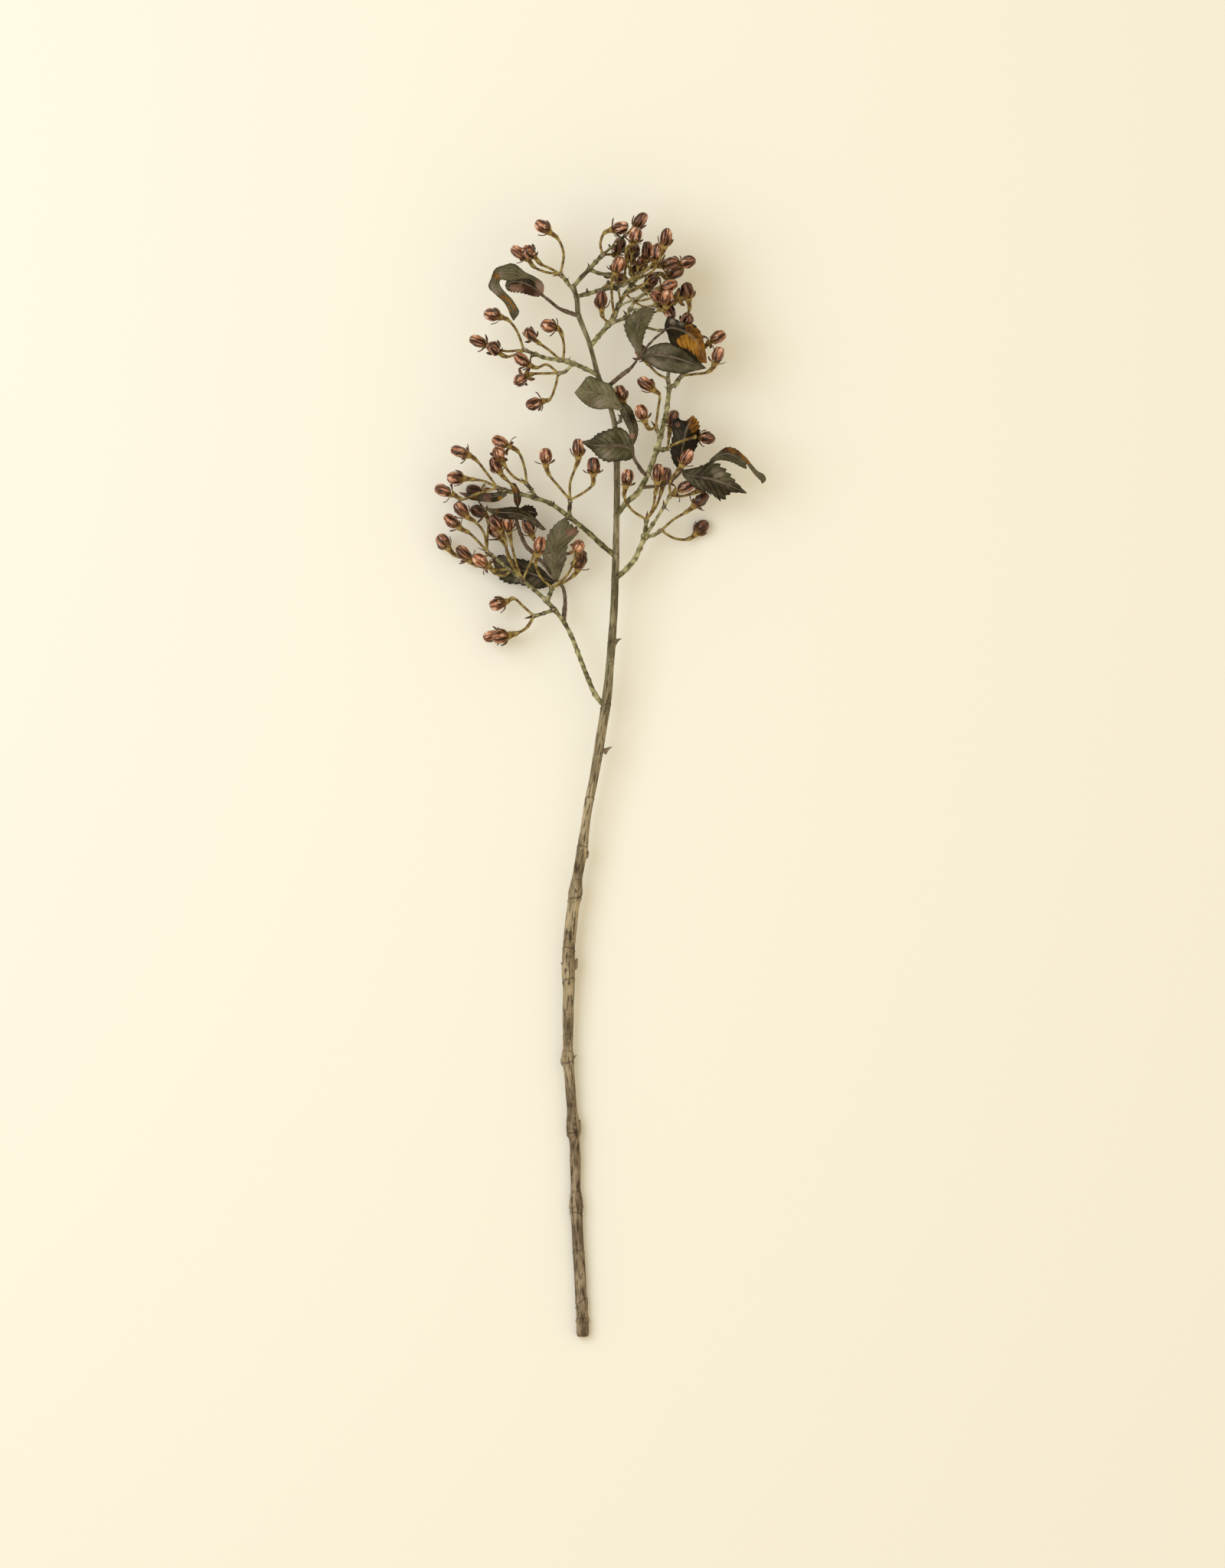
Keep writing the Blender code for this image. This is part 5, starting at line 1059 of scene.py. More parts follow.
LONE_STALK = {
    "limbs": [([(7.1, 220, 31), (10.3, 220.8, 31.3), (11.2, 225, 31.2)], 1.8, 1.4)],
    "knobs": [],
    "spikes": [((11, 223.5, 31.2), (9, 226, 32.5), 1)],
    "berries": [berry((9, 244), (12.4, 234.2), 30, [(14.2, 229.3), (11.2, 224.5)])],
}
CROWN = (CROWN_LEFT, CROWN_RIGHT, CROWN_MIDDLE, CROWN_LOW)
print("crown berries:", sum(len(plan["berries"]) for plan in CROWN))

# %% [markdown]
# ## Buds, thorns and the cut twig
# A bud is an egg that ends in a point, with a scale that wraps its lower half. A thorn is a
# hooked cone, and a bract a small flat scale that bends over at its tip. All three are
# extruded step by step from a filled circle. The stub is what is left of a side twig after a
# clean cut: a short cylinder with a sunk pith. Each is modelled once, one unit to a millimetre
# because the merge distances of edit mode suit that size, and then copied along its
# root-to-tip line in the plan.

# %% Picking points in edit mode
def pick(wanted):
    """In edit mode, selects the points that the rule wants, and no others."""
    bpy.ops.mesh.select_all(action="DESELECT")
    mesh = bmesh.from_edit_mesh(bpy.context.object.data)
    for vert in mesh.verts:
        if wanted(vert.co):
            vert.select = True
    mesh.select_flush(True)
    bmesh.update_edit_mesh(bpy.context.object.data)


def apply_modifier(piece, kind, **settings):
    """Adds a modifier with its settings and applies it."""
    only(piece)
    modifier = piece.modifiers.new(kind.lower(), kind)
    for setting, value in settings.items():
        setattr(modifier, setting, value)
    bpy.ops.object.modifier_apply(modifier=modifier.name)


def round_off(piece):
    apply_modifier(piece, "SUBSURF", levels=1, render_levels=1)


def grow(step, size):
    """In edit mode, extrudes what is picked by a step, then resizes it about its middle."""
    bpy.ops.mesh.extrude_region_move(TRANSFORM_OT_translate={"value": step})
    mesh = bmesh.from_edit_mesh(bpy.context.object.data)
    picked = [vert.co.copy() for vert in mesh.verts if vert.select]
    middle = sum(picked, Vector()) / len(picked)
    bpy.ops.transform.resize(value=(size, size, size), center_override=middle)


print("edit mode helpers are ready")

# %% One bud, one thorn, one stub, one bract, all about one unit long and pointing up
# Each step of growth: how far it goes and how much it resizes
BUD_STEPS = [
    ((0.0, 0.0, 0.12), 1.3), ((0.0, 0.0, 0.22), 1.12), ((0.0, 0.0, 0.03), 0.86),
    ((0.0, 0.0, 0.2), 0.92), ((0.0, 0.05, 0.22), 0.62), ((0.0, 0.04, 0.15), 0.4),
]
THORN_STEPS = [
    ((0.0, 0.0, 0.18), 0.74), ((0.0, 0.06, 0.25), 0.66), ((0.0, 0.1, 0.25), 0.55),
    ((0.0, 0.14, 0.2), 0.4), ((0.0, 0.12, 0.1), 0.3),
]
BRACT_STEPS = [
    ((0.0, 0.05, 0.3), 0.86), ((0.0, 0.12, 0.3), 0.72), ((0.0, 0.05, 0.25), 0.5),
    ((0.0, -0.05, 0.15), 0.2),
]


def sprout(sides, radius, steps, flat=1.0):
    """Grows a closed shape from a filled circle; flat says how thick it is for its width."""
    deselect()
    bpy.ops.mesh.primitive_circle_add(vertices=sides, radius=radius, fill_type="NGON")
    in_edit_mode()
    if flat < 1.0:
        bpy.ops.transform.resize(value=(1.0, flat, 1.0), center_override=(0.0, 0.0, 0.0))
    for step, size in steps:
        grow(step, size)
    in_object_mode()
    shape = bpy.context.object
    tidy_mesh(shape)
    return shape


def model_stub():
    deselect()
    bpy.ops.mesh.primitive_cylinder_add(vertices=14, radius=0.5, depth=1.0, location=(0.0, 0.0, 0.5))
    in_edit_mode()
    pick(lambda point: point.z > 0.9)
    bpy.ops.transform.resize(value=(0.82, 0.82, 1.0), center_override=(0.0, 0.0, 1.0))
    bpy.ops.mesh.select_mode(type="FACE")
    bpy.ops.mesh.inset(thickness=0.07)
    bpy.ops.transform.translate(value=(0.0, 0.0, -0.02))
    bpy.ops.mesh.inset(thickness=0.2)
    bpy.ops.transform.translate(value=(0.0, 0.0, -0.03))
    in_object_mode()
    return bpy.context.object


BUD = sprout(sides=8, radius=0.34, steps=BUD_STEPS)
round_off(BUD)
THORN = sprout(sides=8, radius=0.62, steps=THORN_STEPS)
round_off(THORN)
STUB = model_stub()
BRACT_SHAPE = sprout(sides=6, radius=0.5, steps=BRACT_STEPS, flat=0.5)
print("faces:", [len(shape.data.polygons) for shape in (BUD, THORN, STUB, BRACT_SHAPE)])

# %% [markdown]
# ## Copies along a line
# A copy gets its own mesh, is stretched to its length and width, stood on its root and turned
# toward its tip. Its place goes into its mesh when the copies are joined, so the finished
# piece's object stays at the origin, unturned and unscaled.

# %% Copies and the stem's buds
STUB_TIP = 2.0  # a tip that is wider than this is a cut twig's
THORN_TIP = 1.0  # and one that is narrower than this is a thorn's
BUD_RISE = 0.6  # how much higher than the stem's middle a tip is
BUD_FAT = 1.15
BUD_LONG = 1.04


def copy_of(shape, root, way, size, twist=0.0):
    """A copy of the shape with its own mesh, stood at its root and pointing its way."""
    only(shape)
    bpy.ops.object.duplicate()
    twin = bpy.context.object
    turn = way.to_track_quat("Z", "Y").to_matrix().to_4x4() @ Matrix.Rotation(twist, 4, "Z")
    twin.matrix_world = Matrix.Translation(place(root)) @ turn @ Matrix.Diagonal((*size, 1.0 / MM)) * MM
    return twin


def bud_on_stem(row):
    """A bud, a thorn or the cut twig, from its row in the plan."""
    root_x, root_y, tip_x, tip_y, wide, narrow = row
    root = Vector((root_x, root_y, stem_height(root_y)))
    tip = Vector((tip_x, tip_y, stem_height(tip_y) + BUD_RISE))
    shape = STUB if narrow > STUB_TIP else THORN if narrow < THORN_TIP else BUD
    fat = 1.0 if shape is STUB else BUD_FAT
    way = tip - root
    return copy_of(shape, root, way, (wide * fat, wide * fat, way.length * BUD_LONG), math.pi / 2.0)


buds = [bud_on_stem(row) for row in STEM_BUDS]
for bud in buds:
    flat_marks(bud, joint=0.12, upper=0.0, pale=0.2)
stem = join("stem_bark", [stem] + buds)
print("stem with buds:", len(stem.data.polygons), "faces")

# %% [markdown]
# ## The cut end
# The butt was cut with shears, so it shows a rim of bark, pale wood with a darker pith, and
# slightly rounded corners. A filled circle is extruded a little, just outside the end of the
# bark tube, and its face is inset three times: the rim drops, the wood bulges, the pith sinks.

# %% The cut end
CUT_WOOD = [(0.36, (0.46, 0.36, 0.24)), (0.64, (0.70, 0.60, 0.45))]
CUT_END_DEPTH = 0.3
CUT_INSETS = [(0.35, -0.12), (1.3, 0.05), (0.5, -0.2)]  # how far in, how far up or down


def model_cut_end():
    x, y, width = STEM[0]
    deselect()
    bpy.ops.mesh.primitive_circle_add(vertices=26, radius=width / 2.0, fill_type="NGON")
    in_edit_mode()
    bpy.ops.mesh.select_mode(type="FACE")
    bpy.ops.mesh.extrude_region_move(TRANSFORM_OT_translate={"value": (0.0, 0.0, CUT_END_DEPTH)})
    bpy.ops.transform.resize(value=(0.92, 0.92, 1.0), center_override=(0.0, 0.0, CUT_END_DEPTH))
    for thickness, step in CUT_INSETS:
        bpy.ops.mesh.inset(thickness=thickness)
        bpy.ops.transform.translate(value=(0.0, 0.0, step))
    in_object_mode()
    end = bpy.context.object
    tidy_mesh(end)
    turn = Matrix.Rotation(math.pi / 2.0, 4, "X")
    end.matrix_world = Matrix.Translation(place((x, y + 0.1, stem_height(y)))) @ turn @ Matrix.Scale(MM, 4)
    return join("cut_end", [end])


def cut_wood_paint():
    paint, tree, shader = new_paint("cut_wood_paint", roughness=0.8)
    set_colour(tree, shader, ramp(tree, speckle(tree, 900.0), CUT_WOOD))
    return paint


cut_end = model_cut_end()
dress(stem, "main_stem", BARK_PAINT)
dress(cut_end, "main_stem", cut_wood_paint())

# %% [markdown]
# ## One berry
# The berry starts as a sphere with four columns of faces for each of its five lobes. In edit
# mode it is stretched to its length, every fourth column of points is drawn in toward the
# middle as a seam and creased, the middles of the lobes are pushed out a little, and the tip
# is made blunter. One level of subdivision then rounds the lobes and keeps the seams sharp.

# %% One berry, one unit to a millimetre
BERRY_LENGTH = 10.6
BERRY_WIDTH = 8.2
BERRY_LOBES = 5
SEAM_SIZE = 0.88  # how far out the seams are, for a round berry's 1
SEAM_CREASE = 0.8
LOBE_SIZE = 1.03
TIP_SIZE = 1.1
TIP_PUSH = 0.35  # how far the very tip is pushed in
BERRY_FOOT = 3.4  # how far up its yellowish foot reaches


def column(point):
    """Which column of points this is, counted from a seam; none at the two poles."""
    if math.hypot(point.x, point.y) < 0.3:
        return None
    turn = math.atan2(point.y, point.x) / math.tau * BERRY_LOBES * 4
    return round(turn) % 4


def model_berry():
    deselect()
    bpy.ops.mesh.primitive_uv_sphere_add(segments=4 * BERRY_LOBES, ring_count=12, radius=1.0)
    berry_shape = bpy.context.object
    in_edit_mode()
    middle = (0.0, 0.0, BERRY_LENGTH / 2.0)
    bpy.ops.transform.resize(value=(BERRY_WIDTH / 2.0, BERRY_WIDTH / 2.0, BERRY_LENGTH / 2.0))
    bpy.ops.transform.translate(value=middle)
    pick(lambda point: column(point) == 0)
    bpy.ops.transform.resize(value=(SEAM_SIZE, SEAM_SIZE, 1.0), center_override=middle)
    bpy.ops.transform.edge_crease(value=SEAM_CREASE)
    pick(lambda point: column(point) == 2)
    bpy.ops.transform.resize(value=(LOBE_SIZE, LOBE_SIZE, 1.0), center_override=middle)
    pick(lambda point: point.z > BERRY_LENGTH * 0.8)
    bpy.ops.transform.resize(value=(TIP_SIZE, TIP_SIZE, 1.0), center_override=middle)
    pick(lambda point: point.z > BERRY_LENGTH - 0.05)
    bpy.ops.transform.translate(value=(0.0, 0.0, -TIP_PUSH))
    in_object_mode()
    points = [vert.co.copy() for vert in berry_shape.data.vertices]
    mark(berry_shape, "lobe", [(0.0, 0.75, 1.0, 0.75)[column(point) or 0] for point in points])
    mark(berry_shape, "foot", [max(1.0 - point.z / BERRY_FOOT, 0.0) for point in points])
    round_off(berry_shape)
    bpy.ops.object.shade_smooth()
    return berry_shape


BERRY_SHAPE = model_berry()
print("a berry has", len(BERRY_SHAPE.data.polygons), "faces")

# %% [markdown]
# ## One calyx
# A ring of ten points is extruded up into a shallow cup. Then each fifth of its rim is picked
# and extruded four times, first wider and then narrower, into a pointed sepal. A thin solid
# wall and one subdivision finish it. Three calyxes are made this way: one spread, one that
# hugs the berry and one that has bent back, as on the real dried fruit.

# %% Three calyxes
# Each step of a sepal: how far out, how far up, how much wider
SEPAL_STEPS = {
    "spread": [(0.9, 0.25, 2.1), (1.3, 0.5, 1.08), (1.2, 0.7, 0.74), (0.7, 0.8, 0.25)],
    "hugging": [(1.1, 0.45, 2.1), (1.0, 1.2, 1.08), (0.6, 1.4, 0.74), (0.35, 1.2, 0.25)],
    "bent_back": [(1.0, -0.05, 2.1), (1.4, -0.3, 1.08), (1.2, -0.7, 0.74), (0.6, -1.0, 0.25)],
}
SEPAL_THICKNESS = 0.55
SEPAL_UNEVEN = 0.14  # how much the five sepals differ
CALYX_RIM = 1.9  # where the cup ends and the sepals begin
SEPAL_REACH = 3.0  # from the rim to the tips


def model_calyx(name, steps):
    deselect()
    bpy.ops.mesh.primitive_circle_add(vertices=10, radius=1.5, location=(0.0, 0.0, -1.9))
    calyx = bpy.context.object
    calyx.name = name
    bpy.ops.object.transform_apply(location=True)
    in_edit_mode()
    grow((0.0, 0.0, 1.1), 1.1)
    grow((0.0, 0.0, 0.8), 1.12)
    for i in range(5):
        turn = math.tau * i / 5.0
        out = Vector((math.cos(turn), math.sin(turn), 0.0))
        pick(lambda point: point.z > -0.05 and point.xy.length < 2.0 and point.dot(out) > 1.2)
        for k, (reach, rise, narrow) in enumerate(steps):
            uneven = 1.0 + SEPAL_UNEVEN * math.sin(2.4 * i + k)
            grow(out * reach * uneven + Vector((0.0, 0.0, rise / uneven)), narrow)
    in_object_mode()
    shares = [(vert.co.xy.length - CALYX_RIM) / SEPAL_REACH for vert in calyx.data.vertices]
    mark(calyx, "tip", [min(max(share, 0.0), 1.0) for share in shares])
    tidy_mesh(calyx)
    apply_modifier(calyx, "SOLIDIFY", thickness=SEPAL_THICKNESS, offset=-0.2)
    round_off(calyx)
    bpy.ops.object.shade_smooth()
    return calyx


CALYXES = [model_calyx(name, steps) for name, steps in SEPAL_STEPS.items()]
print("faces:", [len(calyx.data.polygons) for calyx in CALYXES])

# %% [markdown]
# ## Twigs, stalks and berries of a spray
# Every limb is a tube that swells where another grows from it. Each stalk starts under its
# berry as a thick receptacle, as wide as the calyx, narrows to a thin stalk and ends inside
# the twig that carries it. Small pointed bracts sit at the forks and bends. The parts of a
# spray are joined into three pieces: its twigs, its berries and its sepals.

# %% Where a berry sits and how its stalk runs
ROOT_SINK = 0.7  # a root stays this far from the end of the limb that carries it
CALYX_FOOT = 1.9  # how far below its berry a calyx ends
TWIG_STEP = 0.8
STALK_STEP = 0.8
RECEPTACLE_WIDTH = 3.0
STALK_WIDTH = 1.6
THIN_WIDTH = 1.35
ROOT_WIDTH = 2.2
STALK_UNEVEN = 0.06


def nearest_on(lines, x, y):
    """The point of the carriers' middle lines that is nearest, seen from above."""
    best = None
    for line in lines:
        for start, end in zip(line, line[1:]):
            run = Vector(end) - Vector(start)
            away = Vector((x - start[0], y - start[1]))
            most = 1.0 - ROOT_SINK / run.length
            share = min(max(away.dot(run.xy) / run.xy.length_squared, 0.0), most)
            spot = Vector(start) + run * share
            gap = (spot.xy - Vector((x, y))).length
            if best is None or gap < best[0]:
                best = (gap, spot)
    return best[1]


def berry_ends(row):
    """The berry's base and its direction, from how long it looks from above."""
    seen = Vector(row["tip"]) - Vector(row["base"])
    lean = math.sqrt(max(1.0 - (seen.length / BERRY_LENGTH) ** 2, 0.0)) * row["faces"]
    flat = seen.normalized() * math.sqrt(1.0 - lean * lean)
    axis = Vector((flat.x, flat.y, lean))
    middle = (Vector(row["tip"]) + Vector(row["base"])) / 2.0
    base = Vector((middle.x, middle.y, row["height"])) - axis * (BERRY_LENGTH / 2.0)
    return base, axis


def stalk_points(row, lines):
    """The stalk's places from inside the calyx to its root on a twig."""
    base, axis = berry_ends(row)
    root = nearest_on(lines, *row["stalk"][-1])
    flat = [Vector(p) for p in row["stalk"][:-1]] + [root.xy]
    steps = [base.xy.copy()] + flat
    lengths = [(b - a).length for a, b in zip(steps, steps[1:])]
    points = [base - axis * 0.3, base - axis * CALYX_FOOT]
    for i, point in enumerate(flat):
        share = sum(lengths[: i + 1]) / sum(lengths)
        height = base.z + (root.z - base.z) * share + row["arch"] * math.sin(math.pi * share)
        points.append(Vector((point.x, point.y, height)))
    return points


def stalk_tube(row, lines):
    """A stalk's route and widths, thick under the berry and a little thicker at its root."""
    points = stalk_points(row, lines)
    neck = (points[1] - points[0]).length + (points[2] - points[1]).length
    route = smooth(points, STALK_STEP)
    far = distances(route)
    end = far[-1]
    between = [(neck * 0.8, 2.9), (neck, 2.4), (neck + 1.6, 1.65), (end - 2.0, STALK_WIDTH)]
    between = [stop for stop in between if stop[0] < end - 1.0]
    stops = [(0.0, RECEPTACLE_WIDTH)] + between + [(end, ROOT_WIDTH)]
    wave = [1.0 + STALK_UNEVEN * math.sin(1.9 * d + row["tip"][0]) for d in far]
    return route, [profile(stops, d) * uneven for d, uneven in zip(far, wave)]


def thin_tube(points):
    """A bare or withered stalk's route and widths."""
    route = smooth(points, STALK_STEP)
    far = distances(route)
    stops = [(0.0, 2.0), (2.0, THIN_WIDTH), (far[-1] - 2.0, THIN_WIDTH), (far[-1], ROOT_WIDTH)]
    return route, [profile(stops, d) for d in far]


def withered_ends(points):
    """Where a withered berry sits and which way it points: on from the end of its stalk."""
    before, end = Vector(points[-2]), Vector(points[-1])
    axis = (end - before).normalized()
    return end + axis * CALYX_FOOT, axis


print("the first berry:", berry_ends(CROWN_LEFT["berries"][0]))

# %% Limbs, knuckles and bracts
KNUCKLE_REACH = 2.0
KNUCKLE_SWELL = 0.9
BEND_REACH = 1.1
BEND_SWELL = 0.55
LIMB_UNEVEN = 0.05
LIMB_SIDES = 12
STALK_SIDES = 8
FORK_BRACT_LENGTH = 2.3
FORK_BRACT_WIDTH = 1.1
WORN_AT_FORKS = 1.9  # how far the pale, worn skin reaches
WORN_AT_BENDS = 1.4
GNARL = 0.2  # how uneven a twig's skin is


def limb_points(plan):
    """Each limb's places, with its first one moved onto the limb that carries it."""
    lines = [points for points, _, _ in plan["limbs"]]
    moved = [lines[0]]
    for i, line in enumerate(lines[1:], 1):
        moved.append([tuple(nearest_on(lines[:i], *line[0][:2]))] + line[1:])
    return moved


def fork_spots(plan, lines):
    """Where something grows from a limb: the roots of limbs and stalks, and the knuckles."""
    spots = [Vector(line[0]) for line in lines[1:]] + [Vector(line[-1]) for line in lines]
    spots += [nearest_on(lines, *row["stalk"][-1]) for row in plan["berries"]]
    return spots


def bends(lines):
    """Where a limb turns: each is an old joint, with a low ring and sometimes a bract."""
    return [Vector(point) for line in lines for point in line[1:-1]]


def nearness(point, spots, reach):
    """1 at the nearest spot, fading to 0 around it."""
    gap = min([(point - spot).length for spot in spots] + [9.0 * reach])
    return math.exp(-((gap / reach) ** 2))


def limb_tube(line, first, last, spots, joints, knobs):
    """A limb's route and widths, thicker at forks, bends and knobs."""
    route = smooth(line, TWIG_STEP)
    far = distances(route)
    widths = []
    for point, d in zip(route, far):
        width = first + (last - first) * d / far[-1]
        width += KNUCKLE_SWELL * nearness(point, spots, KNUCKLE_REACH)
        width += BEND_SWELL * nearness(point, joints, BEND_REACH)
        for x, y, z, size in knobs:
            width = max(width, size * 1.05 * nearness(point, [Vector((x, y, z))], size * 0.75))
        widths.append(width * (1.0 + LIMB_UNEVEN * math.sin(1.3 * d + line[0][0])))
    return route, widths


def gnarl(piece, depth, coarse=0.9, fine=2.3):
    """Makes the skin uneven along its normals, and keeps all of it above the table."""
    ways = [vert.normal.copy() for vert in piece.data.vertices]
    for vert, way in zip(piece.data.vertices, ways):
        spot = vert.co / MM
        push = depth * (noise.noise(spot * coarse) + 0.5 * noise.noise(spot * fine))
        vert.co += way * push * MM
        vert.co.z = max(vert.co.z, 0.0)


def place_bracts(plan, spots):
    """The planned bracts, and one more at every other fork or bend."""
    rows = list(plan["spikes"])
    for i, spot in enumerate(spots[::2]):
        turn = 2.4 * i + spot.x
        tip = spot + Vector((math.cos(turn), math.sin(turn), 0.5)) * FORK_BRACT_LENGTH
        rows.append((spot, tip, FORK_BRACT_WIDTH))
    bracts = []
    for i, (root, tip, width) in enumerate(rows):
        way = Vector(tip) - Vector(root)
        size = (width * 1.25, width * 1.1, way.length * 1.05)
        bracts.append(copy_of(BRACT_SHAPE, Vector(root), way, size, 1.3 * i))
    return bracts


def make_twigs(name, plan):
    """The limbs, stalks and bracts of a spray as one piece."""
    lines = limb_points(plan)
    spots = fork_spots(plan, lines)
    joints = bends(lines)
    ends = [(first, last) for _, first, last in plan["limbs"]]
    limbs = [limb_tube(line, *end, spots, joints, plan["knobs"]) for line, end in zip(lines, ends)]
    branches = draw_tubes(name, limbs, LIMB_SIDES)
    # The spray's dark value, partly painted shade, goes on every point of its branches.
    flat_marks(branches, stalk=0.0, bract=0.0, dark=plan.get("dark", 0.0))
    skin = [vert.co / MM - SHIFT for vert in branches.data.vertices]
    near_forks = [nearness(point, spots, WORN_AT_FORKS) for point in skin]
    near_bends = [nearness(point, joints, WORN_AT_BENDS) for point in skin]
    mark(branches, "joint", [max(pair) for pair in zip(near_forks, near_bends)])
    gnarl(branches, GNARL)
    thin = [thin_tube(points) for points in plan.get("web", []) + plan.get("withered", [])]
    full = [stalk_tube(row, lines) for row in plan["berries"]]
    stalks = draw_tubes(name + "_stalks", full + thin, STALK_SIDES)
    flat_marks(stalks, stalk=1.0, bract=0.0, joint=0.0, dark=0.0)
    gnarl(stalks, GNARL / 2.0)
    bracts = place_bracts(plan, spots + joints)
    for bract in bracts:
        flat_marks(bract, stalk=0.0, bract=1.0, joint=0.0, dark=0.0)
    twigs = join(name, [branches, stalks] + bracts)
    bpy.ops.object.shade_smooth()
    return twigs


print("knuckles reach", KNUCKLE_REACH, "mm along a twig")

# %% Berries and sepals of a spray
TONE_MIDDLE = 0.38
TONE_SPREAD = 0.3
TONE_STEP = 2.4
SHADE_BY_HEIGHT = 0.025
BERRY_SIZE = 0.98
BERRY_SIZE_SPREAD = 0.055
BERRY_DENTS = 0.45
WITHERED_SIZE = 0.55
CALYX_SIZE = (1.16, 1.16, 1.2)
WITHERED_CALYX_SIZE = (0.9, 0.9, 0.9)
CALYX_ORDER = (0, 1, 0, 2, 0, 1)  # which of the three shapes comes when
SEPAL_DENTS = 0.2


def berry_tone(i, row, middle_height):
    """How pale a berry is, from 0, dark, to 1: its own tone, or a rule's, with painted shade on low ones.
    """
    if row["tone"] is not None:
        return row["tone"]
    # Painted shade: a berry that sits lower than the others of its spray gets a darker tone.
    shade = (row["height"] - middle_height) * SHADE_BY_HEIGHT
    return TONE_MIDDLE + TONE_SPREAD * math.sin(TONE_STEP * i + row["tip"][0]) + shade


def make_berries(name, plan):
    """The berries of a spray as one piece, no two of quite the same size, turn or tone."""
    berries = []
    middle_height = sum(row["height"] for row in plan["berries"]) / len(plan["berries"])
    for i, row in enumerate(plan["berries"]):
        base, axis = berry_ends(row)
        size = BERRY_SIZE + BERRY_SIZE_SPREAD * math.sin(3.7 * i + 1.0)
        twin = copy_of(BERRY_SHAPE, base, axis, (size, size, 2.0 - size), 1.9 * i)
        flat_marks(twin, tone=berry_tone(i, row, middle_height))
        berries.append(twin)
    for i, points in enumerate(plan.get("withered", [])):
        twin = copy_of(BERRY_SHAPE, *withered_ends(points), [WITHERED_SIZE] * 3, 1.3 * i)
        flat_marks(twin, tone=0.0)
        berries.append(twin)
    joined = join(name, berries)
    gnarl(joined, BERRY_DENTS, 0.33, 0.8)
    return joined


def make_sepals(name, plan):
    """The calyxes of a spray as one piece; which of the three shapes each has follows a rule."""
    calyxes = []
    for i, row in enumerate(plan["berries"]):
        base, axis = berry_ends(row)
        shape = CALYXES[CALYX_ORDER[(i + len(name)) % len(CALYX_ORDER)]]
        calyxes.append(copy_of(shape, base, axis, CALYX_SIZE, 1.1 * i))
    for i, points in enumerate(plan.get("withered", [])):
        calyxes.append(copy_of(CALYXES[i % 2], *withered_ends(points), WITHERED_CALYX_SIZE, 0.8 * i))
    joined = join(name, calyxes)
    gnarl(joined, SEPAL_DENTS)
    return joined


SPRAYS = {
    "crown_left": CROWN_LEFT,
    "upper_left": UPPER_LEFT,
    "crown_right": CROWN_RIGHT,
    "crown_middle": CROWN_MIDDLE,
    "crown_low": CROWN_LOW,
    "upper_right": UPPER_RIGHT,
    "lower_right": LOWER_RIGHT,
    "middle_left": MIDDLE_LEFT,
    "lower_left": LOWER_LEFT,
    "lone": LONE_STALK,
}
for spray, plan in SPRAYS.items():
    node = "lone_berry" if spray == "lone" else spray + "_spray"
    dress(make_twigs(spray + "_twigs", plan), node, TWIG_PAINT)
    dress(make_berries(spray + "_berries", plan), node, BERRY_PAINT)
    dress(make_sepals(spray + "_sepals", plan), node, SEPAL_PAINT)

# %% [markdown]
# ## The leaves
# Each leaf has a brown stalk and a few toothed leaflets that have dried and curled. A leaflet
# is planned as rows of three places across it: its midrib and its two edges. It also has a
# tone, and its own depth of teeth and of quilting between its veins. A flat grid is the start.
# Its points are moved onto the surface between those rows, its margin is drawn out in teeth
# that lean to the tip, the side veins are pressed in and what lies between them swells, as in
# a quilt. It then gets a thin solid wall, with the underside in its own paint.

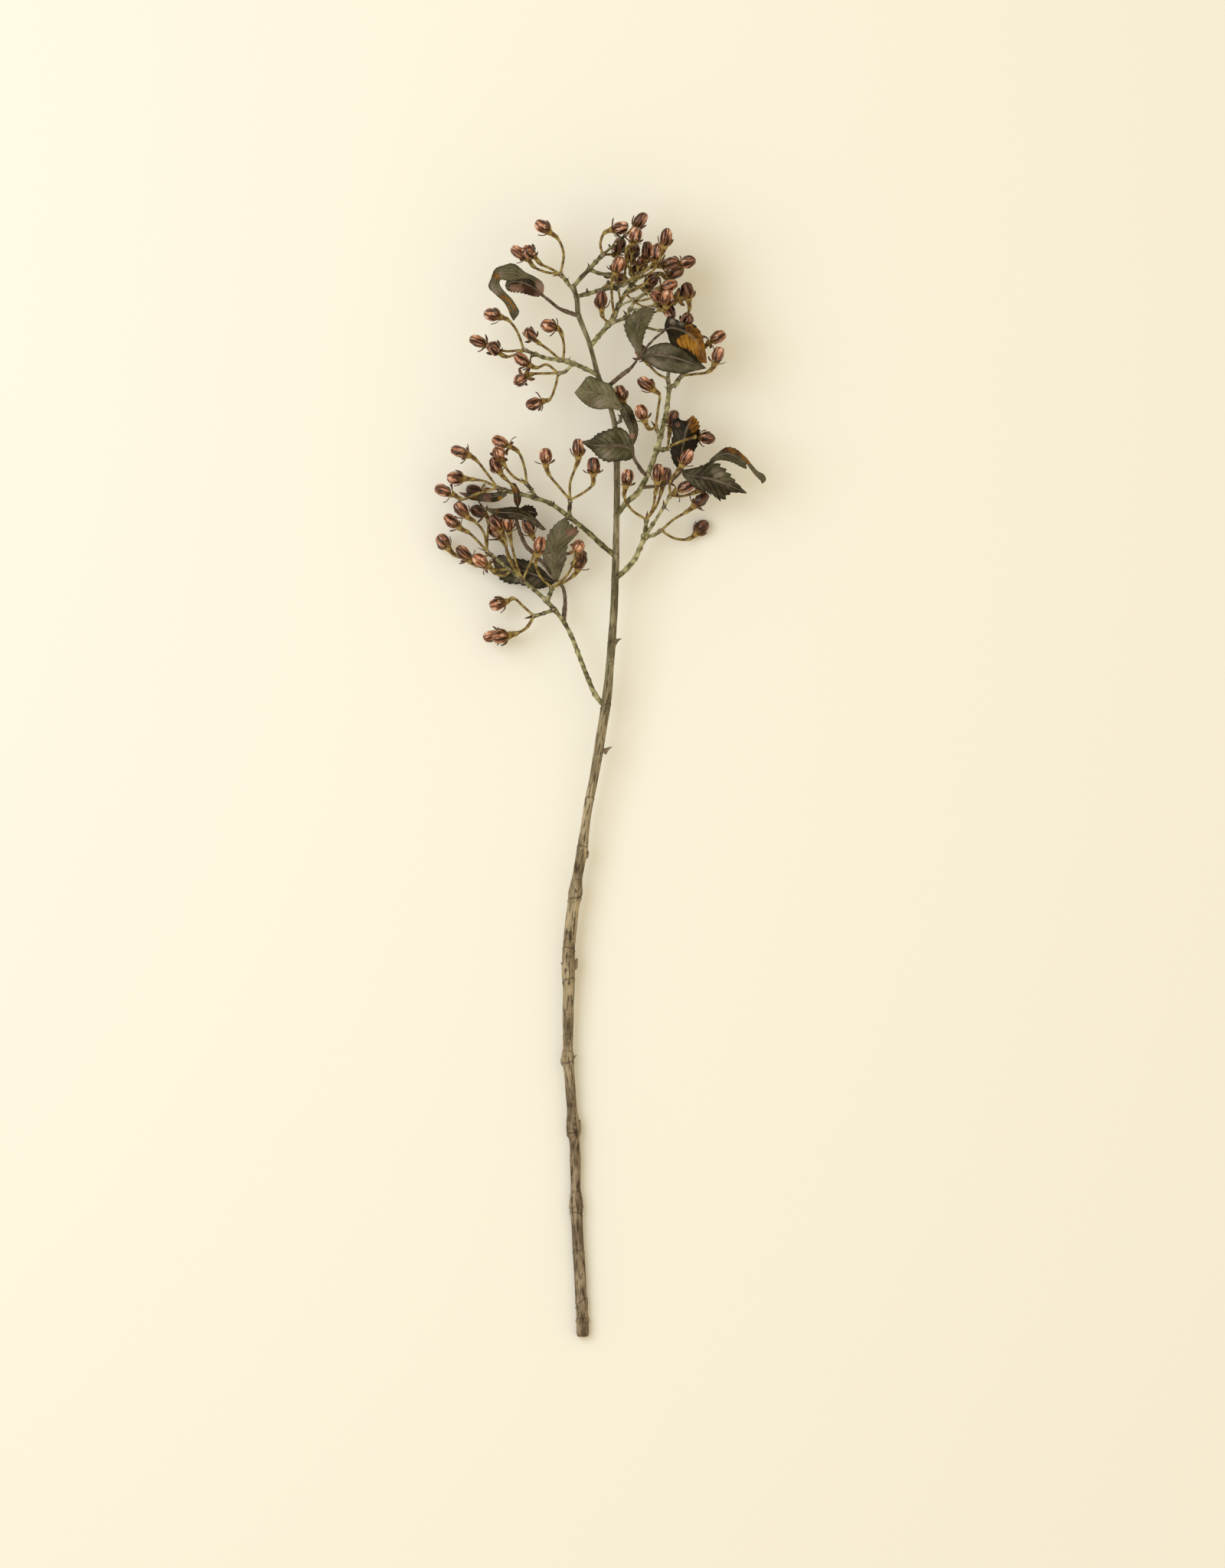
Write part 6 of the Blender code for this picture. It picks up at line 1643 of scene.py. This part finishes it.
# %% The leaves' places
# A leaflet's rows run from its base to its tip: midrib, left edge, right edge.
LEAF_TOP_LEFT = {
    "tones": [0.56, 0.3],
    "teeth": [0.35, 1.1],
    "quilts": [0.7, 1.0],
    "stalks": [([(-15, 287, 36.8), (-20, 288.6, 37.6), (-28, 292, 39), (-33, 296, 40),
                 (-40, 301.5, 42)], 2.8, 1.8)],
    "blades": [[
        ((-38.6, 299.5, 41.5), (-40.3, 299.8, 41.2), (-37.2, 300.3, 41.5)),
        ((-39.4, 304.6, 43.8), (-41, 304.2, 43.4), (-37.1, 306.8, 44)),
        ((-43.9, 310.1, 46.6), (-45.4, 309.8, 46), (-42.3, 311.2, 47.2)),
        ((-50.2, 311.9, 47.8), (-51.2, 309.8, 47.2), (-47.7, 313.6, 49.2)),
        ((-55.7, 313.6, 49), (-56.7, 308.2, 47.2), (-55.9, 319.5, 50)),
        ((-61, 313.6, 49), (-60.6, 308.8, 47), (-61.8, 318.5, 49.2)),
        ((-65.4, 311.9, 48.2), (-63.6, 309.3, 46.4), (-67, 316.4, 47)),
        ((-67.4, 308.4, 46.6), (-64.4, 307.6, 45.2), (-69.6, 310.6, 44.8)),
        ((-67, 304.4, 44.8), (-63, 304.4, 44.2), (-71.4, 304.8, 42.6)),
        ((-64, 300.5, 43.4), (-60.2, 301, 43.4), (-67.2, 300.2, 41.4)),
        ((-59.9, 297, 42.2), (-56.9, 297.6, 42.8), (-61.8, 295.3, 40.8)),
        ((-56.7, 292.5, 41.5), (-53.8, 292.8, 42.4), (-59.5, 291.6, 40.4)),
        ((-55, 288.6, 41.3), (-52.2, 289.4, 42.2), (-58, 287.8, 40.4)),
        ((-55.8, 283.7, 41), None, None),
    ], [
        ((-39, 299.8, 40.8), (-40, 298.8, 40.4), (-38.6, 300.6, 40.9)),
        ((-42.4, 303.9, 42.6), (-43, 298.6, 40.2), (-43, 308.6, 42.4)),
        ((-47.7, 306.8, 44.2), (-46.6, 299.6, 40.2), (-47.3, 311.4, 43.6)),
        ((-52.7, 308.4, 44.6), (-51.2, 301, 40.6), (-52.3, 311.4, 43.6)),
        ((-57, 308, 44.2), (-55.8, 301.3, 41), (-56.7, 310.2, 43)),
        ((-59.8, 306.6, 43.4), (-59.3, 302.8, 41.4), (-60, 308.6, 42.6)),
        ((-61, 305.4, 42.4), None, None),
    ]],
}
LEAF_TOP_RIGHT = {
    "tones": [0.62, 0.38, 0.0],
    "teeth": [1.5, 0.35, 0.9],
    "quilts": [0.7, 0.35, 0.9],
    "stalks": [([(0.6, 241, 33), (5, 244.5, 34.5), (12, 250.3, 36.5), (17, 254, 38),
                 (23, 262, 40), (27, 267, 42.5), (31, 271.5, 44.5),
                 (40, 279, 48)], 2.8, 1.4)],
    "blades": [[
        ((22.8, 261, 40), (21.8, 263, 40), (24, 262.5, 40)),
        ((21.8, 268, 42), (17.5, 269, 41), (24.6, 268, 41)),
        ((21, 274.5, 44), (14, 275, 42), (26, 274, 42)),
        ((21.8, 281, 45), (12.6, 281.5, 43), (28, 279.5, 42.5)),
        ((24, 286, 45), (16.5, 288, 43), (30, 283.5, 42.5)),
        ((27.8, 289.3, 43.5), (24.5, 291.4, 43), (31.5, 287.6, 42)),
        ((32.4, 291.8, 41.6), None, None),
    ], [
        ((23, 261.6, 40), (24.5, 263.5, 40), (24.5, 260.6, 40)),
        ((29, 262.5, 41.5), (30, 268, 40), (28.8, 257, 40.5)),
        ((35.5, 262.5, 43), (36.8, 270.2, 41), (35.3, 253, 41.5)),
        ((42.5, 261.5, 44), (44.8, 269.4, 42.5), (42.3, 251.4, 42.5)),
        ((50, 259.3, 44.5), (52.8, 264.6, 43.5), (50, 250.7, 43.5)),
        ((57, 256.8, 44.5), (59.3, 259, 44), (57.2, 252.4, 44)),
        ((64.6, 254.2, 43.5), None, None),
    ], [
        ((38.5, 278, 47.5), (38.5, 281.5, 48.5), (40, 277, 47)),
        ((43, 279.5, 51), (40.3, 286.6, 50.5), (42, 270, 43.5)),
        ((49, 278, 53.5), (47.5, 284, 53.5), (46.8, 267, 43.5)),
        ((54.5, 275, 54), (55.3, 282.4, 52.5), (51.6, 264, 44.5)),
        ((58.5, 270.5, 53), (61, 276.8, 50.5), (55.5, 260.5, 45.5)),
        ((61.5, 264.5, 51), (63.6, 267, 49.5), (59.5, 258, 46.5)),
        ((64.8, 257.3, 49), None, None),
    ]],
}
LEAF_CENTRE = {
    "tones": [0.52, 0.36, 0.88],
    "teeth": [0.8, 0.7, 0.3],
    "quilts": [0.9, 0.8, 0.8],
    "stalks": [([(27.3, 187.5, 28.6), (24.5, 190, 31), (22, 193.8, 34), (19, 199, 36.5),
                 (18.3, 207, 38.5)], 2.6, 1.8)],
    "blades": [[
        ((19.6, 202, 37.5), (19.8, 199.5, 37), (19.4, 204.6, 37)),
        ((15.5, 204.6, 39), (16.5, 196.6, 38), (16.8, 213, 38.2)),
        ((10, 206, 40.3), (10, 196.2, 39), (10, 217.8, 39)),
        ((4, 206, 41), (2.6, 195.6, 39.5), (2.6, 216, 39.5)),
        ((-1.5, 206, 41), (-3, 198.6, 39.5), (-4, 213.2, 39.5)),
        ((-6.5, 206.4, 39.5), (-7, 203, 38.5), (-7.3, 210.3, 38.5)),
        ((-14.2, 208.6, 37.5), None, None),
    ], [
        ((18.3, 205.8, 38.5), (17.4, 206.5, 38), (19.4, 207, 38)),
        ((18.8, 211, 40.5), (16.9, 211.8, 39.5), (21.2, 210.5, 38)),
        ((18.7, 216.5, 41.8), (15.8, 215.8, 40), (22, 217, 38.5)),
        ((16.8, 222, 42.2), (13.6, 220, 40.5), (20.5, 223, 38.8)),
        ((14, 227, 42), (11.5, 225, 40.6), (18.3, 228.5, 38.8)),
        ((11.8, 231, 41.6), (9.6, 229.5, 41), (14.2, 232.4, 39.4)),
        ((8.5, 233.5, 42.3), None, None),
    ], [
        ((12, 229, 42.6), (10.5, 227.8, 42.2), (11.5, 231, 42.2)),
        ((6.5, 233, 43.6), (4, 229, 42.6), (8.8, 236.5, 42.6)),
        ((1.5, 236.5, 44.6), (-2.4, 228.4, 43.4), (5.5, 243.4, 43.4)),
        ((-4, 238.5, 45.2), (-7.2, 229.4, 44), (-2.2, 247, 44)),
        ((-9.5, 239.3, 45.2), (-11.8, 232.3, 44.2), (-8.7, 249.4, 44.2)),
        ((-14, 239, 44.6), (-15.3, 235.8, 44), (-13.2, 244.6, 44)),
        ((-17.8, 239, 43.8), None, None),
    ]],
}
LEAF_RIGHT = {
    "tones": [0.0, 0.3, 0.5],
    "teeth": [1.2, 1.9, 0.8],
    "quilts": [1.0, 1.0, 0.9],
    "stalks": [
        ([(25, 180, 27.9), (30, 180.5, 26.5), (38, 182, 25.6), (44, 185.3, 27.5),
          (49.5, 190.5, 32.5)], 2.2, 1.7),
        ([(49, 190, 32.2), (57, 191.5, 31.6), (63, 193.2, 33), (67.8, 196, 35.2)], 1.6, 1.3),
    ],
    "blades": [[
        ((48.8, 190, 33), (47, 191.3, 33), (50.4, 191.6, 33.3)),
        ((48.5, 196.5, 36), (43.4, 195.8, 34.5), (53.2, 197.2, 35.2)),
        ((49.5, 203.5, 38.5), (41.5, 203, 36), (57.8, 203, 34)),
        ((50.8, 210.5, 40), (42.8, 211.5, 37), (60.3, 210, 33.5)),
        ((52.5, 217, 40), (44.4, 223, 37), (60.6, 216, 35.5)),
        ((54.5, 221, 39), (51, 221.3, 37.8), (59.5, 221.2, 38)),
        ((56, 225, 38.2), None, None),
    ], [
        ((49.3, 189, 32.8), (50.6, 190.7, 33.2), (49.8, 187.3, 33)),
        ((55, 187.5, 35.5), (54.6, 191.8, 35), (54, 181.4, 34)),
        ((61.5, 186.3, 37.5), (61.5, 194.5, 37), (60.5, 177.5, 35)),
        ((68, 185, 38.8), (68.8, 196.6, 38.8), (67.2, 175, 35.5)),
        ((74.5, 183, 38.5), (76.8, 191, 37.5), (73, 171.6, 35)),
        ((80.5, 180.5, 37), (82.6, 184.2, 36.5), (79.2, 176.2, 35)),
        ((90, 176.2, 33.5), None, None),
    ], [
        ((66, 195.2, 34.6), (67, 197.6, 35), (68.5, 194.8, 34.8)),
        ((70.8, 198.8, 37.2), (71.3, 201.4, 38.2), (70.6, 196.3, 35.8)),
        ((76.6, 201, 40), (77.3, 205.2, 41), (76.2, 196.6, 38.2)),
        ((81.8, 199.8, 42), (83, 204.1, 43), (81.2, 195.2, 40)),
        ((85.8, 197, 42.4), (87.4, 200.6, 43.2), (85.9, 192.7, 40.2)),
        ((88.3, 195.6, 42.3), (89.3, 198.8, 43), (89.5, 191.6, 40)),
        ((89.9, 194.9, 42), (91, 196.6, 42.6), (88.9, 194.4, 41.4)),
        ((92.6, 192.2, 41.2), (93.6, 193.3, 41.8), (91.7, 191.4, 40.6)),
        ((95.6, 188.7, 40.4), (96.6, 190.2, 41), (94.7, 187.7, 40)),
        ((98.4, 186.6, 39.8), (100.4, 188, 41), (97, 185.2, 39.8)),
        ((100, 184.2, 39), (101.6, 184.6, 40.4), (98.4, 183.8, 39.4)),
        ((99, 182.2, 38.4), None, None),
    ]],
}
LEAF_LEFT = {
    "tones": [0.85, 0.2, 0.22, 0.0],
    "teeth": [1.4, 1.1, 0.5, 1.8],
    "quilts": [0.9, 0.9, 0.5, 0.3],
    "stalks": [
        ([(-24.6, 96.3, 19.4), (-24.2, 101, 17.8), (-23.6, 110, 16.4), (-25.2, 118, 14.8),
          (-29.5, 122.5, 13.8)], 2.9, 2),
        ([(-29.5, 122, 13.8), (-36, 131, 14.4), (-42.5, 138.3, 15.4), (-47.5, 143, 17),
          (-51, 150, 20), (-54, 160, 27), (-54.5, 164, 29.8)], 2.2, 2.2),
    ],
    "blades": [[
        ((-29.2, 121.2, 14), (-30.8, 123.5, 14), (-27.6, 123, 14)),
        ((-29.5, 128.5, 16.5), (-34, 129.5, 16.3), (-25, 128.6, 15.5)),
        ((-30, 135.5, 18.5), (-38.2, 135.5, 18), (-22.2, 136, 17.5)),
        ((-29.5, 143, 19.5), (-37.2, 143.4, 18.4), (-21.6, 143.5, 18)),
        ((-28, 150, 19.5), (-34.6, 151, 18.5), (-15, 153.5, 18.5)),
        ((-26, 156, 19), (-29.8, 157.2, 18.5), (-20, 157, 18.5)),
        ((-23.4, 161.6, 18.2), None, None),
    ], [
        ((-29.6, 121, 13.6), (-32, 119.2, 13.2), (-31.8, 123, 13.4)),
        ((-37, 123.5, 13.2), (-37.5, 116.6, 12.2), (-36.7, 128.5, 12.4)),
        ((-43.5, 126, 12.8), (-43, 116.2, 11.6), (-43.2, 133.5, 11.8)),
        ((-50.5, 128.5, 12.4), (-51.2, 119, 11), (-51, 135.8, 11.4)),
        ((-57.5, 130.5, 11.8), (-59.3, 119.8, 10), (-57.7, 135.8, 10.8)),
        ((-63, 132.5, 11), (-64.6, 123, 9.5), (-62.4, 138.4, 10.4)),
        ((-69, 135.4, 10.2), None, None),
    ], [
        ((-35.6, 153.6, 24.5), (-37.8, 153.2, 24.8), (-37, 155.6, 25)),
        ((-42, 158.2, 27.5), (-43.2, 156.4, 26), (-41.8, 160.6, 26.4)),
        ((-48.5, 162, 29.5), (-49.2, 159.4, 27.8), (-47.6, 165.6, 27.8)),
        ((-55, 164, 30.5), (-55.5, 160, 28.8), (-55, 168, 28.8)),
        ((-62, 164.3, 30.5), (-62, 160.6, 28.8), (-62.2, 167.4, 29)),
        ((-68.5, 165.2, 30), (-69, 163.4, 29), (-68.5, 166.8, 29)),
        ((-74.8, 167.8, 29.6), None, None),
    ], [
        ((-54, 164, 30.2), (-52, 167, 29.2), (-52, 162.5, 29.6)),
        ((-48, 165, 26.6), (-48, 169.4, 25), (-47.6, 161.8, 25.8)),
        ((-44, 164.6, 24.4), (-43.6, 168.4, 23.4), (-43.2, 160.6, 23.4)),
        ((-40.6, 163.2, 22.6), None, None),
    ]],
}
# Dried leaf scraps that cling to the middle left spray
SCRAPS = {
    "tones": [0.3, 0.3],
    "teeth": [0.6, 0.6],
    "quilts": [0.6, 0.6],
    "blades": [[
        ((-56.5, 183, 27), (-54.5, 182.5, 27), (-58, 181.5, 26.5)),
        ((-54, 177.2, 28), (-51.9, 177.8, 26.8), (-55.9, 176, 26)),
        ((-53.2, 172, 26.5), (-51, 172.6, 25.6), (-55.4, 171, 25)),
        ((-53, 166.9, 24.4), None, None),
    ], [
        ((-60, 177, 24.6), (-60, 175, 24), (-61, 178.5, 24.4)),
        ((-67, 174.4, 21), (-66, 171.2, 19.5), (-67.5, 177, 21)),
        ((-75, 174, 18.5), (-74.5, 171.4, 17.4), (-75.5, 176.6, 18.6)),
        ((-83, 174.6, 17), (-83, 172.6, 16), (-83.4, 176.8, 17)),
        ((-90, 177, 16), None, None),
    ]],
}
LEAVES = {
    "leaf_top_left": LEAF_TOP_LEFT,
    "leaf_top_right": LEAF_TOP_RIGHT,
    "leaf_centre": LEAF_CENTRE,
    "leaf_right": LEAF_RIGHT,
    "leaf_left": LEAF_LEFT,
}

# Soft spots of colour on the leaves, as seen from above: x, y, radius; sheen spots are painted sheen
LEAF_SPOTS = {
    "leaf_top_left": {
        "dry": [(-66.4, 311.5, 1.9), (-62.8, 299.2, 1.2), (-61, 298, 1.2), (-59.1, 296.9, 1.1),
                (-57.2, 295, 1.1), (-55.7, 293, 1), (-54.9, 291.2, 0.8), (-59.2, 293.5, 0.8),
                (-58.3, 290, 0.9), (-57.4, 287.5, 0.8)],
        "sheen": [(-63.5, 313, 2), (-68.4, 304.5, 2.3), (-66.3, 302, 1.8),
                  (-53.6, 288.5, 1.3), (-50.5, 308.2, 0.9), (-48, 307, 1), (-45.5, 305.8, 1),
                  (-43.2, 304.4, 0.9), (-39.5, 306, 2.4)],
        "fold": [(-55, 304.2, 2.8), (-51.5, 304.3, 3.4), (-47, 302.8, 3.8), (-43, 301.3, 3.2),
                 (-39.8, 303, 3.2), (-39.4, 306.4, 2.8)],
    },
    "leaf_top_right": {
        "dry": [(51, 270.5, 4.5), (56.5, 271.5, 6.5), (60.5, 266.5, 5), (62.5, 261, 4),
                (60, 276, 4.5), (54, 278.5, 3)],
        "sheen": [(20.5, 267, 2.6), (19, 271.5, 2.8), (35, 255.5, 3.6), (31, 258.5, 2.8),
                  (28.5, 263.2, 1.3), (31.5, 263.6, 1.4), (35, 263.5, 1.4), (38.5, 263, 1.2),
                  (43.5, 283.5, 2), (49, 282.5, 1.8)],
        "fold": [],
    },
    "leaf_centre": {
        "dry": [(-9, 242.5, 0.8), (-4.5, 237, 0.6), (-8, 233, 0.6)],
        "sheen": [(-8, 232, 3.4), (-3, 231.5, 3), (-11.5, 208, 2.6), (2, 200, 3)],
        "fold": [(18.5, 212, 1.8)],
    },
    "leaf_right": {
        "dry": [(57, 219, 4.6), (54, 223.5, 3), (75, 204.2, 2.1), (78.5, 204, 2.6),
                (82, 203.4, 2.4), (85.2, 202.2, 2.4), (88, 199.6, 2.4), (91, 196.2, 1.8)],
        "sheen": [(72, 187.5, 3.4), (77, 181.5, 2.6)],
        "fold": [(46.5, 219.5, 1.8)],
    },
    "leaf_left": {
        "dry": [(-66, 165, 1.4)],
        "sheen": [(-61.5, 132, 5.4), (-26.5, 138, 5), (-27, 131, 4.6), (-31.5, 137.5, 4.4),
                  (-48.5, 160, 1.6), (-42.5, 157.4, 1.6), (-38.5, 155.4, 1.4), (-43, 121, 4.4),
                  (-52, 123, 4)],
        "fold": [(-16, 153, 3), (-21, 152, 2.4)],
    },
    "scraps": {
        "dry": [(-54.5, 178.5, 2.6), (-53, 171.5, 2.2), (-64, 173, 1.6), (-80, 174, 1.8)],
        "sheen": [],
        "fold": [(-72, 174, 3), (-87, 176.5, 2)],
    },
}
print("leaflets:", [len(plan["blades"]) for plan in LEAVES.values()])

# %% The surface of a leaflet
LEAF_ACROSS = 20  # faces across a leaflet
LEAF_ROWS = 10  # faces between two of its planned rows
TEETH_PER_GAP = 2
TEETH_START = 0.72  # where the teeth begin, from the midrib at 0 to the edge at 1
TOOTH_DEPTH = 1.15
SIDE_VEINS = 8
VEIN_SPREAD = 1.12
VEIN_SLANT = 0.27  # how far the side veins lean to the tip
VEIN_WIDTH = 0.15
MIDRIB_WIDTH = 0.085
MIDRIB_DEPTH = 0.25
QUILT = 0.42
WAVE = 0.55
WAVES = 2.4  # how many run along an edge
WAVE_SHIFT = 1.7  # how much later they start on the next leaflet
CRUMPLE = 0.5
CRUMPLE_SCALE = 0.16
LEAF_THICKNESS = 0.32
MIN_TURN = 0.2  # a row that is nearly a point keeps the way up of the row before
HALF_WIDTH = 8.0  # of a full leaflet; smaller ones have shallower teeth and quilting


def leaf_lines(rows):
    """The smooth lines of the midrib and the two edges, from base to tip."""
    tip = rows[-1][0]
    counts = [LEAF_ROWS] * (len(rows) - 1)
    return [through([row[side] for row in rows[:-1]] + [tip], counts) for side in range(3)]


def leaf_ups(lines):
    """Which way is up out of the leaflet at each step along it."""
    middle, left, right = lines
    ups = []
    for i in range(len(middle)):
        ahead = middle[min(i + 1, len(middle) - 1)] - middle[max(i - 1, 0)]
        across = right[i] - left[i]
        up = across.cross(ahead)
        ups.append(up.normalized() if up.length > MIN_TURN else ups[-1])
    return ups


def leaf_point(lines, ups, side, step, teeth, quilt, seed):
    """The place on the leaflet at a share across, -1 to 1, and a step along; its vein, rib, bulge."""
    middle, left, right = lines
    last = len(middle) - 1
    share = abs(side)
    edge = left if side < 0.0 else right
    out = edge[step] - middle[step]
    ahead = (middle[min(step + 1, last)] - middle[max(step - 1, 0)]).normalized()
    along = step / last
    full = min(out.length / HALF_WIDTH, 1.0)
    fade = min(along * 12.0, (1.0 - along) * 9.0, 1.0)
    tooth = (step * TEETH_PER_GAP / LEAF_ROWS) % 1.0
    toothed = max(share - TEETH_START, 0.0) / (1.0 - TEETH_START)
    reach = toothed * TOOTH_DEPTH * teeth * full * fade
    turns = (along * VEIN_SPREAD - VEIN_SLANT * share) * SIDE_VEINS
    vein = math.exp(-(((turns - round(turns)) / VEIN_WIDTH) ** 2)) * min(share * 6.0, 1.0)
    rib = math.exp(-((share / MIDRIB_WIDTH) ** 2))
    swell = math.sin(math.pi * share)
    lift = (QUILT * quilt * (0.5 - vein) * swell - MIDRIB_DEPTH * rib) * full
    lift += WAVE * share * share * math.sin(math.tau * along * WAVES + seed + side) * full
    point = middle[step] + out * share
    if out.length > 0.01:
        point += out.normalized() * reach * (tooth - 0.75) + ahead * reach * 0.7 * tooth
    lift += CRUMPLE * noise.noise(point * CRUMPLE_SCALE) * full
    return point + ups[step] * lift, vein * quilt, rib, swell * (1.0 - vein * quilt)


print("a full leaflet has", SIDE_VEINS, "pairs of side veins")

# %% Leaflets and leaf stalks
LEAF_MERGE = 0.02
SMOOTH_ANGLE = math.radians(60.0)
UNDERRIB_WIDTH = 0.9  # of the midrib under a leaflet, at its base
UNDERRIB_TAPER = 0.6


def spot_mark(points, spots):
    """How strongly each point lies in any of the soft spots."""
    values = []
    for point in points:
        best = 0.0
        for x, y, radius in spots:
            gap = math.hypot(point.x - x, point.y - y) / radius
            best = max(best, math.exp(-(gap ** 4)))
        values.append(best)
    return values


def make_blade(rows, spots, tone, teeth, quilt, seed):
    """One leaflet, from a flat grid to a toothed, quilted sheet with a thin wall."""
    lines = leaf_lines(rows)
    ups = leaf_ups(lines)
    last = len(ups) - 1
    deselect()
    bpy.ops.mesh.primitive_grid_add(x_subdivisions=LEAF_ACROSS, y_subdivisions=last, size=2.0)
    sheet = bpy.context.object
    points = []
    veins = []
    ribs = []
    bulges = []
    edges = []
    for vert in sheet.data.vertices:
        side = vert.co.x
        step = round((vert.co.y + 1.0) / 2.0 * last)
        point, vein, rib, bulge = leaf_point(lines, ups, side, step, teeth, quilt, seed)
        points.append(point)
        veins.append(vein)
        ribs.append(rib)
        bulges.append(bulge)
        edges.append(abs(side))
        vert.co = place(point)
    mark(sheet, "vein", veins)
    mark(sheet, "rib", ribs)
    mark(sheet, "bulge", bulges)
    mark(sheet, "edge", edges)
    flat_marks(sheet, tone=tone)
    for name in ("dry", "sheen", "fold"):
        mark(sheet, name, spot_mark(points, spots[name]))
    only(sheet)
    in_edit_mode()
    bpy.ops.mesh.remove_doubles(threshold=LEAF_MERGE * MM)
    in_object_mode()
    sheet.data.materials.append(LEAF_PAINT)
    sheet.data.materials.append(LEAF_BACK_PAINT)
    wall = {"thickness": LEAF_THICKNESS * MM, "offset": 0.0}
    apply_modifier(sheet, "SOLIDIFY", **wall, material_offset=1, material_offset_rim=0)
    bpy.ops.object.shade_smooth_by_angle(angle=SMOOTH_ANGLE)
    return sheet


def rib_tube(rows):
    """The midrib that stands out under a leaflet, thinner toward the tip."""
    lines = leaf_lines(rows)
    ups = leaf_ups(lines)
    route = [middle - up * LEAF_THICKNESS for middle, up in zip(lines[0], ups)]
    route = route[:-LEAF_ROWS // 2:2]
    widths = [UNDERRIB_WIDTH - UNDERRIB_TAPER * i / len(route) for i in range(len(route))]
    return route, widths


def stalk_of_leaf(points, first, last):
    """A leaf stalk, winged near its root and thin after that."""
    route = smooth(points, 1.0)
    far = distances(route)
    stops = [(0.0, first), (far[-1] * 0.3, first), (far[-1] * 0.45, last * 1.15), (far[-1], last)]
    return route, [profile(stops, d) * (1.0 + 0.07 * math.sin(1.7 * d)) for d in far]


def blade_group(name, plan, spots):
    """All leaflets of a leaf as one piece."""
    sheets = []
    traits = zip(plan["tones"], plan["teeth"], plan["quilts"])
    for i, (rows, trait) in enumerate(zip(plan["blades"], traits)):
        sheets.append(make_blade(rows, spots, *trait, WAVE_SHIFT * i))
    return join(name, sheets)


for node, plan in LEAVES.items():
    blades = blade_group(node + "_blades", plan, LEAF_SPOTS[node])
    stand_in(blades, node)
    tubes = [stalk_of_leaf(*stalk) for stalk in plan["stalks"]]
    tubes += [rib_tube(rows) for rows in plan["blades"]]
    stalk = draw_tubes(node + "_stalk", tubes, STALK_SIDES)
    gnarl(stalk, GNARL)
    only(stalk)
    bpy.ops.object.shade_smooth()
    dress(stalk, node, LEAF_STALK_PAINT)

scraps = blade_group("dried_scraps", SCRAPS, LEAF_SPOTS["scraps"])
stand_in(scraps, "middle_left_spray")

# %% [markdown]
# ## Last: the models for copying go
# The shapes that were only copied are removed, so that no stray one stays in the scene.

# %% Clearing up and finishing
for shape in [BUD, THORN, STUB, BRACT_SHAPE, BERRY_SHAPE] + CALYXES:
    bpy.data.objects.remove(shape)
